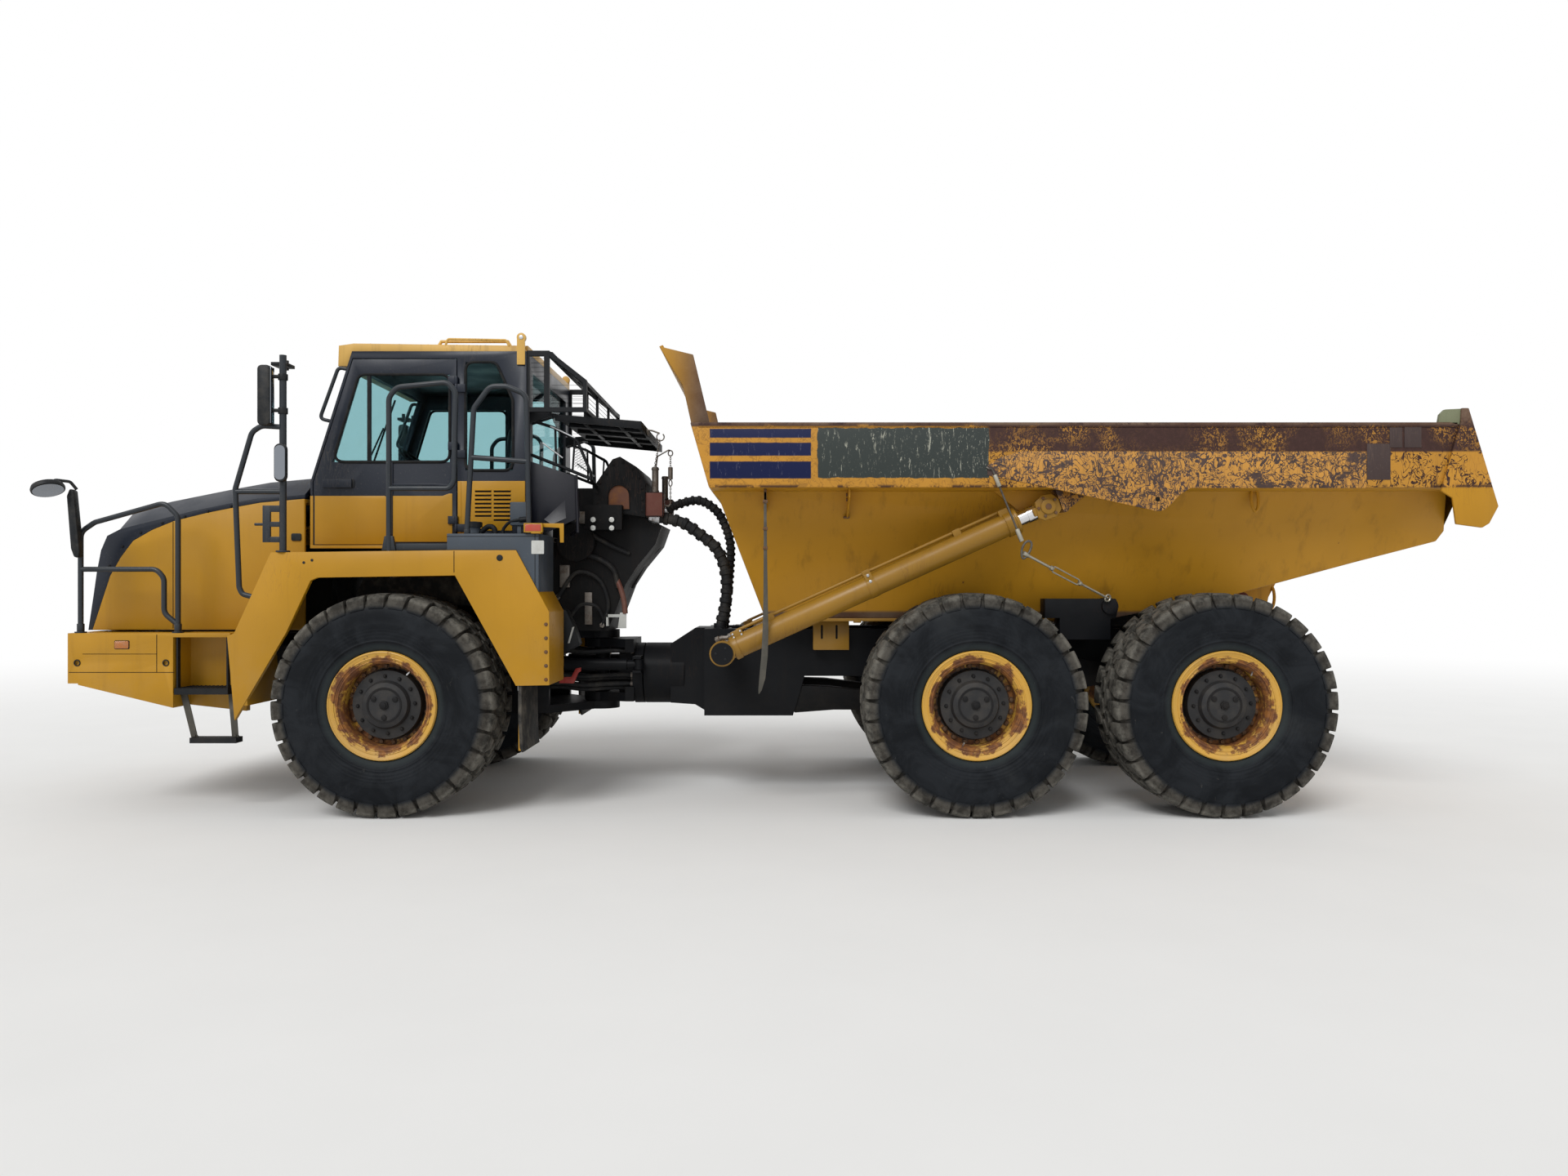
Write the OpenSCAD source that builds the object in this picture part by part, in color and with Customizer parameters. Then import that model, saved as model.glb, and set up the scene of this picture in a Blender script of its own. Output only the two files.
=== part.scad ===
// Articulated dump truck, facing -X, left side towards -Y, standing on z = 0.
// All lengths in mm.

/* [Wheels] */
// outside diameter over the lugs
tyre_d = 1600; // [1580:5:1620]
// width of the tyre over its sidewalls
tyre_w = 600; // [570:5:610]
// distance of each tyre's middle plane from the centre line
wheel_y = 1150; // [1145:1:1155]
// number of tread lugs a side
lug_n = 32; // [28:1:34]
// depth of the grooves between the lugs
lug_depth = 38; // [30:1:42]
// width of the grooves between the lugs
lug_gap = 28; // [24:1:32]

/* [Bed] */
// thickness of the tub's plates
bed_wall = 40; // [36:1:46]
// height of the bed's top edge
bed_top = 2807; // [2800:1:2815]
// outside half width of the upper band
band_y = 1420; // [1410:1:1425]
// place of the tail's lip behind the middle of the truck
tail_x = 5090; // [5080:1:5100]

/* [Cab] */
// thickness of the cab's walls
cab_wall = 50; // [46:1:56]
// thickness of the window panes
pane = 8; // [6:1:10]

/* [Body] */
// thickness of the hood's panels
hood_wall = 30; // [26:1:34]
// radius of the head lamps
head_lamp_r = 78; // [70:1:84]
// thickness of the fender's edge plates
fender_plate = 40; // [34:1:46]
// radius of the hand rails
rail_r = 19; // [17:0.5:21]
// radius of the masts that carry the mirrors
mast_r = 24; // [22:0.5:26]

/* [Cylinders] */
// outside radius of a hoist cylinder
hoist_r = 84; // [80:1:88]
// radius of a hoist rod
hoist_rod_r = 55; // [50:1:60]
// outside radius of a steering cylinder
steer_r = 48; // [44:1:50]

/* [Hidden] */
$fn = 48;
axle_z = tyre_d / 2;
tyre_gap = 170;             // room between the tyres of the rear axles
middle_x = 1530;
axle_x = [-2680, middle_x, middle_x + tyre_d + tyre_gap];
// arms of the guards, between the tyres of the rear axles
guard_x = [axle_x[1] + tyre_d - 910, axle_x[2] - tyre_d + 900];
rim_r = 318;
flange_r = 390;
seat_gap = 0.3;

frame_y = [380, 460];       // rail of the tractor, inner and outer face
neck_z = 930;               // axis on which the rear frame turns
pin_x = -1350;              // steering pin
hinge_p = [3900, 1430];     // bed hinge, x and z
hoist_y = 1220;
hoist_tube_r = 85;
hoist_pin_r = 45;
hoist_b = [-278, 1163];     // lower pin of the hoist cylinder
hoist_e = [2060, 2219];     // rod eye of the hoist cylinder
steer_z = 1020;
steer_y = 330;
steer_h = -1010;            // barrel pin on the hitch
steer_t = -2079;            // rod eye on the tractor

cab_y = 850;
hood_y = 880;
fender_y = [870, 1400];
rail_y = 1370;
front_rail_y = 1150;
deck_z = 1903;
tow_x = [-5160, 3990];      // pins of the tow jaws
tow_r = 22;

YELLOW = [0.73, 0.57, 0.19];
OCHRE = [0.63, 0.47, 0.16];
BLACK = [0.14, 0.16, 0.20];
DARK = [0.20, 0.22, 0.25];
GREY = [0.35, 0.38, 0.42];
STEEL = [0.75, 0.76, 0.78];
RUBBER = [0.16, 0.15, 0.14];
GLASS = [0.55, 0.70, 0.68, 0.5];
AMBER = [0.80, 0.45, 0.12];
RED = [0.66, 0.20, 0.12];

// Helpers

// plate with its outline in x and z, from y0 to y1
module slab(p, y0, y1)
    translate([0, y1, 0]) rotate([90, 0, 0]) linear_extrude(y1 - y0) polygon(p);

// plate with its outline in x and y, from z0 to z1
module deck(p, z0, z1) translate([0, 0, z0]) linear_extrude(z1 - z0) polygon(p);

// bar with its outline in y and z, from x0 to x1
module bar(p, x0, x1)
    translate([x0, 0, 0]) rotate([90, 0, 90]) linear_extrude(x1 - x0) polygon(p);

module box(x, y, z)
    translate([x[0], y[0], z[0]]) cube([x[1] - x[0], y[1] - y[0], z[1] - z[0]]);

module pin_y(x, z, r, y0, y1)
    translate([x, y1, z]) rotate([90, 0, 0]) cylinder(h = y1 - y0, r = r);

module pin_x(y, z, r, x0, x1)
    translate([x0, y, z]) rotate([0, 90, 0]) cylinder(h = x1 - x0, r = r);

module pin_z(x, y, r, z0, z1) translate([x, y, z0]) cylinder(h = z1 - z0, r = r);

module rod(a, b, r) {
    d = b - a;
    l = norm(d);
    translate(a) rotate([0, acos(d[2] / l), atan2(d[1], d[0])]) cylinder(h = l, r = r);
}

// round bar through a list of points, a ball at each bend
module pipe(p, r) {
    for (i = [0:len(p) - 2]) rod(p[i], p[i + 1], r);
    for (i = [1:len(p) - 2]) translate(p[i]) sphere(r = r * 1.02);
}

// round bar in a plane of constant y
module loop(p, y, r) pipe([for (q = p) [q[0], y, q[1]]], r);

module both() {
    children();
    mirror([0, 1, 0]) children();
}

// Wheels

// half of the tyre's section: radius, distance from the middle plane
function tyre_half(k) = [
    [rim_r + seat_gap, 0], [rim_r + seat_gap, 250 * k], [flange_r + 1, 250 * k],
    [flange_r + 18, 268 * k], [480, 292 * k], [570, 300 * k], [660, 298 * k],
    [730, 288 * k], [axle_z - 32, 282 * k], [axle_z - 8, 262 * k],
    [axle_z, 200 * k], [axle_z, 0],
];

module tyre(x, s) {
    k = tyre_w / 600;
    p = tyre_half(k);
    q = [for (i = [len(p) - 2:-1:1]) [p[i][0], -p[i][1]]];
    translate([x, s * wheel_y, axle_z]) difference() {
        rotate([90, 0, 0]) rotate_extrude() polygon(concat(p, q));
        // grooves of the two rows, half a pitch apart
        for (row = [-1, 1], i = [0:lug_n - 1]) groove(row, (i + row / 4) * 360 / lug_n, k);
    }
}

// one groove from the middle of the tread down into the sidewall
module groove(row, a, k) rotate([0, -a, 0]) rotate([row > 0 ? 0 : 180, 0, 0])
    deck([[axle_z - lug_depth, 48], [axle_z - lug_depth, 232 * k], [700, 276 * k],
        [686, 340], [axle_z + 20, 340], [axle_z + 20, 48]], -lug_gap / 2, lug_gap / 2);

module rim(x, s) {
    k = tyre_w / 600;
    w = 275 * k;
    // barrel, disc, hub and planet cover in one outline, its height pointing out of the truck
    translate([x, s * wheel_y, axle_z]) rotate([s * -90, 0, 0]) rotate_extrude() polygon([
        [296, -w], [flange_r - 8, -w], [flange_r, -w + 8], [flange_r, -250 * k - seat_gap],
        [rim_r, -250 * k - seat_gap], [rim_r, 250 * k + seat_gap], [flange_r, 250 * k + seat_gap],
        [flange_r, w - 8], [flange_r - 8, w], [372, w], [330, w - 14], [306, w - 40], [296, w - 70],
        [296, 94], [255, 96], [245, 170], [175, 178], [160, 212], [130, 222], [0, 222], [0, 190],
        [125, 190], [125, 60], [296, 60],
    ]);
}

// Tractor

module front_frame() color(DARK) {
    // rails, cut open at the back where the steering cylinders swing
    both() slab([[-4960, 980], [-4960, 1290], [-1700, 1290], [-1700, 1100],
        [-2215, 1100], [-2215, 930], [-2290, 930], [-2390, 1000], [-3150, 1000],
        [-3350, 930], [-4300, 930]],
        frame_y[0], frame_y[1]);
    // cross members
    box([-4960, -4900], [-380, 380], [1000, 1280]);
    box([-4450, -4330], [-380, 380], [950, 1050]);
    box([-3650, -3530], [-380, 380], [950, 1050]);
    box([-2290, -2230], [-380, 380], [945, 1050]);
    // cab posts
    both() for (x = [-3330, -1960])
        box([x - 55, x + 55], [frame_y[0], frame_y[1]], [1280, 1933]);
    both() for (x = [-3330, -1960])
        box([x - 55, x + 55], [460, 600], [1800, 1862]);
    // jaws around the steering pin
    for (z = [[1226, 1290], [640, 704]]) difference() {
        union() {
            deck([[-2075, -460], [-2075, 460], [-1700, 460], [-1400, 150],
                [-1400, -150], [-1700, -460]], z[0], z[1]);
            pin_z(pin_x, 0, 140, z[0], z[1]);
            box([-1420, pin_x], [-140, 140], z);
        }
        pin_z(pin_x, 0, 60 + seat_gap, z[0] - 1, z[1] + 1);
    }
    both() slab([[-2150, 640], [-2290, 860], [-2290, 960], [-1940, 960], [-1940, 925],
        [-1705, 925], [-1705, 640]], 400, frame_y[1]);
    // plates that hold the steering rod eyes
    for (z = [[950, 984], [1056, 1090]])
        both() deck([[-2300, 265], [-2300, 385], [-2150, 385], [-2060, 375], [-2035, 350],
            [-2035, 300], [-2060, 275]], z[0], z[1]);
    // brackets of the front suspension struts
    both() box([-2750, -2610], [460, 600], [1180, 1290]);
    // brackets of the front fenders
    both() box([-3700, -3620], [460, 880], [1200, 1280]);
    both() box([-1790, -1710], [460, 880], [1200, 1280]);
}

module front_axle() color(DARK) {
    axle(axle_x[0]);
    // suspension struts
    both() {
        pin_z(axle_x[0], 530, 62, axle_z + 60, axle_z + 250);
        pin_z(axle_x[0], 530, 44, axle_z + 240, 1180);
    }
}

// housing with its differential, hub spindles and brake drums
module axle(x) {
    pin_y(x, axle_z, 105, -700, 700);
    pin_y(x, axle_z, 225, -150, 150);
    pin_y(x, axle_z, 175, -230, 230);
    both() {
        pin_y(x, axle_z, 170, 690, 850);
        pin_y(x, axle_z, 215, 840, 1010);
        pin_y(x, axle_z, 125 - seat_gap, 1000, wheel_y + 190 - seat_gap);
    }
}

module bumper() color(BLACK) {
    difference() {
        union() {
            // bowed beam
            deck([[-5044, -1200], [-5105, -700], [-5130, 0], [-5105, 700], [-5044, 1200],
                [-4960, 1200], [-4960, -1200]], 940, 1306);
            // side boxes with the ladder bay behind them
            both() {
                slab([[-4970, 930], [-4970, 1306], [-4278, 1306], [-4278, 763]], 960, 1200);
                slab([[-4290, 763], [-4290, 1306], [-3862, 1306], [-3862, 714]], 900, 960);
                box([-4290, -3862], [900, 1200], [1276, 1306]);
                box([-4960, -4880], [460 + seat_gap, 970], [1000, 1280]);
            }
            // lugs of the hood hinge
            both() for (y = [430, 520]) hull_lug(-5105, 1340, y, y + 24);
            // front tow jaw
            for (z = [[985, 1020], [1100, 1135]]) box([-5200, -5090], [-70, 70], z);
        }
        pin_z(tow_x[0], 0, tow_r, 900, 1200);
        both() pin_x(950, 1150, head_lamp_r + seat_gap, -5140, -5040);
        both() for (q = [[-4975, 1090], [-4330, 1090]])
            pin_y(q[0], q[1], 25, 1185, 1210);
    }
    both() pin_y(-5105, 1340, 14 - seat_gap, 430, 544);
}

module hull_lug(x, z, y0, y1) {
    pin_y(x, z, 30, y0, y1);
    slab([[x - 24, z - 60], [x - 30, z], [x + 30, z], [x + 60, z - 60]], y0, y1);
}

module ladder() color(BLACK) both() {
    box([-4270, -3880], [960, 1200], [860, 905]);
    for (x = [-4262, -3898]) box([x, x + 12], [1150, 1185], [900, 1276]);
    // hanging step
    for (q = [[-4245, -4160], [-3890, -3862]]) rod([q[0], 1110, 870], [q[1], 1110, 520], 14);
    box([-4180, -3840], [1060, 1160], [500, 540]);
}

// height of the fender's deck
function deck_at(x) = x > -2174 ? deck_z : 1887 + (x + 3474) * (deck_z - 1887) / 1300;

function fender_pts() = [
    [-3731, 697], [-3783, 1293], [-3733, 1315], [-3474, 1887], [-2174, deck_z],
    [-1736, deck_z], [-1500, 1464], [-1500, 946], [-1736, 942], [-2168, 1724],
    [-3146, 1709], [-3193, 1687], [-3366, 1317],
];

module fender() {
    slab(fender_pts(), fender_y[1] - fender_plate, fender_y[1]);
    slab([[-3722, 800], [-3775, 1290], [-3728, 1312], [-3474, 1887], [-2174, deck_z],
        [-1736, deck_z], [-1500, 1464], [-1500, 946], [-1560, 946], [-1560, 1450],
        [-1775, deck_z - 50], [-2175, deck_z - 50], [-3440, 1837], [-3680, 1312], [-3640, 800]],
        fender_y[0] + 20, fender_y[1] - 5);
    // deck to the cab posts
    box([-3440, -1740], [460, 900], [deck_z - 40, deck_z]);
    // brackets to the frame
    box([-3700, -3640], [880, 1300], [1240, 1300]);
    box([-1640, -1550], [880, 1300], [1220, 1280]);
    box([-1790, -1555], [880, 895], [1200, 1290]);
    // mud flap
    box([-1720, -1700], [880, 1390], [480, 950]);
}

module fender_left() color(YELLOW) mirror([0, 1, 0]) fender();
module fender_right() color(YELLOW) fender();

// box on the deck that follows the fender's slope at the back
module deck_box() slab([[-2228, deck_z], [-2228, 2021], [-1576, 2021], [-1576, 1605.4],
    [-1736, deck_z]], 895, 1392);

module deck_tank() color(GREY) mirror([0, 1, 0]) {
    deck_box();
    pin_z(-2130, 1060, 48, 2015, 2090);
    pin_z(-2130, 1060, 60, 2085, 2120);
}

module battery_box() color(GREY) {
    deck_box();
    box([-2000, -1640], [920, 1250], [2015, 2040]);
}

// Cab

cab_out = [[-3431, 1933], [-3431, 2441], [-3115, 3433], [-1790, 3433], [-1790, 1933]];
function cab_in(w) = [
    [-3431 + w, 1933 + w], [-3431 + w, 2441 - 0.16 * w], [-3115 + 0.734 * w, 3433 - w],
    [-1790 - w, 3433 - w], [-1790 - w, 1933 + w],
];
door_out = [[-3406, 1962], [-3406, 2441], [-3107, 3372], [-2321, 3372], [-2321, 1962]];
door_hole = [[-3412, 1956], [-3412, 2442], [-3111, 3378], [-2315, 3378], [-2315, 1956]];
door_win = [[-3262, 2592], [-3062, 3255], [-2372, 3255], [-2372, 2592]];
side_win = [[-2253, 2528], [-2253, 3350], [-2022, 3350], [-1893, 3061], [-1893, 2528]];

module cab_shell() color(BLACK) difference() {
    union() {
        difference() {
            slab(cab_out, -cab_y, cab_y);
            slab(cab_in(cab_wall), -cab_y + cab_wall, cab_y - cab_wall);
            slab(door_hole, -cab_y - 5, -cab_y + cab_wall + 5);
            slab(door_win, cab_y - cab_wall - 5, cab_y + 5);
            both() slab(side_win, cab_y - cab_wall - 5, cab_y + 5);
            slab([[-3600, 2500], [-3600, 3320], [-3010, 3320], [-3270, 2500]], -730, 730);
            box([-1850, -1780], [-640, 640], [2540, 3300]);
        }
        // fixed halves of the door hinges
        for (z = [2120, 2680, 3180]) {
            pin_z(-2318, -868, 13, z - 60, z - seat_gap);
            box([-2318, -2250], [-874, -850], [z - 60, z - seat_gap]);
        }
    }
}

module cab_door() color(BLACK) {
    difference() {
        slab(door_out, -cab_y - 2, -cab_y + 38);
        slab(door_win, -cab_y - 10, -cab_y + 50);
        slab([[-3340, 2040], [-3340, 2380], [-2390, 2380], [-2390, 2040]], -cab_y + 8, -cab_y + 50);
    }
    box([-3000, -2970], [-cab_y - 2, -cab_y + 14], [2585, 3262]);
    for (z = [2120, 2680, 3180]) {
        pin_z(-2318, -868, 13, z, z + 60);
        box([-2380, -2318], [-874, -852], [z, z + 60]);
    }
    // handle
    box([-3330, -3110], [-cab_y - 26, -cab_y], [2395, 2460]);
}

module door_glass() color(GLASS)
    slab([[-3258, 2592], [-3060, 3253], [-2374, 3253], [-2374, 2594]],
        -cab_y + 14, -cab_y + 14 + pane);

module cab_glass() color(GLASS) {
    slab([for (p = door_win) p + [0, 0]], cab_y - 30, cab_y - 30 + pane);
    both() slab(side_win, cab_y - 30, cab_y - 30 + pane);
    slab([[-3395, 2500], [-3395 + 0.318 * 820, 3320], [-3395 + 0.318 * 820 + pane, 3320],
        [-3395 + pane, 2500]], -730, 730);
    box([-1825, -1825 + pane], [-640, 640], [2540, 3300]);
}

module cab_roof() color(YELLOW) {
    slab([[-3240, 3330], [-3235, 3486], [-3120, 3503], [-1790, 3485], [-1790, 3433],
        [-3115, 3433], [-3148, 3330]], -800, 800);
    // lamp bracket at the back and the grab rail
    both() {
        box([-1860, -1800], [790, 862], [3433, 3445]);
        box([-1860, -1800], [850, 862], [3330, 3540]);
        pin_y(-1828, 3536, 34, 830, 862);
        loop([[-2500, 3480], [-2470, 3530], [-1960, 3530], [-1930, 3480]], 740, 12);
    }
}

module seat(x, y, w) {
    box([x - 180, x + 180], [y - w + 70, y + w - 70], [1983, 2240]);
    box([x - 260, x + 240], [y - w, y + w], [2240, 2370]);
    slab([[x + 150, 2370], [x + 200, 2960], [x + 300, 2960], [x + 290, 2370]], y - w, y + w);
    slab([[x + 200, 2960], [x + 215, 3150], [x + 290, 3150], [x + 300, 2960]], y - 130, y + 130);
}

module cab_interior() color(DARK) {
    seat(-2300, 0, 250);
    seat(-2150, -520, 190);
    // dash and steering column
    slab([[-3380, 1983], [-3380, 2430], [-3300, 2480], [-3080, 2520], [-3050, 2440], [-3180, 2300],
        [-3180, 1983]], -780, 780);
    rod([-3080, 0, 2440], [-2900, 0, 2660], 40);
    translate([-2900, 0, 2660]) rotate([0, 39.3, 0]) {
        translate([0, 0, 12]) rotate_extrude() translate([186, 0]) circle(r = 15);
        for (a = [0, 120, 240]) rotate([0, 0, a]) translate([30, -12, 4]) cube([150, 24, 14]);
        translate([0, 0, -12]) cylinder(h = 42, r = 46);
    }
    box([-2600, -1990], [290, 480], [1983, 2560]);
}

// Hand rails and mirrors

RAILS = [
    // rails on the bumper
    [front_rail_y, [[-4981, 1306], [-4981, 2045], [-4879, 2115], [-4365, 2259], [-4269, 2161],
        [-4269, 1306]]],
    [front_rail_y, [[-4981, 1772], [-4425, 1772], [-4371, 1707], [-4371, 1450], [-4269, 1366]]],
    // rails in front of the fender
    [rail_y, [[-3627.2, 1549.1], [-3691, 1578], [-3712, 1640], [-3740, 2338], [-3621, 2745],
        [-3554, 2789], [-3400, 2780]]],
    [rail_y, [[-3738, 2321], [-3400, 2321]]],
    // loops beside the door and behind it
    [rail_y, [[-2647, deck_at(-2647) + seat_gap], [-2647, 2990], [-2590, 3064], [-2229, 3099], [-2171, 3030],
        [-2183, 2390], [-2217, 2344], [-2647, 2344]]],
    [rail_y, [[-2090, 2021], [-2090, 2060], [-2043, 2913], [-1927, 3070], [-1811, 3070], [-1668, 3012],
        [-1650, 2100], [-1650, 2021]]],
    [rail_y, [[-2062, 2565], [-1660, 2535]]],
];

module handrails() color(DARK) both() {
    for (r = RAILS) loop(r[1], r[0], rail_r);
    pin_z(-3400, rail_y, mast_r, deck_at(-3400) + seat_gap, 3291);
    // grab bar on the cab's corner post
    loop([[-3159, 3300], [-3230, 3316], [-3372, 2925], [-3285, 2905]], 820, 14);
    box([-3542, -3400], [rail_y - 10, rail_y + 10], [1960, 2222]);
}

module mirrors() color(BLACK) both() {
    // round one at the front corner
    pin_y(-5097, 2352, 108, 1350, 1410);
    pipe([[-5060, 1352, 2400], [-4995, 1290, 2392], [-4975, 1235, 2350]], 11);
    box([-5025, -4915], [1195, 1255], [1850, 2355]);
    for (z = [1930, 2010]) pin_y(-4981, z, 12, front_rail_y + rail_r, 1197);
    // on the mast
    box([-3554, -3455], [1375, 1440], [2815, 3215]);
    for (z = [2880, 3120]) box([-3470, -3400], [rail_y + mast_r, 1406], [z, z + 30]);
    box([-3440, -3345], [rail_y + mast_r, 1440], [2385, 2658]);
    box([-3500, -3390], [1200, rail_y - mast_r], [3225, 3250]);
}

module window_guard() color(BLACK) {
    both() {
        slab([[-1790, 3400], [-1790, 3440], [-1620, 3440], [-1335, 3216], [-1335, 2975],
            [-1365, 2975], [-1365, 3200], [-1632, 3410], [-1640, 3400]], 810, 840);
        slab([[-1790, 2975], [-1790, 3010], [-1335, 3010], [-1335, 2975]], 810, 840);
        box([-1660, -1620], [810, 840], [2975, 3435]);
        box([-1790, -1770], [810, 840], [2975, 3440]);
        // hinge lugs of the cover behind the cab
        for (y = [650, 738]) difference() {
            slab([[-1790, 2900], [-1790, 2985], [-1645, 2993], [-1620, 2985], [-1620, 2955],
                [-1645, 2948]], y, y + 16);
            pin_y(-1640, 2971, 12 + seat_gap, y - 1, y + 17);
        }
    }
    box([-1365, -1335], [-815, 815], [2975, 3005]);
    box([-1365, -1335], [-815, 815], [3180, 3210]);
    box([-1640, -1600], [-815, 815], [3405, 3435]);
    for (y = [-280, 280]) {
        box([-1360, -1340], [y - 12, y + 12], [2980, 3205]);
        slab([[-1620, 3410], [-1620, 3438], [-1340, 3216], [-1340, 3190]], y - 12, y + 12);
    }
}

// Machinery

module engine() color(DARK) {
    box([-4560, -3480], [-330, 330], [1050, 1980]);
    box([-4800, -4710], [-600, 600], [1330, 2010]);
    for (y = [-460, 380]) box([-4800, -4710], [y, y + 80], [1290, 1335]);
    box([-4715, -4555], [-200, 200], [1400, 1800]);
}

module driveline() color(DARK) {
    slab([[-1700, 1290], [-1700, 2440], [-1350, 2440], [-1350, 2262], [-953, 2200],
        [-820, 2140], [-875, 1986], [-1024, 1804], [-1115, 1661], [-1226, 1368], [-1262, 1290]],
        -330, 330);
    pin_y(-1500, 2000, 150, -420, 420);
    box([-3200, -2250], [-260, 260], [1060, 1560]);
    for (x = [-3100, -2350]) box([x - 40, x + 40], [-380, 380], [1120, 1200]);
}

module muffler() color(BLACK) {
    difference() {
        slab([[-1350, 2262], [-1350, 2440], [-1200, 2660], [-1140, 2681], [-1010, 2600],
            [-940, 2480], [-940, 2200], [-953, 2200]], -450, 450);
        both() {
            pin_y(-1150, 2370, 85, 440, 460);
            box([-1235, -1065], [440, 460], [2260, 2370]);
        }
    }
    // canister at the back of the housing
    both() box([-945, -800], [290, 430], [2206, 2400]);
    both() pin_z(-870, 360, 26, 2395, 2605);
    // box of the work lamps
    box([-1408, -1115], [-520, -450], [2096, 2291]);
    box([-1349, -1115], [-450, -400], [2270, 2290]);
}

// lamps of the tractor: in the bumper, on the deck boxes and behind the cab
module lamps() color(AMBER) {
    both() difference() {
        pin_x(950, 1150, head_lamp_r, -5095, -5040);
        pin_x(950, 1150, head_lamp_r - 14, -5100, -5088);
    }
    both() box([-4699, -4598], [1200, 1208], [1195, 1249]);
    both() {
        box([-1625, -1556], [1345, 1420], [2021, 2029]);
        box([-1674, -1546], [rail_y + rail_r + seat_gap, 1420], [2029, 2093]);
    }
    for (x = [-1340, -1194], z = [2109, 2174]) pin_y(x, z, 24, -538, -520);
}

// lamps on plates at the end of the frame
module tail_lamps() color(RED) both() {
    box([3860, 3872], [190, 370 - seat_gap], [1190, 1290]);
    for (y = [235, 315]) pin_x(y, 1240, 30, 3872, 3888);
}

// vent panels behind the doors, with two columns of slots
VENTS = [[-2117, 62, 7, 2181], [-1972, 64, 8, 2150]];    // x, half length, slots, height of the first
module cab_panels() color(YELLOW) both() difference() {
    slab([[-2216, 2070], [-2216, 2447], [-1800, 2447], [-1800, 2286], [-1898, 2286], [-1898, 2070]],
        cab_y, cab_y + 8);
    for (v = VENTS, i = [0:v[2] - 1])
        box([v[0] - v[1], v[0] + v[1]], [cab_y + 3, cab_y + 12], [v[3] + 31 * i - 7, v[3] + 31 * i + 7]);
}

// guards between the rear wheels, on arms from the frame
module frame_guards() color(DARK) both() {
    box(guard_x, [450, 1000], [1250, 1310]);
    box(guard_x, [850, 1000], [1300, 1420]);
    slab([[guard_x[0] - 110, 1410], [guard_x[0] - 110, 1555], [guard_x[1] + 40, 1555],
        [guard_x[1] + 60, 1500], [guard_x[1] + 40, 1410]], 850, 1000);
    pin_y(guard_x[1] - 10, 1500, 60, 840, 1030);
}

// Hood

hood_side = [[-5069, 1317], [-4935, 1728], [-4853, 1871], [-4761, 1993], [-4618, 2075],
    [-4454, 2142], [-4209, 2203], [-4003, 2244], [-3801, 2281], [-3461, 2311], [-3461, 1317]];
// ribs of the crown, x and z of: the side panel's edge, the crease, the top's edge
CROWN = [
    [[-5069, 1317], [-5101, 1317], [-5118, 1317]],
    [[-4990, 1560], [-5066, 1550], [-5100, 1560]],
    [[-4935, 1728], [-5036, 1760], [-5072, 1800]],
    [[-4853, 1871], [-5005, 1920], [-5040, 1960]],
    [[-4761, 1993], [-4958, 2030], [-4990, 2100]],
    [[-4689.5, 2034], [-4860, 2080], [-4903, 2210]],
    [[-4618, 2075], [-4700, 2122], [-4750, 2272]],
    [[-4454, 2142], [-4520, 2164], [-4586, 2310]],
    [[-4209, 2203], [-4300, 2220], [-4350, 2358]],
    [[-4003, 2244], [-4050, 2272], [-4104, 2407]],
    [[-3801, 2281], [-3820, 2313], [-3830, 2456]],
    [[-3461, 2311], [-3461, 2342], [-3461, 2490]],
];
crown_y = [875, 640];       // half widths at the crease and at the top's edge

function shifted(p, d) = [for (q = p) q + d];

module hood() color(YELLOW) difference() {
    slab(hood_side, -hood_y, hood_y);
    slab(concat(shifted([for (i = [0:9]) hood_side[i]], [1.3 * hood_wall, -hood_wall]),
        [[-3400, 2250], [-3400, 1200], [-5000, 1200]]), -hood_y + hood_wall, hood_y - hood_wall);
    // room for the crown and the grille
    slab([[-5200, 1200], [-5200, 2500], [-3400, 2500], [-3400, 1200]], -700, 700);
}

// points of one rib's loop, left to right, drawn in by w
function crown_rib(r, w) =
    let (a = CROWN[r], y = crown_y[0] - w, d = r < 4 ? [w, 0] : [r < 11 ? 0.4 * w : 0, -w],
        c = a[1] + d, t = a[2] + d)
    [[a[0][0], -y, a[0][1]], [c[0], -y, c[1]], [t[0], -crown_y[1], t[1]],
        [t[0], crown_y[1], t[1]], [c[0], y, c[1]], [a[0][0], y, a[0][1]]];

// bent shell: an outer and an inner loop of 6 points at each rib
module hood_crown() {
    n = len(CROWN);
    loops = [for (r = [0:n - 1]) concat(crown_rib(r, 0), [for (i = [5:-1:0]) crown_rib(r, hood_wall)[i]])];
    m = len(loops[0]);
    end = [for (i = [0:4]) each [[i, m - 1 - i, i + 1], [i + 1, m - 1 - i, m - 2 - i]]];
    polyhedron([for (l = loops) each l], concat(
        [for (r = [0:n - 2], i = [0:m - 1]) let (a = r * m + i, b = r * m + (i + 1) % m)
            each [[a, b, a + m], [b, b + m, a + m]]],
        end, [for (t = end) [for (i = [2:-1:0]) t[i] + (n - 1) * m]]), convexity = 6);
}

module hood_top() color(BLACK) difference() {
    hood_crown();
    slab([[-5200, 1200], [-5200, 1840], [-4900, 1840], [-4900, 1200]], -661, 661);
}

module grille() color(BLACK) difference() {
    grille_body();
    both() for (y = [[424, 457], [517, 550]]) pin_y(-5105, 1340, 40, y[0], y[1]);
    both() pin_y(-5105, 1340, 14, 400, 560);
}

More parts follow.
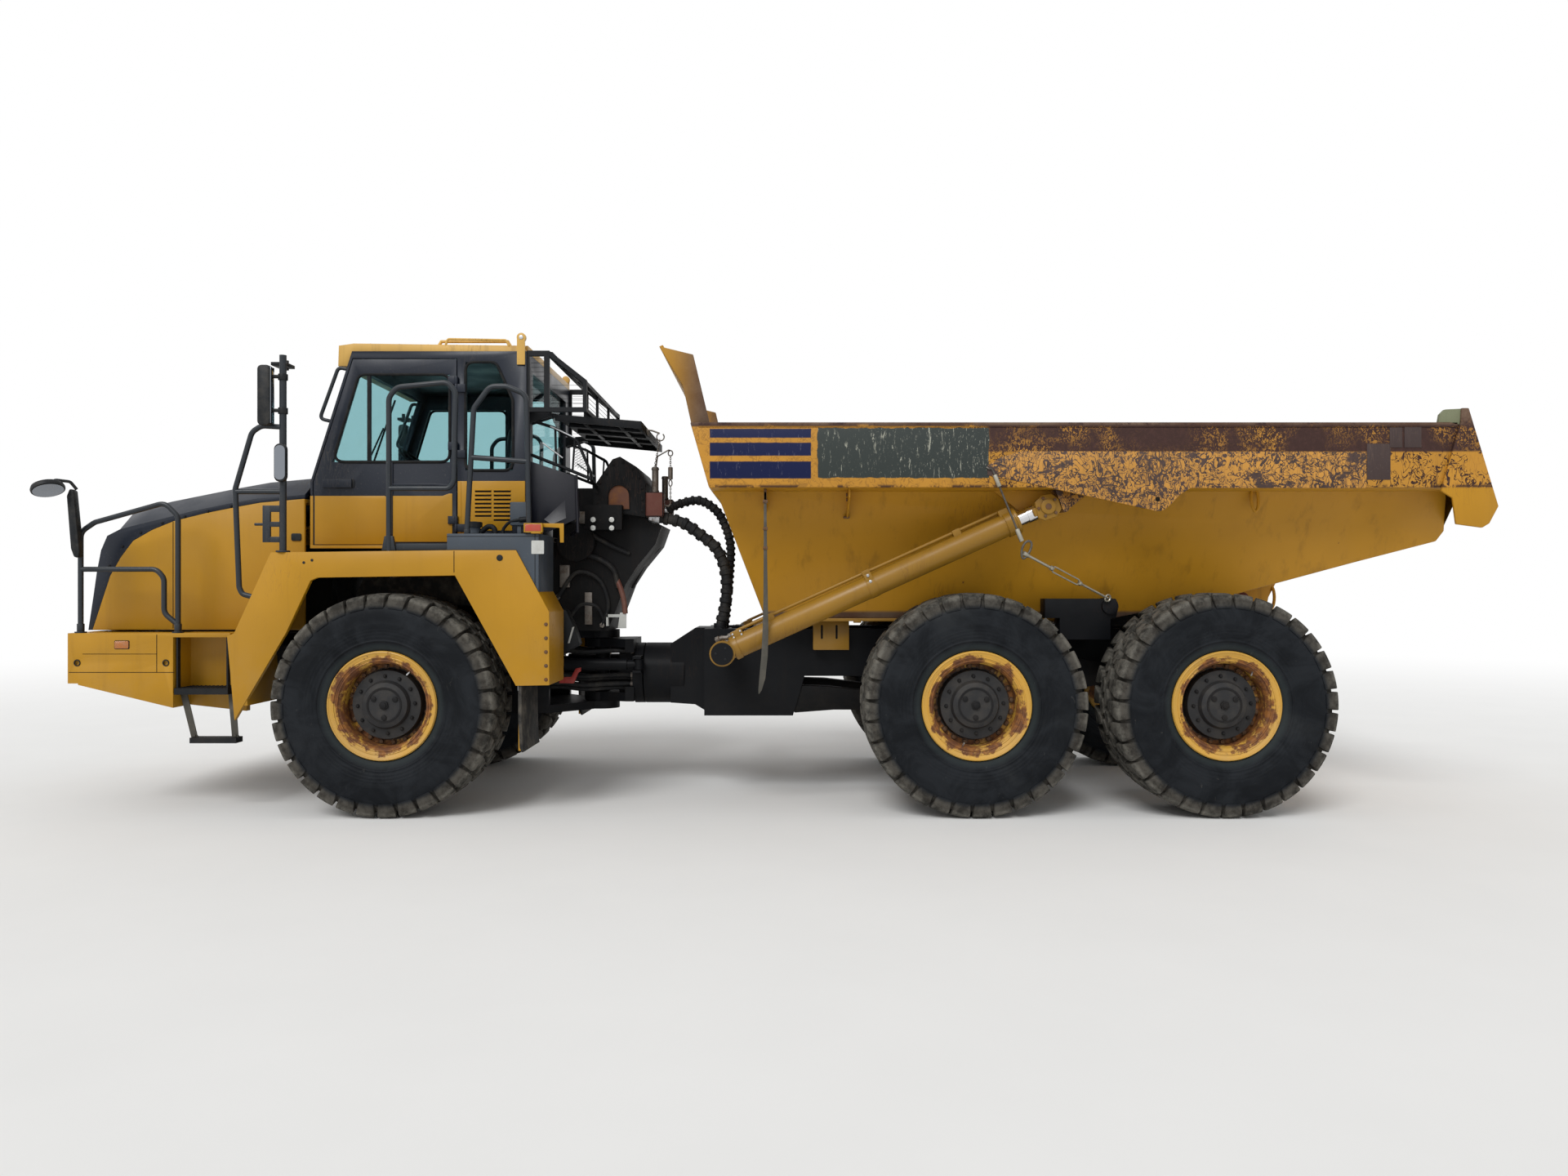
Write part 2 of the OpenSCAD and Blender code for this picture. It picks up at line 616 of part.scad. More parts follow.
module grille_body() {
    difference() {
        slab([[-5101, 1352], [-5085, 1563], [-5057, 1809], [-5051, 1840], [-5005, 1840],
            [-5037, 1563], [-5053, 1352]], -660, 660);
        slab([[-5200, 1420], [-5200, 1760], [-4900, 1760], [-4900, 1420]], -560, 560);
    }
    for (z = [1440:64:1740]) box([-5088 + 0.11 * (z - 1400), -5051 + 0.11 * (z - 1400)],
        [-565, 565], [z, z + 26]);
    for (y = [-190, 190]) slab([[-5094, 1410], [-5058, 1770], [-5018, 1770], [-5052, 1410]],
        y - 14, y + 14);
    // hinge arms
    both() {
        slab([[-5125, 1332], [-5119, 1362], [-5095, 1380], [-5060, 1380], [-5085, 1328]],
            458, 516);
    }
}

module rear_cover() color(BLACK) {
    slab([[-1608, 2960], [-1608, 2976], [-935, 2921], [-935, 2905]], -720, 720);
    both() slab([[-1600, 2925], [-1600, 2972], [-935, 2918], [-935, 2860], [-1010, 2870]], 700, 720);
    slab([[-955, 2862], [-955, 2915], [-935, 2915], [-935, 2860]], -720, 720);
    both() {
        slab([[-1640, 2958], [-1640, 2984], [-1590, 2976], [-1590, 2948]], 671, 733);
        pin_y(-1640, 2971, 20, 671, 733);
        pin_y(-1640, 2971, 12, 651, 753);
    }
}

// Hitch and rear frame

module hitch() color(BLACK) {
    pin_z(pin_x, 0, 60, 640, 1288);
    for (z = [[1150, 1220], [710, 780]]) {
        pin_z(pin_x, 0, 150, z[0], z[1]);
        deck([[pin_x, -150], [pin_x, 150], [-1120, 240], [-1120, -240]], z[0], z[1]);
    }
    box([-1195, -1060], [-120, 120], [710, 1220]);
    for (z = [[710, 830], [1110, 1220]]) box([-1130, -1060], [-240, 240], z);
    pin_x(0, neck_z, 250, -1070, -990);
    pin_x(0, neck_z, 170, -1000, -700);
    // ears of the steering cylinders
    both() for (z = [[steer_z - 66, steer_z - 46], [steer_z + 46, steer_z + 66]])
        deck([[-1050, 180], [-1050, 378], [-985, 378], [-985, 180]], z[0], z[1]);
    both() pin_z(steer_h, steer_y, 20, steer_z - 66, steer_z + 66);
}

module rear_frame() color(DARK) difference() {
    union() {
        // neck
        pin_x(0, neck_z, 250, -980, -650);
        slab([[-760, 1180], [-560, 1310], [-450, 1310], [-450, 620], [-560, 686], [-760, 700]], -230, 230);
        both() {
            slab([[-460, 620], [-460, 1310], [3830, 1310], [3950, 1200], [3950, 1080],
                [3830, 935], [328, 935], [236, 620]], 370, 450);
            // lugs of the bed hinge
            slab([[3760, 1300], [3810, 1430], [3990, 1430], [3960, 1190], [3840, 1190]], 380, 440);
            pin_y(3900, 1430, 92, 380, 440);
            // rest pads under the bed
            box([520, 640], [375, 445], [1300, 1400]);
            box([2340, 2460], [375, 445], [1300, 1400]);
            // stub of the suspension beam
            pin_y(2415, 980, 70, 440, 675);
        }
        // cross members
        box([-470, -380], [-450, 450], [620, 1310]);
        box([150, 230], [-375, 375], [640, 1290]);
        box([2360, 2470], [-375, 375], [960, 1290]);
        box([3780, 3860], [-375, 375], [960, 1300]);
        // rear tow jaw
        for (z = [[1000, 1035], [1120, 1155]]) box([3850, 4030], [-70, 70], z);
    }
    pin_x(0, neck_z, 170 + seat_gap, -1000, -695);
    pin_y(hoist_b[0], hoist_b[1], hoist_tube_r + seat_gap, -500, 500);
    pin_z(tow_x[1], 0, tow_r, 900, 1250);
    pin_y(hinge_p[0], hinge_p[1], 45 + seat_gap, 370, 450);
    mirror([0, 1, 0]) pin_y(hinge_p[0], hinge_p[1], 45 + seat_gap, 370, 450);
    for (x = [axle_x[1], axle_x[2]]) pin_y(x, axle_z, 150, -600, 600);
}

// cross tube that carries the hoist cylinders
module hoist_tube() color(DARK) {
    pin_y(hoist_b[0], hoist_b[1], hoist_tube_r, -1110, 1110);
    both() pin_y(hoist_b[0], hoist_b[1], hoist_pin_r, 1100, 1330);
    both() pin_y(hoist_b[0], hoist_b[1], 80, 1318, 1332);
}

module middle_axle() color(DARK) axle(axle_x[1]);
module rear_axle() color(DARK) axle(axle_x[2]);

module bogie() color(DARK) both() difference() {
    union() {
    slab([[axle_x[1] - 60, axle_z + 90], [axle_x[1] - 60, axle_z + 150], [2240, 1060], [2415, 1090],
        [2590, 1060], [axle_x[2] + 60, axle_z + 150], [axle_x[2] + 60, axle_z + 90],
        [2590, 880], [2415, 850], [2240, 880]], 560, 660);
    for (x = [axle_x[1], axle_x[2]]) box([x - 90, x + 90], [540, 680], [axle_z + 60, axle_z + 125]);
    }
    for (x = [axle_x[1], axle_x[2]]) pin_y(x, axle_z, 105 + seat_gap, 500, 700);
    pin_y(2415, 980, 70 + seat_gap, 500, 700);
}

// Bed

floor_y = 700;              // half width of the bed's floor
waist = [1120, 2345];       // half width and height at the foot of the upper band
bed_z = 1400;               // underside of the bed's floor
bed_side = [[-499, bed_top], [-366, waist[1]], [-309, 2283], [20, bed_z], [2700, bed_z], [3600, 1580],
    [tail_x - 610, 1830], [tail_x - 40, 1985], [tail_x, 2060], [tail_x - 150, bed_top]];
bed_section = [
    [-floor_y, bed_z], [-waist[0], waist[1]], [-band_y, waist[1]], [-band_y, bed_top],
    [band_y, bed_top], [band_y, waist[1]], [waist[0], waist[1]], [floor_y, bed_z],
];

module bed_tub() color(OCHRE) {
    difference() {
        intersection() {
            slab(bed_side, -band_y, band_y);
            bar(bed_section, -600, tail_x + 210);
        }
        intersection() {
            slab([[-499 + 1.1 * bed_wall, bed_top + 200], [-499 + 1.1 * bed_wall, bed_top],
                [-366 + bed_wall, waist[1]], [-309 + bed_wall, 2290], [20 + 0.9 * bed_wall, bed_z + bed_wall],
                [2700, bed_z + bed_wall], [3600, 1580 + bed_wall], [tail_x - 610, 1830 + bed_wall],
                [tail_x + 210, 2050 + bed_wall], [tail_x + 210, bed_top + 200]], -band_y, band_y);
            bar([[bed_wall - floor_y, bed_z - 10], [bed_wall - waist[0], waist[1]],
                [bed_wall - band_y, waist[1] + 95], [bed_wall - band_y, bed_top + 300],
                [band_y - bed_wall, bed_top + 300], [band_y - bed_wall, waist[1] + 95],
                [waist[0] - bed_wall, waist[1]], [floor_y - bed_wall, bed_z - 10]], -600, tail_x + 310);
        }
    }
    // hinge lugs and the pin
    both() {
        slab([[3700, 1600], [4150, 1740], [3990, 1430], [3810, 1430]], 300, 372);
        pin_y(hinge_p[0], hinge_p[1], 90, 300, 372);
    }
    pin_y(hinge_p[0], hinge_p[1], 45, -450, 450);
}

module bed_ribs() color(OCHRE) both() {
    // bracket of the hoist rod's eye, inboard of it
    slab([[1700, 2345], [1960, 2140], [2160, 2140], [2420, 2345]], 1122, 1150);
    // skirt below the band
    slab([[2036, 2345], [2752, 2189], [2856, 2189], [3016, 2345]], band_y - 22, band_y);
    // guides beside the frame
    slab([[397, 1400], [397, 1365], [470, 1157], [600, 1157], [673, 1365], [673, 1400]], 500, 560);
}

module spill_guard() color(OCHRE) {
    slab([for (p = [[-499, 0], [-562, 283], [-732, 563], [-706, 575], [-532, 289], [-460, 0]])
        [p[0], bed_top + p[1]]], -1300, 1300);
    both() slab([for (p = [[-499, 0], [-562, 283], [-732, 563], [-487, 503], [-366, 0]])
        [p[0], bed_top + p[1]]], 1280, 1310);
}

module tail_plates() color(OCHRE) both()
    slab(concat([for (p = [[-150, 0], [-145, 98], [-95, 98]]) [tail_x + p[0], bed_top + p[1]]],
        [for (p = [[115, 2212], [50, 2090], [0, 2060], [-185, 2085], [-210, 2270], [-290, 2320]])
            [tail_x + p[0], p[1]]]), band_y, band_y + 22);

// Cylinders

hoist_v = hoist_e - hoist_b;
hoist_len = norm(hoist_v);
hoist_a = atan2(hoist_v[1], hoist_v[0]);

// children drawn along +X from the lower pin
module on_hoist()
    translate([hoist_b[0], hoist_y, hoist_b[1]]) rotate([0, -hoist_a, 0]) children();

module hoist_barrel() on_hoist() difference() {
    union() {
        pin_x(0, 0, hoist_r, 80, hoist_len - 240);
        pin_y(0, 0, 92, -95, 95);
        pin_x(0, 0, 70, 0, 90);
        pin_x(0, 0, hoist_r + 9, hoist_len - 320, hoist_len - 240);
    }
    pin_x(0, 0, hoist_rod_r + seat_gap, 160, hoist_len);
    pin_y(0, 0, hoist_pin_r + seat_gap, -100, 100);
}

module hoist_rod() on_hoist() {
    pin_x(0, 0, hoist_rod_r, 165, hoist_len - 60);
    pin_y(hoist_len, 0, 78, -64, 64);
    pin_x(0, 0, 62, hoist_len - 150, hoist_len);
}

module hoist_barrel_left() color(BLACK) mirror([0, 1, 0]) hoist_barrel();
module hoist_barrel_right() color(BLACK) hoist_barrel();
module hoist_rod_left() color(STEEL) mirror([0, 1, 0]) hoist_rod();
module hoist_rod_right() color(STEEL) hoist_rod();

module steer_barrel() translate([steer_h, steer_y, steer_z]) difference() {
    union() {
        pin_x(0, 0, steer_r, -690, -90);
        pin_z(0, 0, 40, -41, 41);
        pin_x(0, 0, 34, -100, 0);
    }
    pin_x(0, 0, 28 + seat_gap, -750, -130);
    pin_z(0, 0, 20 + seat_gap, -50, 50);
}

module steer_rod() translate([steer_t, steer_y, steer_z]) {
    pin_x(0, 0, 28, 30, 675);
    pin_z(0, 0, 46, -26, 26);
}

module steer_barrel_left() color(BLACK) mirror([0, 1, 0]) steer_barrel();
module steer_barrel_right() color(BLACK) steer_barrel();
module steer_rod_left() color(STEEL) mirror([0, 1, 0]) steer_rod();
module steer_rod_right() color(STEEL) steer_rod();

module tyre_front_left() color(RUBBER) tyre(axle_x[0], -1);
module tyre_front_right() color(RUBBER) tyre(axle_x[0], 1);
module tyre_middle_left() color(RUBBER) tyre(axle_x[1], -1);
module tyre_middle_right() color(RUBBER) tyre(axle_x[1], 1);
module tyre_rear_left() color(RUBBER) tyre(axle_x[2], -1);
module tyre_rear_right() color(RUBBER) tyre(axle_x[2], 1);
module rim_front_left() color(YELLOW) rim(axle_x[0], -1);
module rim_front_right() color(YELLOW) rim(axle_x[0], 1);
module rim_middle_left() color(YELLOW) rim(axle_x[1], -1);
module rim_middle_right() color(YELLOW) rim(axle_x[1], 1);
module rim_rear_left() color(YELLOW) rim(axle_x[2], -1);
module rim_rear_right() color(YELLOW) rim(axle_x[2], 1);

front_frame();
front_axle();
bumper();
ladder();
fender_left();
fender_right();
deck_tank();
battery_box();
cab_shell();
cab_roof();
cab_glass();
cab_interior();
handrails();
mirrors();
window_guard();
engine();
driveline();
muffler();
hood();
hood_top();
grille();
cab_door();
door_glass();
rear_cover();
tyre_front_left();
tyre_front_right();
tyre_middle_left();
tyre_middle_right();
tyre_rear_left();
tyre_rear_right();
rim_front_left();
rim_front_right();
rim_middle_left();
rim_middle_right();
rim_rear_left();
rim_rear_right();
hitch();
rear_frame();
hoist_tube();
middle_axle();
rear_axle();
bogie();
bed_tub();
bed_ribs();
spill_guard();
tail_plates();
lamps();
tail_lamps();
cab_panels();
frame_guards();
hoist_barrel_left();
hoist_barrel_right();
hoist_rod_left();
hoist_rod_right();
steer_barrel_left();
steer_barrel_right();
steer_rod_left();
steer_rod_right();
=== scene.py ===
"""Looks of an articulated dump truck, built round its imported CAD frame.

The truck faces -X, its left side is towards -Y and it stands on z = 0. All lengths are in metres.
"""

import logging
import math
from dataclasses import dataclass, field
from enum import Enum
from typing import Any, Callable, Iterable, Optional, Sequence

import bmesh
import bpy
from mathutils import Matrix, Vector


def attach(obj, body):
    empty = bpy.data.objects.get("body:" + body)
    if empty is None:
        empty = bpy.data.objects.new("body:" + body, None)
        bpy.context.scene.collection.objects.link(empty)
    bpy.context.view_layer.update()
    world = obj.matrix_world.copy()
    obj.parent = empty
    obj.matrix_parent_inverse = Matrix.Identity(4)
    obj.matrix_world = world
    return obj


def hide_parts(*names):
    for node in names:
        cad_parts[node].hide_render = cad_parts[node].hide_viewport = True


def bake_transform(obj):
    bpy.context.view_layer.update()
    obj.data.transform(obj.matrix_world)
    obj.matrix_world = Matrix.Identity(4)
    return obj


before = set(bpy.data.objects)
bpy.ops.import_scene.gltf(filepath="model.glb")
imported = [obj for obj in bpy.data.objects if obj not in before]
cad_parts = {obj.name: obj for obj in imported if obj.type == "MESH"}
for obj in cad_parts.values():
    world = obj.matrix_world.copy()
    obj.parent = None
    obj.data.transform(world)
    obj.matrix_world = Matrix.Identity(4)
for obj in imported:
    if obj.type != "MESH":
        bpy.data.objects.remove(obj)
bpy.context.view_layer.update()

log = logging.getLogger("dump_truck")
logging.basicConfig(level=logging.INFO, format="%(name)s: %(message)s")

RGB = tuple[float, float, float]
Point = tuple[float, float, float]
Flat = tuple[float, float]

HUB_Z = 0.8
OUT: Point = (0, -1, 0)
UP: Point = (0, 0, 1)
ALONG_X: Point = (1, 0, 0)


class Side(Enum):
    """Side of the truck, with the sign of its Y."""

    LEFT = -1
    RIGHT = 1

    @property
    def tag(self) -> str:
        """Word for this side in piece names."""
        return self.name.lower()


class Axle(Enum):
    """Axle of the truck, with its place along X and the body that carries it."""

    FRONT = (-2.68, "tractor")
    MIDDLE = (1.53, "rear_frame")
    REAR = (3.30, "rear_frame")

    @property
    def x(self) -> float:
        """Place of the axle along X."""
        return self.value[0]

    @property
    def tag(self) -> str:
        """Word for this axle in piece names."""
        return self.name.lower()


def srgb(red: float, green: float, blue: float) -> RGB:
    """Linear colour of a screen colour.

    Args:
        red, green, blue: screen values from 0 to 255.

    Returns:
        The linear colour.
    """
    def lin(v: float) -> float:
        """Linear value of one channel."""
        v = v / 255
        return v / 12.92 if v <= 0.04045 else ((v + 0.055) / 1.055) ** 2.4
    return (lin(red), lin(green), lin(blue))


# Shader graphs

MADE: dict[str, bpy.types.Material] = {}


class Graph:
    """Builder of a shader tree in which numbers and sockets mix freely."""

    def __init__(self, name: str) -> None:
        """Starts a material with a Principled shader.

        Args:
            name: name of the material.
        """
        self.material = bpy.data.materials.new(name)
        MADE[name] = self.material
        self.material.use_nodes = True
        self.tree = self.material.node_tree
        self.tree.nodes.clear()
        self.shader = self.tree.nodes.new("ShaderNodeBsdfPrincipled")
        self.output = self.tree.nodes.new("ShaderNodeOutputMaterial")
        self.tree.links.new(self.shader.outputs[0], self.output.inputs[0])
        self.place = self.tree.nodes.new("ShaderNodeTexCoord").outputs["Object"]

    def put(self, socket: Any, value: Any) -> None:
        """Sets a socket to a value, or links it to another socket.

        Args:
            socket: input socket.
            value: number, colour, vector or output socket.
        """
        if isinstance(value, bpy.types.NodeSocket):
            self.tree.links.new(value, socket)
        elif isinstance(value, tuple) and len(value) == 3 and socket.type == "RGBA":
            socket.default_value = (*value, 1.0)
        else:
            socket.default_value = value

    def math(self, operation: str, a: Any, b: Any = 0.0, clamp: bool = False) -> Any:
        """Math node on two values.

        Args:
            operation: Blender's name of the operation.
            a, b: numbers or sockets.
            clamp: whether the result is held between 0 and 1.

        Returns:
            The output socket.
        """
        node = self.tree.nodes.new("ShaderNodeMath")
        node.operation = operation
        node.use_clamp = clamp
        self.put(node.inputs[0], a)
        self.put(node.inputs[1], b)
        return node.outputs[0]

    def times(self, a: Any, b: Any) -> Any:
        """Product of two numbers or sockets."""
        return self.math("MULTIPLY", a, b)

    def most(self, a: Any, b: Any) -> Any:
        """Larger of two numbers or sockets."""
        return self.math("MAXIMUM", a, b)

    def plus(self, a: Any, b: Any) -> Any:
        """Sum of two numbers or sockets."""
        return self.math("ADD", a, b)

    def less(self, a: Any, b: Any) -> Any:
        """First number or socket less the second."""
        return self.math("SUBTRACT", a, b)

    def off_axle(self, axle: Axle) -> Any:
        """Distance from the line of an axle.

        Args:
            axle: the axle.

        Returns:
            The socket of the distance.
        """
        x, _, z = self.axes()
        dx = self.less(x, axle.x)
        dz = self.less(z, HUB_Z)
        return self.math("SQRT", self.plus(self.times(dx, dx), self.times(dz, dz)))

    def axes(self, vector: Any = None) -> tuple[Any, Any, Any]:
        """X, Y and Z of a vector, by default of the place on the truck."""
        node = self.tree.nodes.new("ShaderNodeSeparateXYZ")
        self.put(node.inputs[0], vector or self.place)
        return tuple(node.outputs)

    def moved(self, offset: Point, scale: Point = (1, 1, 1), turn: Point = (0, 0, 0)) -> Any:
        """Place on the truck after a Mapping node.

        Args:
            offset: shift.
            scale: stretch along each axis.
            turn: rotation in radians.

        Returns:
            The vector socket.
        """
        node = self.tree.nodes.new("ShaderNodeMapping")
        self.put(node.inputs["Vector"], self.place)
        node.inputs["Location"].default_value = offset
        node.inputs["Scale"].default_value = scale
        node.inputs["Rotation"].default_value = turn
        return node.outputs[0]

    def noise(self, scale: float, detail: float = 3.0, rough: float = 0.55,
              vector: Any = None, warp: float = 0.0) -> Any:
        """Noise from 0 to 1.

        Args:
            scale: cells in a metre.
            detail: octaves.
            rough: strength of the finer octaves.
            vector: place to read, by default the place on the truck.
            warp: distortion.

        Returns:
            The factor socket.
        """
        node = self.tree.nodes.new("ShaderNodeTexNoise")
        self.put(node.inputs["Vector"], vector or self.place)
        node.inputs["Scale"].default_value = scale
        node.inputs["Detail"].default_value = detail
        node.inputs["Roughness"].default_value = rough
        node.inputs["Distortion"].default_value = warp
        return node.outputs["Fac"]

    def step(self, value: Any, low: float, high: float) -> Any:
        """Smooth step from 0 at low to 1 at high; low may be the larger.

        Args:
            value: number or socket.
            low, high: where it starts and ends.

        Returns:
            The socket of the result.
        """
        node = self.tree.nodes.new("ShaderNodeMapRange")
        node.interpolation_type = "SMOOTHSTEP"
        self.put(node.inputs["Value"], value)
        flip = low > high
        node.inputs["From Min"].default_value = high if flip else low
        node.inputs["From Max"].default_value = low if flip else high
        node.inputs["To Min"].default_value = 1.0 if flip else 0.0
        node.inputs["To Max"].default_value = 0.0 if flip else 1.0
        return node.outputs["Result"]

    def mix(self, factor: Any, a: Any, b: Any, blend: str = "MIX") -> Any:
        """Mix of two colours.

        Args:
            factor: share of b.
            a, b: colours or sockets.
            blend: Blender's name of the blend mode.

        Returns:
            The colour socket.
        """
        node = self.tree.nodes.new("ShaderNodeMix")
        node.data_type = "RGBA"
        node.blend_type = blend
        self.put(node.inputs[0], factor)
        self.put(node.inputs[6], a)
        self.put(node.inputs[7], b)
        return node.outputs[2]

    def blend(self, factor: Any, a: Any, b: Any) -> Any:
        """Mix of two numbers."""
        node = self.tree.nodes.new("ShaderNodeMix")
        self.put(node.inputs[0], factor)
        self.put(node.inputs[2], a)
        self.put(node.inputs[3], b)
        return node.outputs[0]

    def scratches(self, scale: float, share: float) -> Any:
        """Thin crooked lines, from 0 to 1.

        Args:
            scale: cells in a metre.
            share: how wide and how many the lines are, from 0 to 1.

        Returns:
            The factor socket.
        """
        total: Any = 0.0
        for turn, stretch in ((0.5, 9.0), (-0.7, 7.0), (1.35, 8.0)):
            spread = self.moved((turn, 0, 0), (stretch, 1.0, 1.0), (0, turn, 0))
            band = self.noise(scale, 2.0, 0.6, spread, 0.4)
            near = self.math("ABSOLUTE", self.less(band, 0.5))
            total = self.most(total, self.step(near, 0.006 + 0.02 * share, 0.002))
        return self.times(total, self.step(self.noise(scale * 0.5), 0.62 - 0.3 * share, 0.75))

    def worms(self, scale: float, share: float, turn: Point = (0, 0, 0)) -> Any:
        """Short curling scratches, from the thin ridges of a noise.

        Args:
            scale: fineness of the noise.
            share: how much of the surface they cover, 0 to 1.
            turn: angles that the pattern is turned by.

        Returns:
            The mask.
        """
        pattern = self.noise(scale, 2, 0.5, self.moved((0, 0, 0), (1, 1, 0.8), turn), 1.4)
        ridge = self.step(self.math("ABSOLUTE", self.less(pattern, 0.5)), 0.028, 0.014)
        gate = self.step(self.noise(0.6 * scale, 3), 0.66 - 0.3 * share, 0.70 - 0.3 * share)
        return self.times(ridge, gate)

    def box(self, low: Point, high: Point, soft: float = 0.004, ragged: float = 0.0) -> Any:
        """Mask that is 1 inside a box on the truck.

        Args:
            low, high: corners of the box.
            soft: width of its edge.
            ragged: how far the edge wanders.

        Returns:
            The factor socket.
        """
        wander = self.times(self.less(self.noise(14, 4), 0.5), ragged)
        total: Any = 1.0
        for axis, a, b in zip(self.axes(), low, high):
            if b - a > 50:
                continue
            value = self.plus(axis, wander) if ragged else axis
            total = self.times(total, self.step(value, a - soft, a + soft))
            total = self.times(total, self.step(value, b + soft, b - soft))
        return total

    def finish(self, colour: Any, rough: Any, height: Any = None, lift: float = 0.3,
               reach: float = 0.004, **fixed: Any) -> bpy.types.Material:
        """Wires the shader.

        Args:
            colour: base colour.
            rough: roughness.
            height: bump height, or None.
            lift: strength of the bump.
            reach: depth of the bump in metres.
            fixed: shader sockets that are the same all over, with spaces as underscores.

        Returns:
            The material.
        """
        self.put(self.shader.inputs["Base Color"], colour)
        self.put(self.shader.inputs["Roughness"], rough)
        for name, value in fixed.items():
            self.put(self.shader.inputs[name.replace("_", " ")], value)
        if height is not None:
            bump = self.tree.nodes.new("ShaderNodeBump")
            bump.inputs["Strength"].default_value = lift
            bump.inputs["Distance"].default_value = reach
            self.put(bump.inputs["Height"], height)
            self.put(self.shader.inputs["Normal"], bump.outputs[0])
        return self.material


# Finishes

FAR = 99.0


class Finish:
    """Base of the finishes, which makes each material once."""

    name: str

    @property
    def label(self) -> str:
        """Name of the material."""
        return self.name

    def wire(self) -> bpy.types.Material:
        """A new material with this finish, which each kind makes in its own way."""
        raise NotImplementedError

    def build(self) -> bpy.types.Material:
        """The finish as a material, made once."""
        return MADE[self.label] if self.label in MADE else self.wire()


@dataclass(frozen=True)
class Paint(Finish):
    """Worn paint with dust, runs of dirt, chips and scratches."""

    name: str
    colour: RGB
    under: RGB = srgb(92, 58, 38)
    dust: RGB = srgb(150, 140, 124)
    rough: float = 0.36
    fade: float = 0.10
    chips: float = 0.25
    dust_top: float = 1.6
    dust_share: float = 0.35
    runs: float = 0.25
    scratched: float = 0.25
    shine: float = 0.35
    coat: float = 0.08

    def wear(self, graph: Graph, colour: Any) -> tuple[Any, Any, Any]:
        """Lays the wear over a colour.

        Args:
            graph: tree to build in.
            colour: colour of the sound paint.

        Returns:
            Colour, roughness and bump height.
        """
        _, _, z = graph.axes()
        cloud = graph.noise(0.9, 4)
        tint = graph.mix(graph.step(cloud, 0.3, 0.75), (1 - self.fade,) * 3, (1 + self.fade,) * 3)
        colour = graph.mix(1.0, colour, tint, "MULTIPLY")
        runs = graph.noise(3.2, 4, 0.65, graph.moved((0, 0, 0), (3.4, 3.4, 0.22)))
        colour = graph.mix(graph.times(graph.step(runs, 0.52, 0.8), self.runs), colour,
                           tuple(0.42 * v for v in self.under))
        chip = graph.step(graph.noise(9, 8, 0.72), 0.725 - 0.12 * self.chips, 0.745 - 0.12 * self.chips)
        lines = graph.scratches(2.6, self.scratched)
        bare = graph.most(chip, graph.times(lines, min(1.0, 2.2 * self.scratched)))
        colour = graph.mix(bare, colour, self.under)
        low = graph.step(z, self.dust_top, 0.15)
        patch = graph.step(graph.noise(4.5, 6, 0.68), 0.34, 0.72)
        film = graph.times(graph.times(low, patch), self.dust_share)
        speck = graph.times(graph.step(graph.noise(60, 3, 0.8), 0.6, 0.72), 0.35 * self.dust_share)
        film = graph.most(film, speck)
        colour = graph.mix(film, colour, self.dust)
        grime = graph.step(graph.noise(2.2, 5), 0.35, 0.7)
        rough = graph.blend(grime, self.rough, min(1.0, self.rough + 0.22))
        rough = graph.blend(graph.most(bare, film), rough, 0.85)
        height = graph.less(graph.times(graph.noise(120, 2), 0.12), bare)
        return colour, rough, height

    def ground(self, graph: Graph) -> Any:
        """Colour of the sound paint."""
        return self.colour

    def wire(self) -> bpy.types.Material:
        """A new material with this finish."""
        graph = Graph(self.label)
        colour, rough, height = self.wear(graph, self.ground(graph))
        return graph.finish(colour, rough, height, 0.25, 0.002, Coat_Weight=self.coat, Coat_Roughness=0.2,
                            Specular_IOR_Level=self.shine)


@dataclass(frozen=True)
class SplitPaint(Paint):
    """Paint that changes colour inside given boxes; the cab's paint is one, with no boxes given."""

    second: RGB = (0.0, 0.0, 0.0)
    boxes: tuple[tuple[Point, Point], ...] = ()

    def ground(self, graph: Graph) -> Any:
        """Colour of the sound paint, with the second colour in the boxes.

        Args:
            graph: tree to build in.

        Returns:
            The colour socket.
        """
        colour: Any = self.colour
        for low, high in self.boxes:
            colour = graph.mix(graph.box(low, high, 0.002), colour, self.second)
        return colour


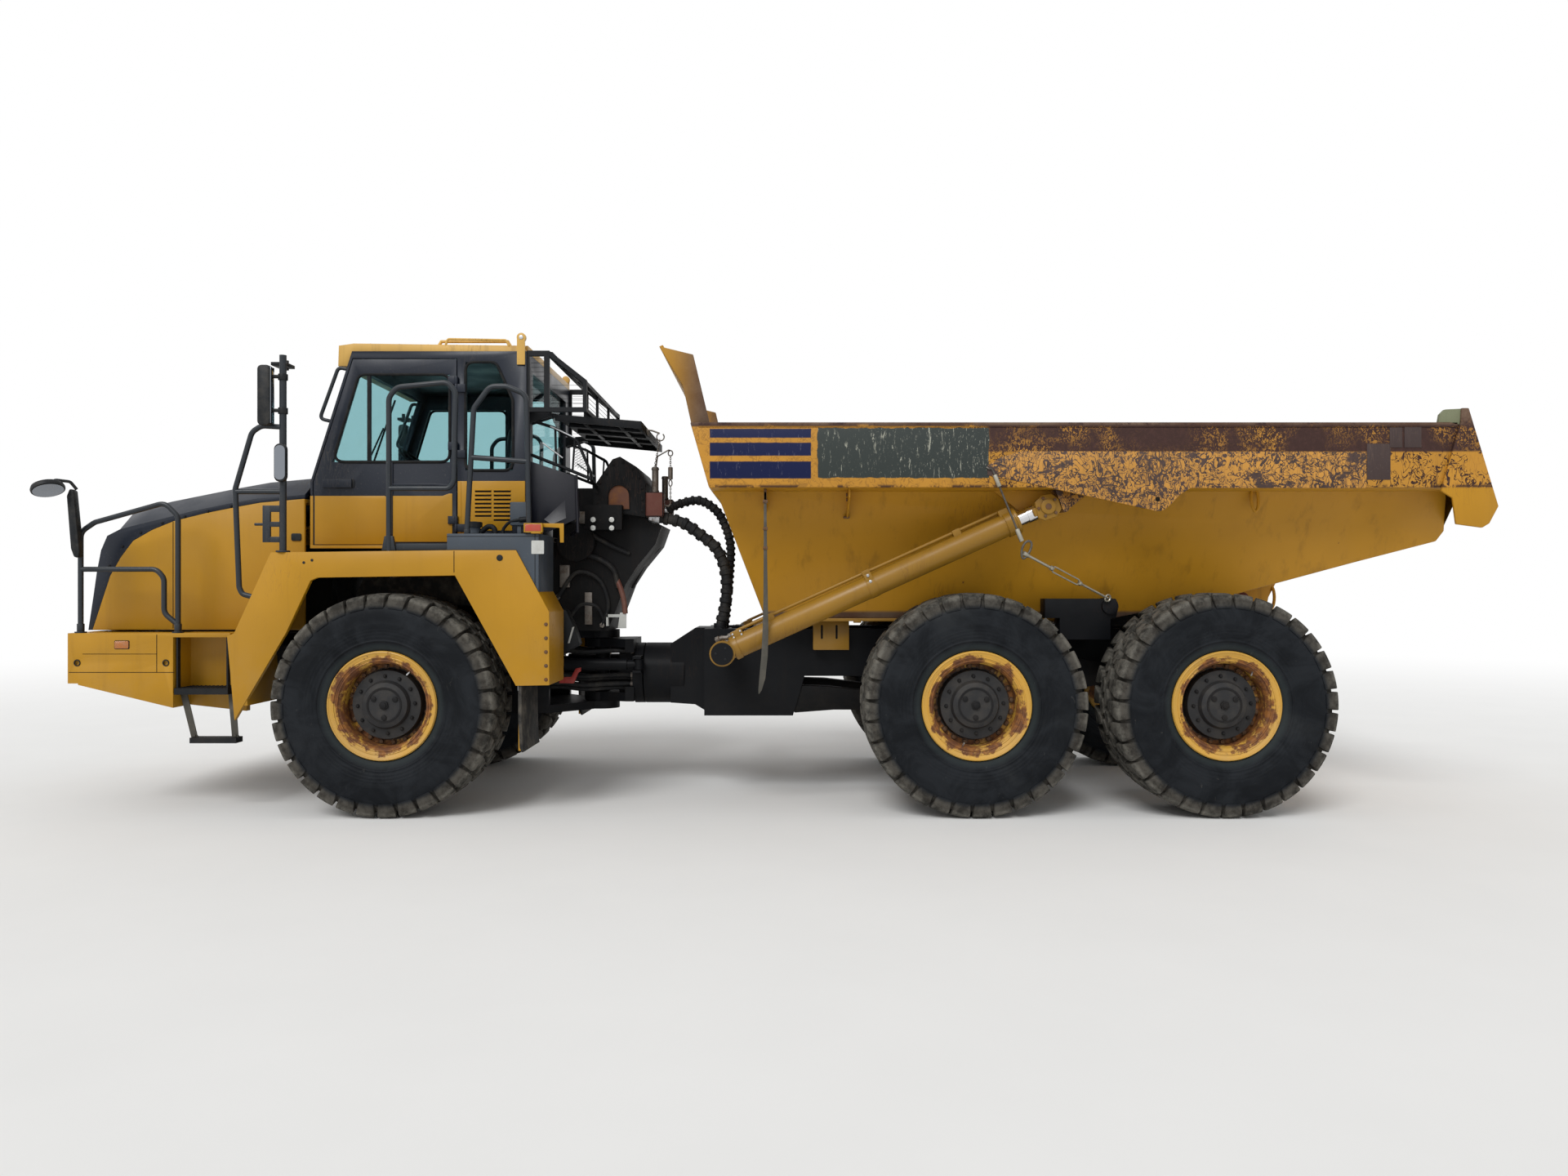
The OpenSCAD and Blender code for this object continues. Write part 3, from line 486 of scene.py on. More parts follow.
@dataclass(frozen=True)
class BedPaint(Paint):
    """Ochre paint of the bed: stripes, a scraped bare field, a rusty band and a worn inside."""

    stripe: RGB = srgb(8, 20, 62)
    field_colour: RGB = srgb(50, 56, 54)
    rust: RGB = srgb(58, 38, 34)
    shine: float = 0.2
    coat: float = 0.03
    pale: RGB = srgb(188, 134, 54)
    band_low: float = 2.345
    band_face: float = 1.375

    def wire(self) -> bpy.types.Material:
        """A new material with this finish."""
        graph = Graph(self.label)
        x, y, z = graph.axes()
        out = graph.step(graph.math("ABSOLUTE", y), self.band_face, self.band_face + 0.01)
        band = graph.times(out, graph.step(z, self.band_low - 0.01, self.band_low + 0.01))
        colour: Any = graph.mix(graph.times(band, 0.75), self.colour, self.pale)
        # painted light: the tub is painted lighter, up to 1.28 times, from z 2.1 down to z 1.6, against the
        # shade that falls low on it
        colour = graph.mix(graph.step(z, 2.1, 1.6), colour, tuple(1.28 * v for v in self.colour))
        colour, rough, height = self.wear(graph, colour)
        # brown sheet with flecks of paint left on it, above the wear plate
        sheet = graph.mix(graph.step(graph.noise(24, 6, 0.7), 0.4, 0.66), self.rust,
                          tuple(1.35 * v for v in self.rust))
        back = graph.step(x, 1.56, 1.63)
        high = graph.times(graph.times(graph.step(z, 2.590, 2.606), band), back)
        colour = graph.mix(high, colour, sheet)
        flecks = graph.step(graph.noise(44, 4, 0.62, graph.moved((0, 0, 0), (1, 1, 0.75), (0, 0.5, 0)),
                                        1.6), 0.50, 0.55)
        kept = graph.step(graph.noise(2.2, 3), 0.40, 0.62)
        solid = graph.box((2.55, -FAR, 2.5), (3.16, FAR, 2.9), 0.18)
        flecks = graph.times(flecks, graph.less(1.0, solid))
        flecks = graph.times(graph.times(flecks, kept), high)
        colour = graph.mix(flecks, colour, self.pale)
        # curling scratches over the whole band, denser behind
        fine = graph.most(graph.worms(11, 0.8), graph.worms(18, 0.6, (0, 0.9, 0)))
        dense = graph.blend(graph.step(x, 1.2, 1.8), 0.30, 1.0)
        lines = graph.times(graph.times(fine, dense), band)
        colour = graph.mix(lines, colour, self.rust)
        # worn edges of the band
        low_edge = graph.times(graph.step(z, self.band_low + 0.030, self.band_low + 0.006),
                               graph.step(graph.noise(6, 5, 0.7), 0.46, 0.54))
        top_edge = graph.times(graph.step(z, 2.768, 2.786), graph.step(graph.noise(5, 5, 0.7), 0.34, 0.46))
        edges = graph.times(graph.most(low_edge, top_edge), band)
        colour = graph.mix(edges, colour, self.rust)
        amount = graph.most(graph.most(high, lines), edges)
        # stripes and the scraped field near the front
        white = graph.step(graph.noise(7, 6, 0.75, graph.moved((0, 0, 0), (5, 1, 1.0), (0, 0.18, 0)), 0.5),
                           0.585, 0.64)
        drawn = graph.moved((0, 0, 0), (3.2, 1, 1), (0, 0.3, 0))
        fleck = graph.step(graph.noise(30, 5, 0.7, drawn), 0.60, 0.66)
        white = graph.most(white, graph.times(fleck, graph.step(x, 0.3, 1.5)))
        for low, top in ((2.697, 2.761), (2.570, 2.663), (2.409, 2.530)):
            mask = graph.box((-0.360, -FAR, low), (0.356, FAR, top), 0.003, 0.006)
            mask = graph.times(mask, out)
            navy = graph.mix(graph.times(white, 0.30), self.stripe, srgb(130, 130, 146))
            colour = graph.mix(mask, colour, navy)
        mask = graph.times(graph.box((0.402, -FAR, 2.414), (1.614, FAR, 2.767), 0.003, 0.03), out)
        bare = graph.mix(graph.times(white, 0.8), self.field_colour, srgb(162, 162, 148))
        colour = graph.mix(mask, colour, bare)
        # top edges and the inside, scoured by loads
        inner = graph.step(graph.math("ABSOLUTE", y), 1.382, 1.378)
        above = graph.step(z, 2.345, 2.40)
        side = graph.step(graph.math("ABSOLUTE", y), 1.076, 1.07)
        hollow = graph.most(graph.times(inner, above), graph.times(side, graph.step(z, 1.47, 1.44)))
        rim = graph.times(graph.step(z, 2.775, 2.80), graph.step(graph.noise(7, 6, 0.7), 0.36, 0.5))
        scour = graph.times(graph.most(hollow, rim), graph.step(x, -0.72, -0.40))
        steel = graph.mix(graph.step(graph.noise(1.6, 7, 0.7), 0.38, 0.62), srgb(112, 92, 76),
                          srgb(86, 62, 48))
        colour = graph.mix(scour, colour, steel)
        rough = graph.blend(graph.most(scour, amount), rough, 0.66)
        return graph.finish(colour, rough, height, 0.35, 0.003, Coat_Weight=self.coat, Coat_Roughness=0.3,
                            Specular_IOR_Level=self.shine)


@dataclass(frozen=True)
class WearPaint(Paint):
    """Paint of the wear plates, covered with curling scratches down to brown steel."""

    def wire(self) -> bpy.types.Material:
        """A new material with this finish."""
        graph = Graph(self.label)
        colour, rough, height = self.wear(graph, self.colour)
        fine = graph.most(graph.worms(9, 1.0), graph.worms(17, 0.95, (0, 0.9, 0)))
        fine = graph.most(fine, graph.worms(12, 0.9, (0, -0.7, 0)))
        deep = graph.step(graph.noise(5.0, 7, 0.72, graph.moved((0, 0, 0), (0.8, 1, 1.4), (0, 0.4, 0))),
                          0.56, 0.60)
        amount = graph.most(fine, deep)
        brown = graph.mix(graph.step(graph.noise(20, 5), 0.4, 0.65), self.under,
                          tuple(0.6 * v for v in self.under))
        colour = graph.mix(amount, colour, brown)
        rough = graph.blend(amount, rough, 0.62)
        return graph.finish(colour, rough, graph.less(height, amount), 0.35, 0.002)


@dataclass(frozen=True)
class TyreRubber(Finish):
    """Dusty tyre rubber whose rings lie round its axle."""

    axle: Axle
    tread: float = 0.735

    @property
    def label(self) -> str:
        """Name of the material, one for each axle."""
        return f"tyre_rubber_{self.axle.tag}"

    def wire(self) -> bpy.types.Material:
        """A new material with this finish."""
        graph = Graph(self.label)
        radius = graph.off_axle(self.axle)
        smear = graph.noise(3.4, 6, 0.68, None, 0.8)
        wet = graph.mix(graph.step(smear, 0.36, 0.64), srgb(14, 17, 21), srgb(30, 33, 37))
        cloud = graph.noise(1.3, 3)
        wet = graph.mix(graph.times(graph.step(cloud, 0.55, 0.75), 0.30), wet, srgb(62, 64, 64))
        rub = graph.step(graph.noise(16, 4, 0.7, graph.moved((0, 0, 0), (1, 1, 0.5), (0, 0.7, 0)), 1.0),
                         0.66, 0.74)
        wet = graph.mix(graph.times(rub, 0.35), wet, srgb(92, 90, 86))
        tread = graph.step(radius, self.tread - 0.045, self.tread + 0.01)
        dusty = graph.mix(graph.step(graph.noise(11, 5, 0.7), 0.32, 0.66), srgb(48, 47, 44),
                          srgb(104, 101, 94))
        colour = graph.mix(tread, wet, dusty)
        # painted shade: the floor of the tread and the feet of the lugs are painted darker
        tread_floor_shade = graph.times(tread, graph.step(radius, 0.775, 0.75))
        colour = graph.mix(graph.times(tread_floor_shade, 0.55), colour, srgb(46, 42, 38))
        bead = graph.step(radius, 0.455, 0.415)
        colour = graph.mix(graph.times(bead, 0.4), colour, srgb(50, 58, 58))
        rough = graph.blend(tread, graph.blend(smear, 0.50, 0.66), 0.88)
        rings = graph.math("SINE", graph.times(radius, 260.0))
        zone = graph.times(graph.step(radius, 0.44, 0.46), graph.step(radius, 0.56, 0.54))
        rings = graph.times(graph.times(rings, zone), 0.35)
        height = graph.plus(rings, graph.times(graph.noise(90, 5, 0.7), 0.5))
        return graph.finish(colour, rough, height, 0.5, 0.003, Specular_IOR_Level=0.12)


@dataclass(frozen=True)
class RimPaint(Paint):
    """Yellow rim paint, rusting towards the disc, round a dark hub."""

    axle: Axle = Axle.FRONT
    hub: float = 0.262
    well: float = 0.315

    @property
    def label(self) -> str:
        """Name of the material, one for each axle."""
        return f"{self.name}_{self.axle.tag}"

    def wire(self) -> bpy.types.Material:
        """A new material with this finish."""
        graph = Graph(self.label)
        radius = graph.off_axle(self.axle)
        colour, rough, height = self.wear(graph, self.colour)
        rust = graph.noise(6.5, 7, 0.7)
        edge = graph.step(radius, 0.385, self.well)
        spread = graph.plus(rust, graph.times(edge, 0.20))
        amount = graph.step(spread, 0.60, 0.68)
        brown = graph.mix(graph.step(graph.noise(22, 5), 0.4, 0.65), srgb(96, 56, 28), srgb(138, 88, 36))
        colour = graph.mix(amount, colour, brown)
        core = graph.step(radius, self.hub + 0.01, self.hub - 0.005)
        dark = graph.mix(graph.step(graph.noise(8, 5), 0.4, 0.7), srgb(20, 20, 22), srgb(44, 41, 38))
        colour = graph.mix(core, colour, dark)
        rough = graph.blend(graph.most(amount, core), rough, 0.7)
        return graph.finish(colour, rough, height, 0.3, 0.002)


@dataclass(frozen=True)
class Metal(Finish):
    """Bare or plated metal with fine grain and stains."""

    name: str
    colour: RGB
    stain: RGB = srgb(96, 80, 64)
    rough: float = 0.28
    stained: float = 0.3
    metallic: float = 1.0

    def wire(self) -> bpy.types.Material:
        """A new material with this finish."""
        graph = Graph(self.label)
        patch = graph.step(graph.noise(14, 6, 0.7), 0.62 - 0.25 * self.stained, 0.78)
        colour = graph.mix(graph.times(patch, 0.8), self.colour, self.stain)
        rough = graph.blend(patch, self.rough, min(1.0, self.rough + 0.4))
        return graph.finish(colour, rough, graph.noise(160, 3), 0.12, 0.001, Metallic=self.metallic)


@dataclass(frozen=True)
class Rubber(Finish):
    """Black rubber or moulded plastic with a fine skin and dust."""

    name: str
    colour: RGB = srgb(30, 31, 33)
    dust: RGB = srgb(104, 98, 88)
    rough: float = 0.62
    dusty: float = 0.25
    grain: float = 240.0

    def wire(self) -> bpy.types.Material:
        """A new material with this finish."""
        graph = Graph(self.label)
        film = graph.times(graph.step(graph.noise(7, 5, 0.7), 0.42, 0.72), self.dusty)
        colour = graph.mix(film, self.colour, self.dust)
        rough = graph.blend(graph.noise(5, 3), self.rough - 0.08, self.rough + 0.12)
        return graph.finish(colour, rough, graph.noise(self.grain, 3), 0.25, 0.001, Specular_IOR_Level=0.2)


@dataclass(frozen=True)
class Glazing(Finish):
    """Green-tinted window glass with a thin film of dust."""

    name: str = "window_glass"
    tint: RGB = (0.50, 0.69, 0.71)

    def wire(self) -> bpy.types.Material:
        """A new material with this finish."""
        graph = Graph(self.label)
        film = graph.step(graph.noise(3.0, 6, 0.7), 0.45, 0.9)
        colour = graph.mix(graph.times(film, 0.25), self.tint, (0.52, 0.66, 0.62))
        return graph.finish(colour, graph.blend(film, 0.02, 0.09), None, Transmission_Weight=1.0, IOR=1.05)


@dataclass(frozen=True)
class Lens(Finish):
    """Coloured lamp lens with moulded ribs."""

    name: str
    colour: RGB
    pitch: float = 700.0
    clear: float = 0.0

    def wire(self) -> bpy.types.Material:
        """A new material with this finish."""
        graph = Graph(self.label)
        x, _, z = graph.axes()
        ribs = graph.math("SINE", graph.times(graph.plus(x, z), self.pitch))
        film = graph.step(graph.noise(26, 4), 0.4, 0.75)
        colour = graph.mix(graph.times(film, 0.25), self.colour, srgb(120, 108, 96))
        return graph.finish(colour, graph.blend(film, 0.12, 0.35), ribs, 0.35, 0.001,
                            Transmission_Weight=self.clear, Coat_Weight=0.4)


@dataclass(frozen=True)
class Cloth(Finish):
    """Woven seat cloth."""

    name: str
    colour: RGB
    thread: RGB
    pitch: float = 520.0

    def wire(self) -> bpy.types.Material:
        """A new material with this finish."""
        graph = Graph(self.label)
        x, y, z = graph.axes()
        across = graph.math("SINE", graph.times(graph.plus(x, z), self.pitch))
        along = graph.math("SINE", graph.times(graph.plus(y, graph.times(z, 0.3)), self.pitch))
        weave = graph.times(graph.plus(graph.times(across, along), 1.0), 0.5)
        colour = graph.mix(weave, self.colour, self.thread)
        colour = graph.mix(graph.times(graph.step(graph.noise(5, 4), 0.4, 0.7), 0.3), colour, self.thread)
        return graph.finish(colour, 0.88, weave, 0.4, 0.001, Sheen_Weight=0.3)


YELLOW = srgb(176, 128, 16)
BLACK = srgb(9, 19, 34)

FENDER_PAINT = Paint("yellow_paint", YELLOW, chips=0.15, runs=0.12, scratched=0.12, dust_share=0.22)
ROOF_PAINT = Paint("roof_paint", srgb(206, 164, 84), fade=0.14, runs=0.3, chips=0.2)
BLACK_PAINT = Paint("black_paint", BLACK, under=srgb(70, 66, 62), rough=0.34, dust_share=0.4, runs=0.1,
                    shine=0.35)
DARK_PAINT = Paint("dark_paint", srgb(14, 17, 21), under=srgb(50, 44, 40), dust=srgb(72, 67, 60),
                   rough=0.5, dust_share=0.3, dust_top=1.5, shine=0.22, coat=0.04)
GREY_PAINT = Paint("grey_paint", srgb(62, 70, 79), under=srgb(104, 102, 98), rough=0.42)
FRAME_PAINT = Paint("frame_paint", srgb(9, 11, 15), under=srgb(46, 36, 30), dust=srgb(58, 54, 48),
                    rough=0.5, dust_share=0.22, dust_top=1.2, shine=0.16, coat=0.03)
SOOT_PAINT = Paint("soot_paint", srgb(10, 11, 13), under=srgb(58, 44, 38), dust=srgb(50, 46, 42),
                   rough=0.6, dust_share=0.4, dust_top=3.0, chips=0.4, shine=0.16, coat=0.03)
BED_PAINT = BedPaint("bed_paint", srgb(180, 130, 34), chips=0.3, runs=0.3, scratched=0.3, dust_share=0.12)
CYLINDER_PAINT = Paint("cylinder_paint", srgb(144, 106, 30), chips=0.35, runs=0.2, shine=0.3)
CHROME = Metal("rod_steel", (0.72, 0.72, 0.73), rough=0.16, stained=0.15)
ZINC = Metal("zinc_steel", (0.50, 0.51, 0.52), rough=0.38, stained=0.45)
DULL_STEEL = Metal("dull_steel", (0.20, 0.18, 0.16), rough=0.5, stained=0.8, metallic=0.7)
MIRROR = Metal("mirror_glass", (0.24, 0.26, 0.29), rough=0.05, stained=0.05)
HOSE = Rubber("hose_rubber")
SEAL = Rubber("window_seal", srgb(20, 21, 23), rough=0.7, dusty=0.12)
PLASTIC = Rubber("cab_plastic", srgb(24, 26, 28), rough=0.55, dusty=0.1, grain=420.0)
FLAP = Rubber("mud_flap_rubber", srgb(38, 38, 38), rough=0.75, dusty=0.6)
GLASS = Glazing()
AMBER = Lens("amber_lens", srgb(170, 98, 26))
RED = Lens("red_lens", srgb(176, 58, 34))
CLEAR = Lens("clear_lens", srgb(206, 208, 204), pitch=900.0)
SEAT_CLOTH = Cloth("seat_cloth", srgb(34, 36, 40), srgb(54, 56, 60))
WEAR_PAINT = WearPaint("wear_paint", srgb(192, 136, 52), under=srgb(66, 46, 40), chips=0.5, runs=0.2,
                       scratched=1.0, dust_share=0.1)
SCUFFED_STEEL = Paint("scuffed_steel", srgb(62, 48, 46), under=srgb(96, 78, 68), rough=0.5, chips=0.5,
                      runs=0.3, scratched=0.6, shine=0.3)
STRIP_RUBBER = Rubber("strip_rubber", srgb(74, 72, 66), rough=0.6, dusty=0.5)
ROPE_STEEL = Metal("rope_steel", srgb(96, 92, 86), stain=srgb(60, 48, 38), rough=0.45, stained=0.7,
                   metallic=0.8)
SLEEVE_METAL = Metal("sleeve_metal", srgb(168, 164, 150), stain=srgb(118, 104, 84), rough=0.4, stained=0.6,
                     metallic=0.8)
RED_BROWN = Paint("pin_paint", srgb(98, 44, 36), under=srgb(60, 40, 34), rough=0.5, chips=0.3)
CAP_PAINT = Paint("cap_paint", srgb(120, 124, 96), under=srgb(92, 76, 52), rough=0.45, chips=0.4,
                  scratched=0.5)
LABEL = Rubber("blank_plate", srgb(196, 198, 194), dust=srgb(150, 146, 138), rough=0.4, dusty=0.4)
RED_PAINT = Paint("red_paint", srgb(150, 36, 30), under=srgb(84, 60, 52), rough=0.42, dust_share=0.3)
BROWN_PAINT = Paint("baked_paint", srgb(96, 52, 42), under=srgb(60, 42, 36), rough=0.62, chips=0.6,
                    runs=0.5, dust_share=0.4, dust_top=3.0)
BLACK_GLOSS = Paint("gloss_paint", srgb(20, 21, 30), under=srgb(60, 58, 70), rough=0.30, chips=0.05,
                    runs=0.05, scratched=0.15, dust_share=0.2, coat=0.0)
RUSTY = Metal("rusty_plate", srgb(96, 60, 44), stain=srgb(140, 92, 52), rough=0.75, stained=0.9,
              metallic=0.2)
RUST_BOLT = Metal("rusty_bolt", srgb(92, 70, 52), stain=srgb(128, 84, 44), rough=0.6, stained=0.9,
                  metallic=0.3)
HUB_PAINT = Paint("hub_paint", srgb(16, 16, 18), under=srgb(62, 50, 40), dust=srgb(60, 54, 48), rough=0.55,
                  chips=0.5, dust_share=0.4, shine=0.2, coat=0.04)
RAIL_PAINT = Paint("rail_paint", srgb(30, 36, 42), under=srgb(92, 84, 76), rough=0.34, chips=0.2,
                   dust_share=0.3, scratched=0.1)
PLASTIC_BLACK = Rubber("black_plastic", srgb(26, 29, 32), rough=0.45, dusty=0.2, grain=500.0)
# near black: on the seams between plates it is a real dark joint; on the vent slots and the holes it is
# painted shade
DARK_JOINTS_AND_SHADE = Rubber("vent_shadow", srgb(14, 14, 14), rough=0.9, dusty=0.1)
CAB_PAINT = SplitPaint("cab_paint", BLACK, under=srgb(70, 66, 62), rough=0.32, dust_share=0.4, runs=0.1)


# Mesh building

SHARP = math.radians(32)
CREASE = math.radians(25)
CORNER = math.radians(28)
SOFT_SHARP = math.radians(40)
FLAT_WITHIN = math.radians(0.6)
WELD = 2e-5


def turns(steps: int, sweep: float = 2 * math.pi, start: float = 0.0, ends: int = 0) -> list[float]:
    """Evenly spaced angles, by default once round; with ends=1 the sweep's last angle is among them."""
    return [start + sweep * k / steps for k in range(steps + ends)]


def shade(mesh: bpy.types.Mesh, angle: float = SHARP) -> None:
    """Smooths a mesh except over edges sharper than an angle."""
    mesh.polygons.foreach_set("use_smooth", [True] * len(mesh.polygons))
    mesh.set_sharp_from_angle(angle=angle)


class Shape:
    """Builder of one mesh from simple solids, in the truck's own metres."""

    def __init__(self) -> None:
        """Starts empty."""
        self.bm = bmesh.new()

    def _soften(self, faces: Sequence[Any], width: float, segments: int = 2) -> None:
        """Bevels the sharp edges of some faces.

        Args:
            faces: faces just made.
            width: width of the bevel.
            segments: steps across the bevel.
        """
        bmesh.ops.recalc_face_normals(self.bm, faces=list(faces))
        if width <= 0:
            return
        edges = {e for f in faces for e in f.edges
                 if len(e.link_faces) == 2 and e.calc_face_angle(0) > CREASE}
        bmesh.ops.bevel(self.bm, geom=list(edges), offset=width, segments=segments, profile=0.5,
                        affect="EDGES", clamp_overlap=True)

    def rings(self, loops: Sequence[Sequence[Point]], caps: bool = True, closed: bool = False,
              bevel: float = 0.0) -> "Shape":
        """Skin over a row of loops with equal counts of points.

        Args:
            loops: the loops in order.
            caps: whether the ends are closed by a face.
            closed: whether the last loop joins the first.
            bevel: width of the bevel on sharp edges.

        Returns:
            This shape.
        """
        rows = [[self.bm.verts.new(p) for p in loop] for loop in loops]
        faces = []
        pairs = list(zip(rows, rows[1:])) + ([(rows[-1], rows[0])] if closed else [])
        for a, b in pairs:
            for i in range(len(a)):
                j = (i + 1) % len(a)
                faces.append(self.bm.faces.new((a[i], a[j], b[j], b[i])))
        if caps and not closed:
            faces.append(self.bm.faces.new(rows[0]))
            faces.append(self.bm.faces.new(rows[-1]))
        self._soften(faces, bevel)
        return self

    def block(self, low: Point, high: Point, bevel: float = 0.0) -> "Shape":
        """Box between two corners."""
        (x0, y0, z0), (x1, y1, z1) = low, high
        return self.rings([[(x0, y0, z), (x1, y0, z), (x1, y1, z), (x0, y1, z)] for z in (z0, z1)],
                          bevel=bevel)

    def prism(self, outline: Sequence[Flat], low: float, high: float, axis: str = "y",
              bevel: float = 0.0) -> "Shape":
        """Flat outline pushed along an axis.

        Args:
            outline: points in the other two axes, in the order x, y, z.
            low, high: ends along the axis.
            axis: x, y or z.
            bevel: width of the bevel.

        Returns:
            This shape.
        """
        place: dict[str, Callable[[float, float, float], Point]] = {
            "x": lambda a, b, t: (t, a, b), "y": lambda a, b, t: (a, t, b), "z": lambda a, b, t: (a, b, t)}
        return self.rings([[place[axis](a, b, t) for a, b in outline] for t in (low, high)], bevel=bevel)

    def tube(self, path: Sequence[Point], radius: float, sides: int = 12, closed: bool = False,
             caps: bool = True) -> "Shape":
        """Round bar that follows a path without twisting.

        Args:
            path: points of the centre line.
            radius: radius of the bar.
            sides: sides of its section.
            closed: whether the path is a loop.
            caps: whether the ends are closed.

        Returns:
            This shape.
        """
        pts = [Vector(p) for p in path]
        count = len(pts)
        ways = []
        for i in range(count):
            before = pts[i - 1] if closed or i else pts[0]
            after = pts[(i + 1) % count] if closed or i < count - 1 else pts[-1]
            ways.append((after - before).normalized())
        across = ways[0].orthogonal().normalized()
        loops = []
        for i, (point, way) in enumerate(zip(pts, ways)):
            if i:
                across = ways[i - 1].rotation_difference(way) @ across
            across = (across - way * across.dot(way)).normalized()
            up = way.cross(across)
            loops.append([tuple(point + radius * (across * math.cos(t) + up * math.sin(t)))
                          for t in turns(sides)])
        return self.rings(loops, caps=caps, closed=closed)

    def lathe(self, profile: Sequence[Flat], centre: Point, way: Point = (0, 1, 0), sides: int = 32,
              closed: bool = True, bevel: float = 0.0) -> "Shape":
        """Outline turned round an axis.

        Args:
            profile: points as radius and height along the axis.
            centre: foot of the axis.
            way: direction of the axis.
            sides: steps round the axis.
            closed: whether the outline is a closed ring away from the axis.
            bevel: width of the bevel.

        Returns:
            This shape.
        """
        axis = Vector(way).normalized()
        across = axis.orthogonal().normalized()
        up = axis.cross(across)
        foot = Vector(centre)
        loops = []
        for radius, height in profile:
            loops.append([tuple(foot + axis * height + radius * (across * math.cos(t) + up * math.sin(t)))
                          for t in turns(sides)])
        return self.rings(loops, caps=not closed, closed=closed, bevel=bevel)

    def disc(self, centre: Point, way: Point, radius: float, height: float, sides: int = 24,
             bevel: float = 0.002) -> "Shape":
        """Short round boss whose foot is at the centre."""
        return self.lathe([(radius, 0.0), (radius, height)], centre, way, sides, False, bevel)

    def moved(self, matrix: Matrix) -> "Shape":
        """Everything so far, moved by a matrix."""
        bmesh.ops.transform(self.bm, matrix=matrix, verts=self.bm.verts[:])
        if matrix.determinant() < 0:
            bmesh.ops.reverse_faces(self.bm, faces=self.bm.faces[:])
        return self

    def mirrored(self) -> "Shape":
        """Adds the same shape on the other side of the truck."""
        found = bmesh.ops.duplicate(self.bm, geom=self.bm.verts[:] + self.bm.edges[:] + self.bm.faces[:])
        verts = [g for g in found["geom"] if isinstance(g, bmesh.types.BMVert)]
        faces = [g for g in found["geom"] if isinstance(g, bmesh.types.BMFace)]
        bmesh.ops.scale(self.bm, vec=(1, -1, 1), verts=verts)
        bmesh.ops.reverse_faces(self.bm, faces=faces)
        return self

    def piece(self, name: str, finish: Finish, body: Optional[str], angle: float = SHARP,
              replaces: Sequence[str] = ()) -> bpy.types.Object:
        """Ends the shape as a piece of the truck.

        Args:
            name: name of the piece.
            finish: finish with a build method.
            body: body that carries it, or None for a helper.
            angle: sharpest smoothed edge.
            replaces: CAD nodes it stands for.

        Returns:
            The object.
        """
        mesh = bpy.data.meshes.new(name)
        self.bm.to_mesh(mesh)
        self.bm.free()
        shade(mesh, angle)
        return settle(bpy.data.objects.new(name, mesh), finish, body, replaces)


def shown(obj: bpy.types.Object) -> bpy.types.Object:
    """The object, linked to the scene."""
    bpy.context.scene.collection.objects.link(obj)
    return obj


def coat(obj: bpy.types.Object, finish: Finish) -> None:
    """Makes a finish the object's only material."""
    obj.data.materials.clear()
    obj.data.materials.append(finish.build())


def settle(obj: bpy.types.Object, finish: Finish, body: Optional[str],
           replaces: Sequence[str] = ()) -> bpy.types.Object:
    """Links an object, finishes it and lets it ride.

    Args:
        obj: the new object.
        finish: finish with a build method.
        body: body that carries it, or None.
        replaces: CAD nodes it stands for.

    Returns:
        The object.
    """
    coat(shown(obj), finish)
    if body:
        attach(obj, body)
        log.info("piece %s rides on %s", obj.name, body)
    if replaces:
        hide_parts(*replaces)
    return obj


def baked(obj: bpy.types.Object) -> bpy.types.Object:
    """Turns an object's modifiers into plain mesh.

    Args:
        obj: the object, linked to the scene.

    Returns:
        The same object.
    """
    graph = bpy.context.evaluated_depsgraph_get()
    mesh = bpy.data.meshes.new_from_object(obj.evaluated_get(graph))
    obj.modifiers.clear()
    old, obj.data = obj.data, mesh
    bpy.data.meshes.remove(old)
    return obj


def softened(node: str, body: str, finish: Finish, width: float = 0.005) -> bpy.types.Object:
    """Copy of a CAD node with its sharp edges rounded, which takes the node's place.

    Args:
        node: name of the CAD node.
        body: body it rides on.
        finish: its finish.
        width: width of the rounding.

    Returns:
        The new piece.
    """
    bm = bmesh.new()
    bm.from_mesh(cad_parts[node].data)
    bmesh.ops.remove_doubles(bm, verts=bm.verts[:], dist=WELD)
    bmesh.ops.dissolve_limit(bm, angle_limit=FLAT_WITHIN, verts=bm.verts[:], edges=bm.edges[:])
    mesh = bpy.data.meshes.new(node + "_soft")
    bm.to_mesh(mesh)
    bm.free()
    obj = shown(bpy.data.objects.new(node + "_soft", mesh))
    edge = obj.modifiers.new("edge", "BEVEL")
    edge.width = width
    edge.segments = 2
    edge.limit_method = "ANGLE"
    edge.angle_limit = CORNER
    edge.use_clamp_overlap = True
    baked(obj)
    bpy.context.scene.collection.objects.unlink(obj)
    shade(obj.data, SOFT_SHARP)
    return settle(obj, finish, body, (node,))


class Layout(Enum):
    """Ways in which an item is repeated."""

    RING = "ring"
    GRID = "grid"
    PATH = "path"


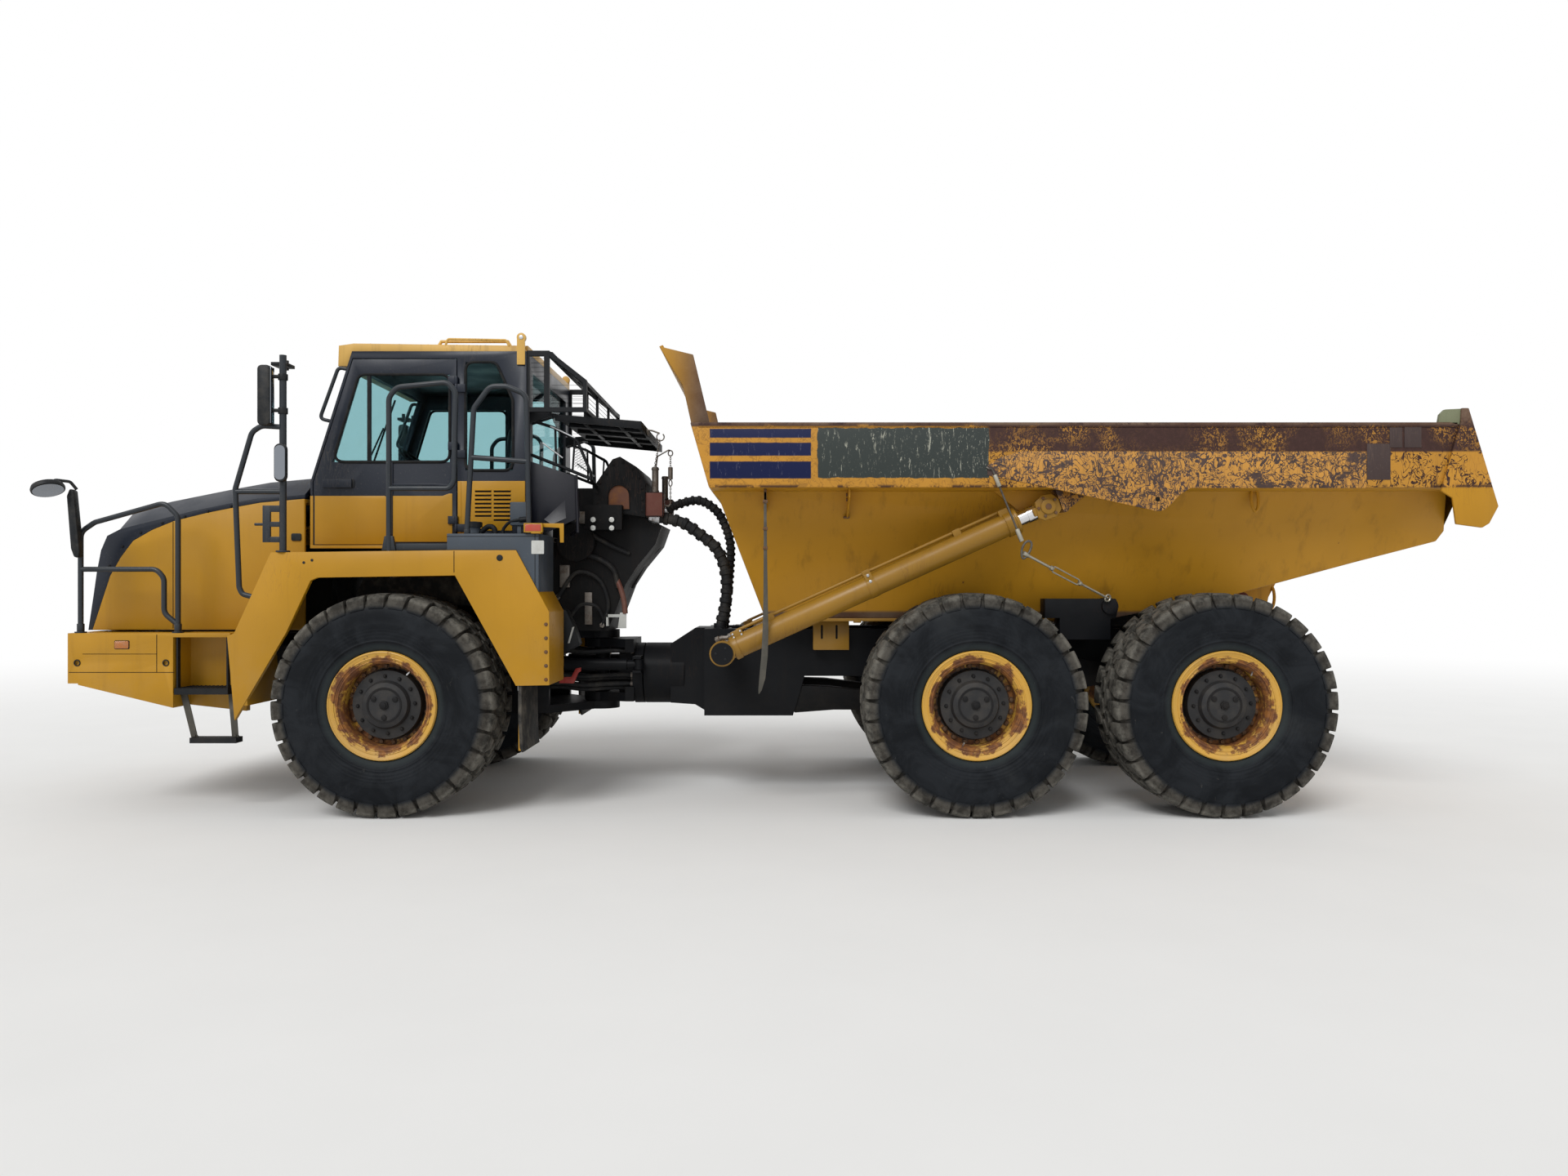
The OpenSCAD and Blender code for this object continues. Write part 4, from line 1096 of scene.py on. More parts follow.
class Repeater:
    """Geometry Nodes tree that repeats an item round a ring, over a grid or along a path."""

    def __init__(self, layout: Layout) -> None:
        """Builds the tree.

        Args:
            layout: how the item is repeated.
        """
        self.layout = layout
        self.tree = bpy.data.node_groups.new(f"repeat_{layout.value}", "GeometryNodeTree")
        face = self.tree.interface
        face.new_socket("Geometry", in_out="INPUT", socket_type="NodeSocketGeometry")
        for name, kind in (("Item", "NodeSocketObject"), ("Count", "NodeSocketInt"),
                           ("Rows", "NodeSocketInt"), ("Radius", "NodeSocketFloat"),
                           ("Phase", "NodeSocketFloat"), ("Start", "NodeSocketVector"),
                           ("Step", "NodeSocketVector"), ("Row Step", "NodeSocketVector"),
                           ("Roll", "NodeSocketFloat"), ("Material", "NodeSocketMaterial")):
            face.new_socket(name, in_out="INPUT", socket_type=kind)
        face.new_socket("Geometry", in_out="OUTPUT", socket_type="NodeSocketGeometry")
        self.source = self.tree.nodes.new("NodeGroupInput")
        item = self.node("GeometryNodeObjectInfo", Object="Item")
        spread = self.tree.nodes.new("GeometryNodeInstanceOnPoints")
        points, turn = getattr(self, layout.value)()
        self.link(points, spread.inputs["Points"])
        self.link(item.outputs["Geometry"], spread.inputs["Instance"])
        if turn is not None:
            self.link(turn, spread.inputs["Rotation"])
        real = self.tree.nodes.new("GeometryNodeRealizeInstances")
        dress = self.node("GeometryNodeSetMaterial", Material="Material")
        out = self.tree.nodes.new("NodeGroupOutput")
        self.link(spread.outputs[0], real.inputs[0])
        self.link(real.outputs[0], dress.inputs["Geometry"])
        self.link(dress.outputs[0], out.inputs[0])

    def link(self, start: Any, end: Any) -> None:
        """Joins an output to an input."""
        self.tree.links.new(start, end)

    def node(self, kind: str, **inputs: str) -> Any:
        """Node whose inputs read the tree's named inputs.

        Args:
            kind: Blender's type of the node.
            inputs: its inputs, with the name that each reads.

        Returns:
            The node.
        """
        node = self.tree.nodes.new(kind)
        for socket, name in inputs.items():
            self.link(self.source.outputs[name], node.inputs[socket])
        return node

    def sum(self, operation: str, a: Any, b: Any) -> Any:
        """Math node on sockets or numbers.

        Args:
            operation: Blender's name of the operation.
            a, b: sockets or numbers.

        Returns:
            The output socket.
        """
        node = self.tree.nodes.new("ShaderNodeMath")
        node.operation = operation
        for socket, value in zip(node.inputs, (a, b)):
            if isinstance(value, bpy.types.NodeSocket):
                self.link(value, socket)
            else:
                socket.default_value = value
        return node.outputs[0]

    def scaled(self, vector: str, factor: Any) -> Any:
        """One of the tree's vectors times a number."""
        node = self.tree.nodes.new("ShaderNodeVectorMath")
        node.operation = "SCALE"
        self.link(self.source.outputs[vector], node.inputs[0])
        self.link(factor, node.inputs["Scale"])
        return node.outputs[0]

    def added(self, a: Any, b: Any) -> Any:
        """Sum of two vectors."""
        node = self.tree.nodes.new("ShaderNodeVectorMath")
        self.link(a, node.inputs[0])
        self.link(b, node.inputs[1])
        return node.outputs[0]

    def vector(self, **parts: Any) -> Any:
        """Vector from its parts."""
        node = self.tree.nodes.new("ShaderNodeCombineXYZ")
        for name, value in parts.items():
            self.link(value, node.inputs[name])
        return node.outputs[0]

    def placed(self, count: Any, place: Any) -> Any:
        """Points moved to a computed place.

        Args:
            count: how many.
            place: vector socket of each point's place.

        Returns:
            The geometry socket.
        """
        row = self.tree.nodes.new("GeometryNodeMeshLine")
        self.link(count, row.inputs["Count"])
        move = self.tree.nodes.new("GeometryNodeSetPosition")
        self.link(row.outputs[0], move.inputs["Geometry"])
        self.link(place, move.inputs["Position"])
        return move.outputs[0]

    def ring(self) -> tuple[Any, Any]:
        """Points and turns round the Y axis."""
        source = self.source.outputs
        index = self.tree.nodes.new("GeometryNodeInputIndex").outputs[0]
        share = self.sum("DIVIDE", index, source["Count"])
        angle = self.sum("ADD", self.sum("MULTIPLY", share, 2 * math.pi), source["Phase"])
        place = self.vector(X=self.sum("MULTIPLY", self.sum("COSINE", angle, 0.0), source["Radius"]),
                            Z=self.sum("MULTIPLY", self.sum("SINE", angle, 0.0), source["Radius"]))
        points = self.placed(source["Count"], self.added(place, source["Start"]))
        return points, self.vector(Y=self.sum("MULTIPLY", angle, -1.0))

    def grid(self) -> tuple[Any, Any]:
        """Points of a grid from its start and two steps."""
        source = self.source.outputs
        index = self.tree.nodes.new("GeometryNodeInputIndex").outputs[0]
        column = self.sum("MODULO", index, source["Count"])
        row = self.sum("FLOOR", self.sum("DIVIDE", index, source["Count"]), 0.0)
        place = self.added(self.scaled("Step", column), self.scaled("Row Step", row))
        total = self.sum("MULTIPLY", source["Count"], source["Rows"])
        return self.placed(total, self.added(place, source["Start"])), None

    def path(self) -> tuple[Any, Any]:
        """Evenly spaced points along the object's own edges, with the item's X along them."""
        curve = self.tree.nodes.new("GeometryNodeMeshToCurve")
        self.link(self.source.outputs["Geometry"], curve.inputs[0])
        even = self.node("GeometryNodeResampleCurve", Count="Count")
        self.link(curve.outputs[0], even.inputs["Curve"])
        points = self.tree.nodes.new("GeometryNodeCurveToPoints")
        points.mode = "EVALUATED"
        self.link(even.outputs[0], points.inputs["Curve"])
        aim = self.tree.nodes.new("FunctionNodeAlignRotationToVector")
        aim.axis = "X"
        self.link(points.outputs["Tangent"], aim.inputs["Vector"])
        index = self.tree.nodes.new("GeometryNodeInputIndex").outputs[0]
        roll = self.vector(X=self.sum("MULTIPLY", index, self.source.outputs["Roll"]))
        turn = self.tree.nodes.new("FunctionNodeRotateRotation")
        turn.rotation_space = "LOCAL"
        self.link(aim.outputs[0], turn.inputs["Rotation"])
        self.link(roll, turn.inputs["Rotate By"])
        return points.outputs["Points"], turn.outputs[0]

    def make(self, name: str, item: Shape, finish: Finish, body: Optional[str], *,
             route: Sequence[Point] = (), moved: Optional[Matrix] = None, angle: float = SHARP,
             replaces: Sequence[str] = (), **values: Any) -> bpy.types.Object:
        """Runs the tree and ends its result as a piece.

        Args:
            name: name of the piece.
            item: shape that is repeated, about its own origin.
            finish: finish of the piece.
            body: body that carries it.
            route: points of the path, for a path layout.
            moved: matrix laid on the result.
            angle: sharpest smoothed edge.
            replaces: CAD nodes it stands for.
            values: the tree's inputs, with spaces as underscores.

        Returns:
            The object.
        """
        part = item.piece(name + "_item", finish, None, angle)
        mesh = bpy.data.meshes.new(name)
        mesh.from_pydata(list(route), [(i, i + 1) for i in range(len(route) - 1)], [])
        obj = shown(bpy.data.objects.new(name, mesh))
        modifier = obj.modifiers.new("repeat", "NODES")
        modifier.node_group = self.tree
        sockets = {s.name: s.identifier for s in self.tree.interface.items_tree if s.in_out == "INPUT"}
        modifier[sockets["Item"]] = part
        modifier[sockets["Material"]] = finish.build()
        for key, value in values.items():
            modifier[sockets[key.replace("_", " ")]] = value
        obj.update_tag()
        baked(obj)
        bpy.context.scene.collection.objects.unlink(obj)
        bpy.data.objects.remove(part)
        if moved is not None:
            obj.data.transform(moved)
            if moved.determinant() < 0:
                obj.data.flip_normals()
        shade(obj.data, angle)
        return settle(obj, finish, body, replaces)

    def pair(self, name: str, item: Callable[[], Shape], finish: Finish, body: str, **values: Any) -> None:
        """Runs the tree for the left side and, mirrored, for the right one."""
        for side in Side:
            self.make(f"{name}_{side.tag}", item(), finish, body, moved=mirror_y(side), **values)


RING = Repeater(Layout.RING)
GRID = Repeater(Layout.GRID)
PATH = Repeater(Layout.PATH)


def smooth_path(points: Sequence[Point], steps: int = 10) -> list[Point]:
    """Catmull-Rom curve through some points.

    Args:
        points: points that the curve passes.
        steps: parts between each pair.

    Returns:
        The points of the curve.
    """
    pts = [Vector(p) for p in points]
    pts = [2 * pts[0] - pts[1], *pts, 2 * pts[-1] - pts[-2]]
    out = []
    for a, b, c, d in zip(pts, pts[1:], pts[2:], pts[3:]):
        for k in range(steps):
            t = k / steps
            out.append(tuple(0.5 * ((2 * b) + (c - a) * t + (2 * a - 5 * b + 4 * c - d) * t * t
                                    + (3 * b - a - 3 * c + d) * t ** 3)))
    out.append(tuple(pts[-2]))
    return out


def bolt(radius: float, height: float, way: Point = (0, 1, 0), washer: float = 1.35) -> Shape:
    """Hexagon bolt head on a washer, about the origin.

    Args:
        radius: radius over the corners.
        height: height of the head.
        way: direction it points in.
        washer: size of the washer, as a multiple of the radius.

    Returns:
        The shape.
    """
    shape = Shape()
    if washer > 1:
        shape.disc((0, 0, 0), way, radius * washer, height * 0.22, 14, 0)
    shape.disc(tuple(height * 0.15 * v for v in way), way, radius, height * 0.85, 6, height * 0.12)
    return shape


def mirror_y(side: Side) -> Optional[Matrix]:
    """Matrix that takes a piece made on the left to a side."""
    return None if side is Side.LEFT else Matrix.Diagonal((1, -1, 1, 1))


# Wheels

@dataclass
class Wheel:
    """One wheel: tyre with rock lugs, rim with its lips, bolts and planet cover."""

    axle: Axle
    side: Side
    track: float = 1.15
    lugs: int = 32
    lug_r: float = 0.79
    sharp: float = math.radians(24)

    @property
    def body(self) -> str:
        """Body of this wheel."""
        return f"wheel_{self.axle.tag}_{self.side.tag}"

    @property
    def centre(self) -> Vector:
        """Middle of the wheel."""
        return Vector((self.axle.x, self.side.value * self.track, HUB_Z))

    def carcass(self) -> Shape:
        """Sidewalls and the floor of the tread, about the wheel's middle."""
        half = [(0.3185, 0.0), (0.3185, 0.249), (0.391, 0.2495), (0.396, 0.262), (0.408, 0.270),
                (0.430, 0.2745), (0.452, 0.2815), (0.456, 0.2865), (0.462, 0.2880), (0.470, 0.2860),
                (0.500, 0.2925), (0.540, 0.2975), (0.570, 0.2990), (0.575, 0.2998), (0.583, 0.2998),
                (0.588, 0.2990), (0.620, 0.2985), (0.655, 0.2965), (0.684, 0.2925), (0.700, 0.2860),
                (0.712, 0.2720), (0.735, 0.2600), (0.755, 0.2440), (0.764, 0.2200), (0.7665, 0.12),
                (0.767, 0.0)]
        profile = half + [(r, -w) for r, w in reversed(half[1:-1])]
        return Shape().lathe(profile, (0, 0, 0), (0, 1, 0), 128)

    def shoulder(self, sign: int, phase: float) -> Shape:
        """One shoulder lug, which reaches from the sidewall over the tread.

        Args:
            sign: -1 or 1, the side of the tread.
            phase: angle of the lug's middle.

        Returns:
            The shape.
        """
        section = [(0.690, 0.2955), (0.716, 0.2930), (0.742, 0.2895), (0.766, 0.2840), (0.782, 0.2750),
                   (0.7915, 0.2600), (0.7955, 0.2350), (0.7985, 0.1700), (0.7992, 0.1000)]
        under = [(0.690, 0.270), (0.710, 0.265), (0.730, 0.255), (0.745, 0.245), (0.752, 0.235),
                 (0.756, 0.225), (0.758, 0.205), (0.760, 0.150), (0.760, 0.096)]
        spread = [0.058, 0.061, 0.0635, 0.065, 0.0655, 0.064, 0.061, 0.047, 0.029]
        lean = [0.0, 0.0, 0.0, 0.0, 0.002, 0.004, 0.008, 0.018, 0.027]
        shape = Shape()
        loops = []
        for (r, w), (ru, wu), half, shift in zip(section, under, spread, lean):
            loop = []
            for place, low in ((-1.05, True), (-1.0, False), (-0.5, False), (0.0, False), (0.5, False),
                               (1.0, False), (1.05, True)):
                angle = phase + (half * place + sign * shift) / self.lug_r
                rad, wid = (ru, wu) if low else (r, w)
                loop.append((rad * math.cos(angle), sign * wid, rad * math.sin(angle)))
            loops.append(loop)
        shape.rings(loops, bevel=0.0035)
        return shape

    def centre_block(self, sign: int, phase: float) -> Shape:
        """One six-sided block of the middle rows.

        Args:
            sign: -1 or 1, the side of the tread.
            phase: angle of the block's middle.

        Returns:
            The shape.
        """
        outline = [(-0.062, 0.046), (-0.036, 0.084), (0.020, 0.090), (0.058, 0.052), (0.040, 0.008),
                   (-0.030, 0.010)]
        loops = []
        for rad, grow in ((0.757, 1.08), (0.7965, 1.0), (0.7992, 0.93)):
            loop = []
            for along, wide in outline:
                angle = phase + along * grow / self.lug_r
                loop.append((rad * math.cos(angle), sign * (0.048 + (wide - 0.048) * grow),
                             rad * math.sin(angle)))
            loops.append(loop)
        return Shape().rings(loops)

    def build(self) -> None:
        """Builds the tyre and dresses the rim."""
        where = Matrix.Translation(self.centre)
        item = Shape()
        pitch = 2 * math.pi / self.lugs
        for sign in (-1, 1):
            for part in (self.shoulder(sign, 0.25 * pitch * sign + 0.5 * pitch),
                         self.centre_block(sign, 0.25 * pitch * sign)):
                mesh = bpy.data.meshes.new("lug")
                part.bm.to_mesh(mesh)
                part.bm.free()
                item.bm.from_mesh(mesh)
                bpy.data.meshes.remove(mesh)
        rubber = TyreRubber(self.axle)
        tread = RING.make(f"tread_{self.axle.tag}_{self.side.tag}", item, rubber, None,
                          Count=self.lugs, Radius=0.0, Phase=0.0, Start=(0, 0, 0), angle=self.sharp)
        shape = self.carcass()
        shape.bm.from_mesh(tread.data)
        bpy.data.objects.remove(tread)
        shape.moved(where).piece(f"tyre_{self.axle.tag}_{self.side.tag}_lugged", rubber, self.body,
                                 self.sharp, (f"tyre_{self.axle.tag}_{self.side.tag}",))
        self.dress_rim()

    def dress_rim(self) -> None:
        """Adds the lips, the bolts, the planet cover's plugs and the valve to the rim."""
        tag = f"{self.axle.tag}_{self.side.tag}"
        out = self.side.value
        way = (0, out, 0)
        where = Matrix.Translation(self.centre)
        paint = RimPaint("rim_paint", srgb(196, 150, 56), axle=self.axle, chips=0.5, runs=0.2,
                         dust_share=0.25)
        coat(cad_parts[f"rim_{tag}"], paint)
        lips = Shape()
        for radius, place, thick in ((0.380, 0.2735, 0.0065), (0.345, 0.268, 0.005), (0.322, 0.257, 0.006)):
            ring = [(radius * math.cos(t), out * place, radius * math.sin(t)) for t in turns(96)]
            lips.tube(ring, thick, 8, closed=True)
        lips.moved(where).piece(f"rim_lips_{tag}", paint, self.body)
        RING.make(f"wheel_bolts_{tag}", bolt(0.0165, 0.026, way), RUST_BOLT, self.body, Count=20,
                  Radius=0.276, Phase=0.1, Start=tuple(self.centre + Vector((0, out * 0.0945, 0))))
        RING.make(f"hub_bolts_{tag}", bolt(0.011, 0.016, way), HUB_PAINT, self.body, Count=12,
                  Radius=0.205, Phase=0.05, Start=tuple(self.centre + Vector((0, out * 0.1735, 0))))
        face = self.centre + Vector((0, out * 0.2215, 0))
        plugs = Shape()
        plugs.disc(tuple(face), way, 0.034, 0.014, 6, 0.003)
        plugs.disc(tuple(face + Vector((0, out * 0.012, 0))), way, 0.020, 0.010, 18, 0.002)
        for angle in (0.5, 2.6, 4.7):
            spot = face + 0.088 * Vector((math.cos(angle), 0, math.sin(angle)))
            plugs.disc(tuple(spot), way, 0.020, 0.010, 8, 0.002)
        plugs.lathe([(0.112, -0.006), (0.126, -0.004), (0.126, 0.004), (0.112, 0.004)],
                    tuple(face), way, 48)
        plugs.piece(f"hub_plugs_{tag}", HUB_PAINT, self.body)
        angle = -1.9 if self.axle is Axle.MIDDLE else 0.9
        foot = self.centre + Vector((0.306 * math.cos(angle), out * 0.21, 0.306 * math.sin(angle)))
        bend = foot + Vector((0, out * 0.03, 0))
        tip = foot + Vector((-0.03 * math.cos(angle), out * 0.052, -0.03 * math.sin(angle)))
        valve = Shape().tube([tuple(foot), tuple(bend), tuple(tip)], 0.006, 8)
        valve.piece(f"valve_{tag}", ZINC, self.body)


# Tractor

def filleted(points: Sequence[Point], radius: float, steps: int = 6) -> list[Point]:
    """Rounds the corners of a path.

    Args:
        points: corners of the path.
        radius: radius of each bend, less where a leg is short.
        steps: parts of each bend.

    Returns:
        The points of the rounded path.
    """
    pts = [Vector(p) for p in points]
    out = [points[0]]
    for before, corner, after in zip(pts, pts[1:], pts[2:]):
        to_a, to_b = before - corner, after - corner
        turn = to_a.angle(to_b)
        reach = min(radius / max(math.tan(turn / 2), 1e-4), 0.45 * to_a.length, 0.45 * to_b.length)
        start, end = corner + reach * to_a.normalized(), corner + reach * to_b.normalized()
        for k in range(steps + 1):
            t = k / steps
            out.append(tuple((1 - t) ** 2 * start + 2 * t * (1 - t) * corner + t * t * end))
    out.append(points[-1])
    return out


def rounded(low: Flat, high: Flat, radius: float, steps: int = 5) -> list[Flat]:
    """Rectangle with round corners, as an outline.

    Args:
        low, high: corners of the rectangle.
        radius: radius of its corners.
        steps: parts of each corner.

    Returns:
        The points of the outline.
    """
    out = []
    right, left, top, foot = high[0] - radius, low[0] + radius, high[1] - radius, low[1] + radius
    for cx, cy, start in ((right, top, 0.0), (left, top, 0.5), (left, foot, 1.0), (right, foot, 1.5)):
        for k in range(steps + 1):
            angle = math.pi * (start + 0.5 * k / steps)
            out.append((cx + radius * math.cos(angle), cy + radius * math.sin(angle)))
    return out


@dataclass
class Rails:
    """Bent rails on the bumper, the fenders and beside the door, with the mirror masts."""

    radius: float = 0.019
    front_y: float = -1.15
    side_y: float = -1.37
    bend: float = 0.085

    def paths(self) -> list[tuple[float, list[Flat]]]:
        """Y of each rail and its points in x and z, on the left side."""
        return [
            (self.front_y, [(-4.981, 1.300), (-4.981, 2.045), (-4.879, 2.115), (-4.365, 2.259),
                            (-4.269, 2.161), (-4.269, 1.300)]),
            (self.front_y, [(-4.981, 1.772), (-4.425, 1.772), (-4.371, 1.707), (-4.371, 1.450),
                            (-4.269, 1.366)]),
            (self.side_y, [(-3.6172, 1.572), (-3.691, 1.592), (-3.712, 1.640), (-3.740, 2.338),
                           (-3.621, 2.745), (-3.554, 2.789), (-3.400, 2.780)]),
            (self.side_y, [(-3.738, 2.321), (-3.400, 2.321)]),
            (self.side_y, [(-2.647, 1.8975), (-2.647, 2.990), (-2.590, 3.064), (-2.229, 3.099),
                           (-2.171, 3.030), (-2.183, 2.390), (-2.217, 2.344), (-2.647, 2.344)]),
            (self.side_y, [(-2.090, 2.018), (-2.090, 2.060), (-2.043, 2.913), (-1.927, 3.070),
                           (-1.811, 3.070), (-1.668, 3.012), (-1.650, 2.100), (-1.650, 2.018)]),
            (self.side_y, [(-2.062, 2.565), (-1.660, 2.535)]),
        ]

    def build(self) -> None:
        """Builds the rails of both sides as one piece."""
        shape = Shape()
        for y, points in self.paths():
            path = filleted([(x, y, z) for x, z in points], self.bend)
            shape.tube(path, self.radius, 14)
        shape.tube([(-3.400, self.side_y, 1.8885), (-3.400, self.side_y, 3.291)], 0.024, 18)
        shape.tube(filleted([(-3.159, -0.820, 3.300), (-3.230, -0.820, 3.316), (-3.372, -0.820, 2.925),
                             (-3.285, -0.820, 2.905)], 0.05), 0.014, 12)
        self.feet(shape)
        self.plate(shape)
        shape.mirrored().piece("hand_rails", RAIL_PAINT, "tractor", replaces=("handrails",))

    def feet(self, shape: Shape) -> None:
        """Adds the sleeves and flanges that the rails stand in.

        Args:
            shape: shape of the rails.
        """
        for x in (-4.981, -4.269):
            shape.disc((x, self.front_y, 1.3065), UP, 0.040, 0.010, 18)
            shape.disc((x, self.front_y, 1.314), UP, 0.025, 0.060, 18)
        for x in (-2.090, -1.650):
            shape.disc((x, self.side_y, 2.0215), UP, 0.022, 0.030, 18)
        shape.disc((-3.400, self.side_y, 1.8895), UP, 0.048, 0.012, 18)
        shape.prism([(-2.697, 1.9010), (-2.597, 1.9020), (-2.617, 2.005), (-2.677, 2.005)],
                    self.side_y - 0.008, self.side_y + 0.024, bevel=0.003)
        shape.block((-2.600, self.side_y + 0.004, 1.9025), (-2.210, self.side_y + 0.024, 1.952), 0.003)

    def plate(self, shape: Shape) -> None:
        """Adds the plate with two windows low on the mast.

        Args:
            shape: shape of the rails.
        """
        y0, y1 = self.side_y - 0.010, self.side_y + 0.010
        for low, high in (((-3.542, 1.960), (-3.488, 2.222)), ((-3.488, 2.176), (-3.400, 2.222)),
                          ((-3.488, 2.070), (-3.400, 2.106)), ((-3.488, 1.960), (-3.400, 2.000))):
            shape.block((low[0], y0, low[1]), (high[0], y1, high[1]), 0.002)
        shape.tube([(-3.600, self.side_y, 2.088), (-3.500, self.side_y, 2.088)], 0.010, 12)


@dataclass
class Mirrors:
    """Round front mirrors, tall mirrors on the masts and their arms."""

    front: Point = (-5.097, -1.338, 2.352)
    aim: Point = (0.35, -0.25, -0.90)

    def build(self) -> None:
        """Builds housings and glasses for both sides."""
        body = Shape()
        body.lathe([(0.0, -0.030), (0.070, -0.028), (0.100, -0.014), (0.108, 0.006), (0.106, 0.020),
                    (0.0, 0.022)], self.front, self.aim, 40, False)
        body.tube(filleted([(-5.085, -1.333, 2.370), (-5.060, -1.318, 2.410), (-4.985, -1.262, 2.402),
                            (-4.962, -1.225, 2.350)], 0.03), 0.011, 12)
        front = [(-5.020, 2.300), (-4.998, 2.355), (-4.968, 2.340), (-4.925, 1.900), (-4.935, 1.852),
                 (-4.968, 1.858), (-4.990, 1.920)]
        body.prism(front, -1.255, -1.195, bevel=0.012)
        for z in (1.930, 2.010):
            body.tube([(-4.972, -1.150 - 0.018, z), (-4.965, -1.205, z)], 0.012, 12)
        body.prism(rounded((-3.554, 2.785), (-3.462, 3.212), 0.030), -1.440, -1.375, bevel=0.010)
        for z in (2.895, 3.135):
            body.tube([(-3.475, -1.400, z), (-3.405, -1.385, z)], 0.013, 12)
            body.disc((-3.400, -1.370, z - 0.022), UP, 0.033, 0.044, 16)
        body.prism(rounded((-3.440, 2.385), (-3.350, 2.658), 0.042), -1.432, -1.396, bevel=0.010)
        body.block((-3.412, -1.400, 2.505), (-3.380, -1.385, 2.540), 0.002)
        body.block((-3.500, -1.346, 3.225), (-3.390, -1.200, 3.250), 0.004)
        body.tube([(-3.445, -1.215, 3.215), (-3.445, -1.215, 3.285)], 0.016, 12)
        body.mirrored().piece("mirror_housings", PLASTIC_BLACK, "tractor", replaces=("mirrors",))
        glass = Shape()
        glass.block((-3.462, -1.434, 2.800), (-3.456, -1.381, 3.196), 0.001)
        glass.prism(rounded((-3.432, 2.400), (-3.358, 2.643), 0.034), -1.4345, -1.4315)
        glass.lathe([(0.0, 0.0215), (0.094, 0.0215), (0.096, 0.0235), (0.0, 0.0250)],
                    self.front, self.aim, 40, False)
        glass.mirrored().piece("mirror_glasses", MIRROR, "tractor")


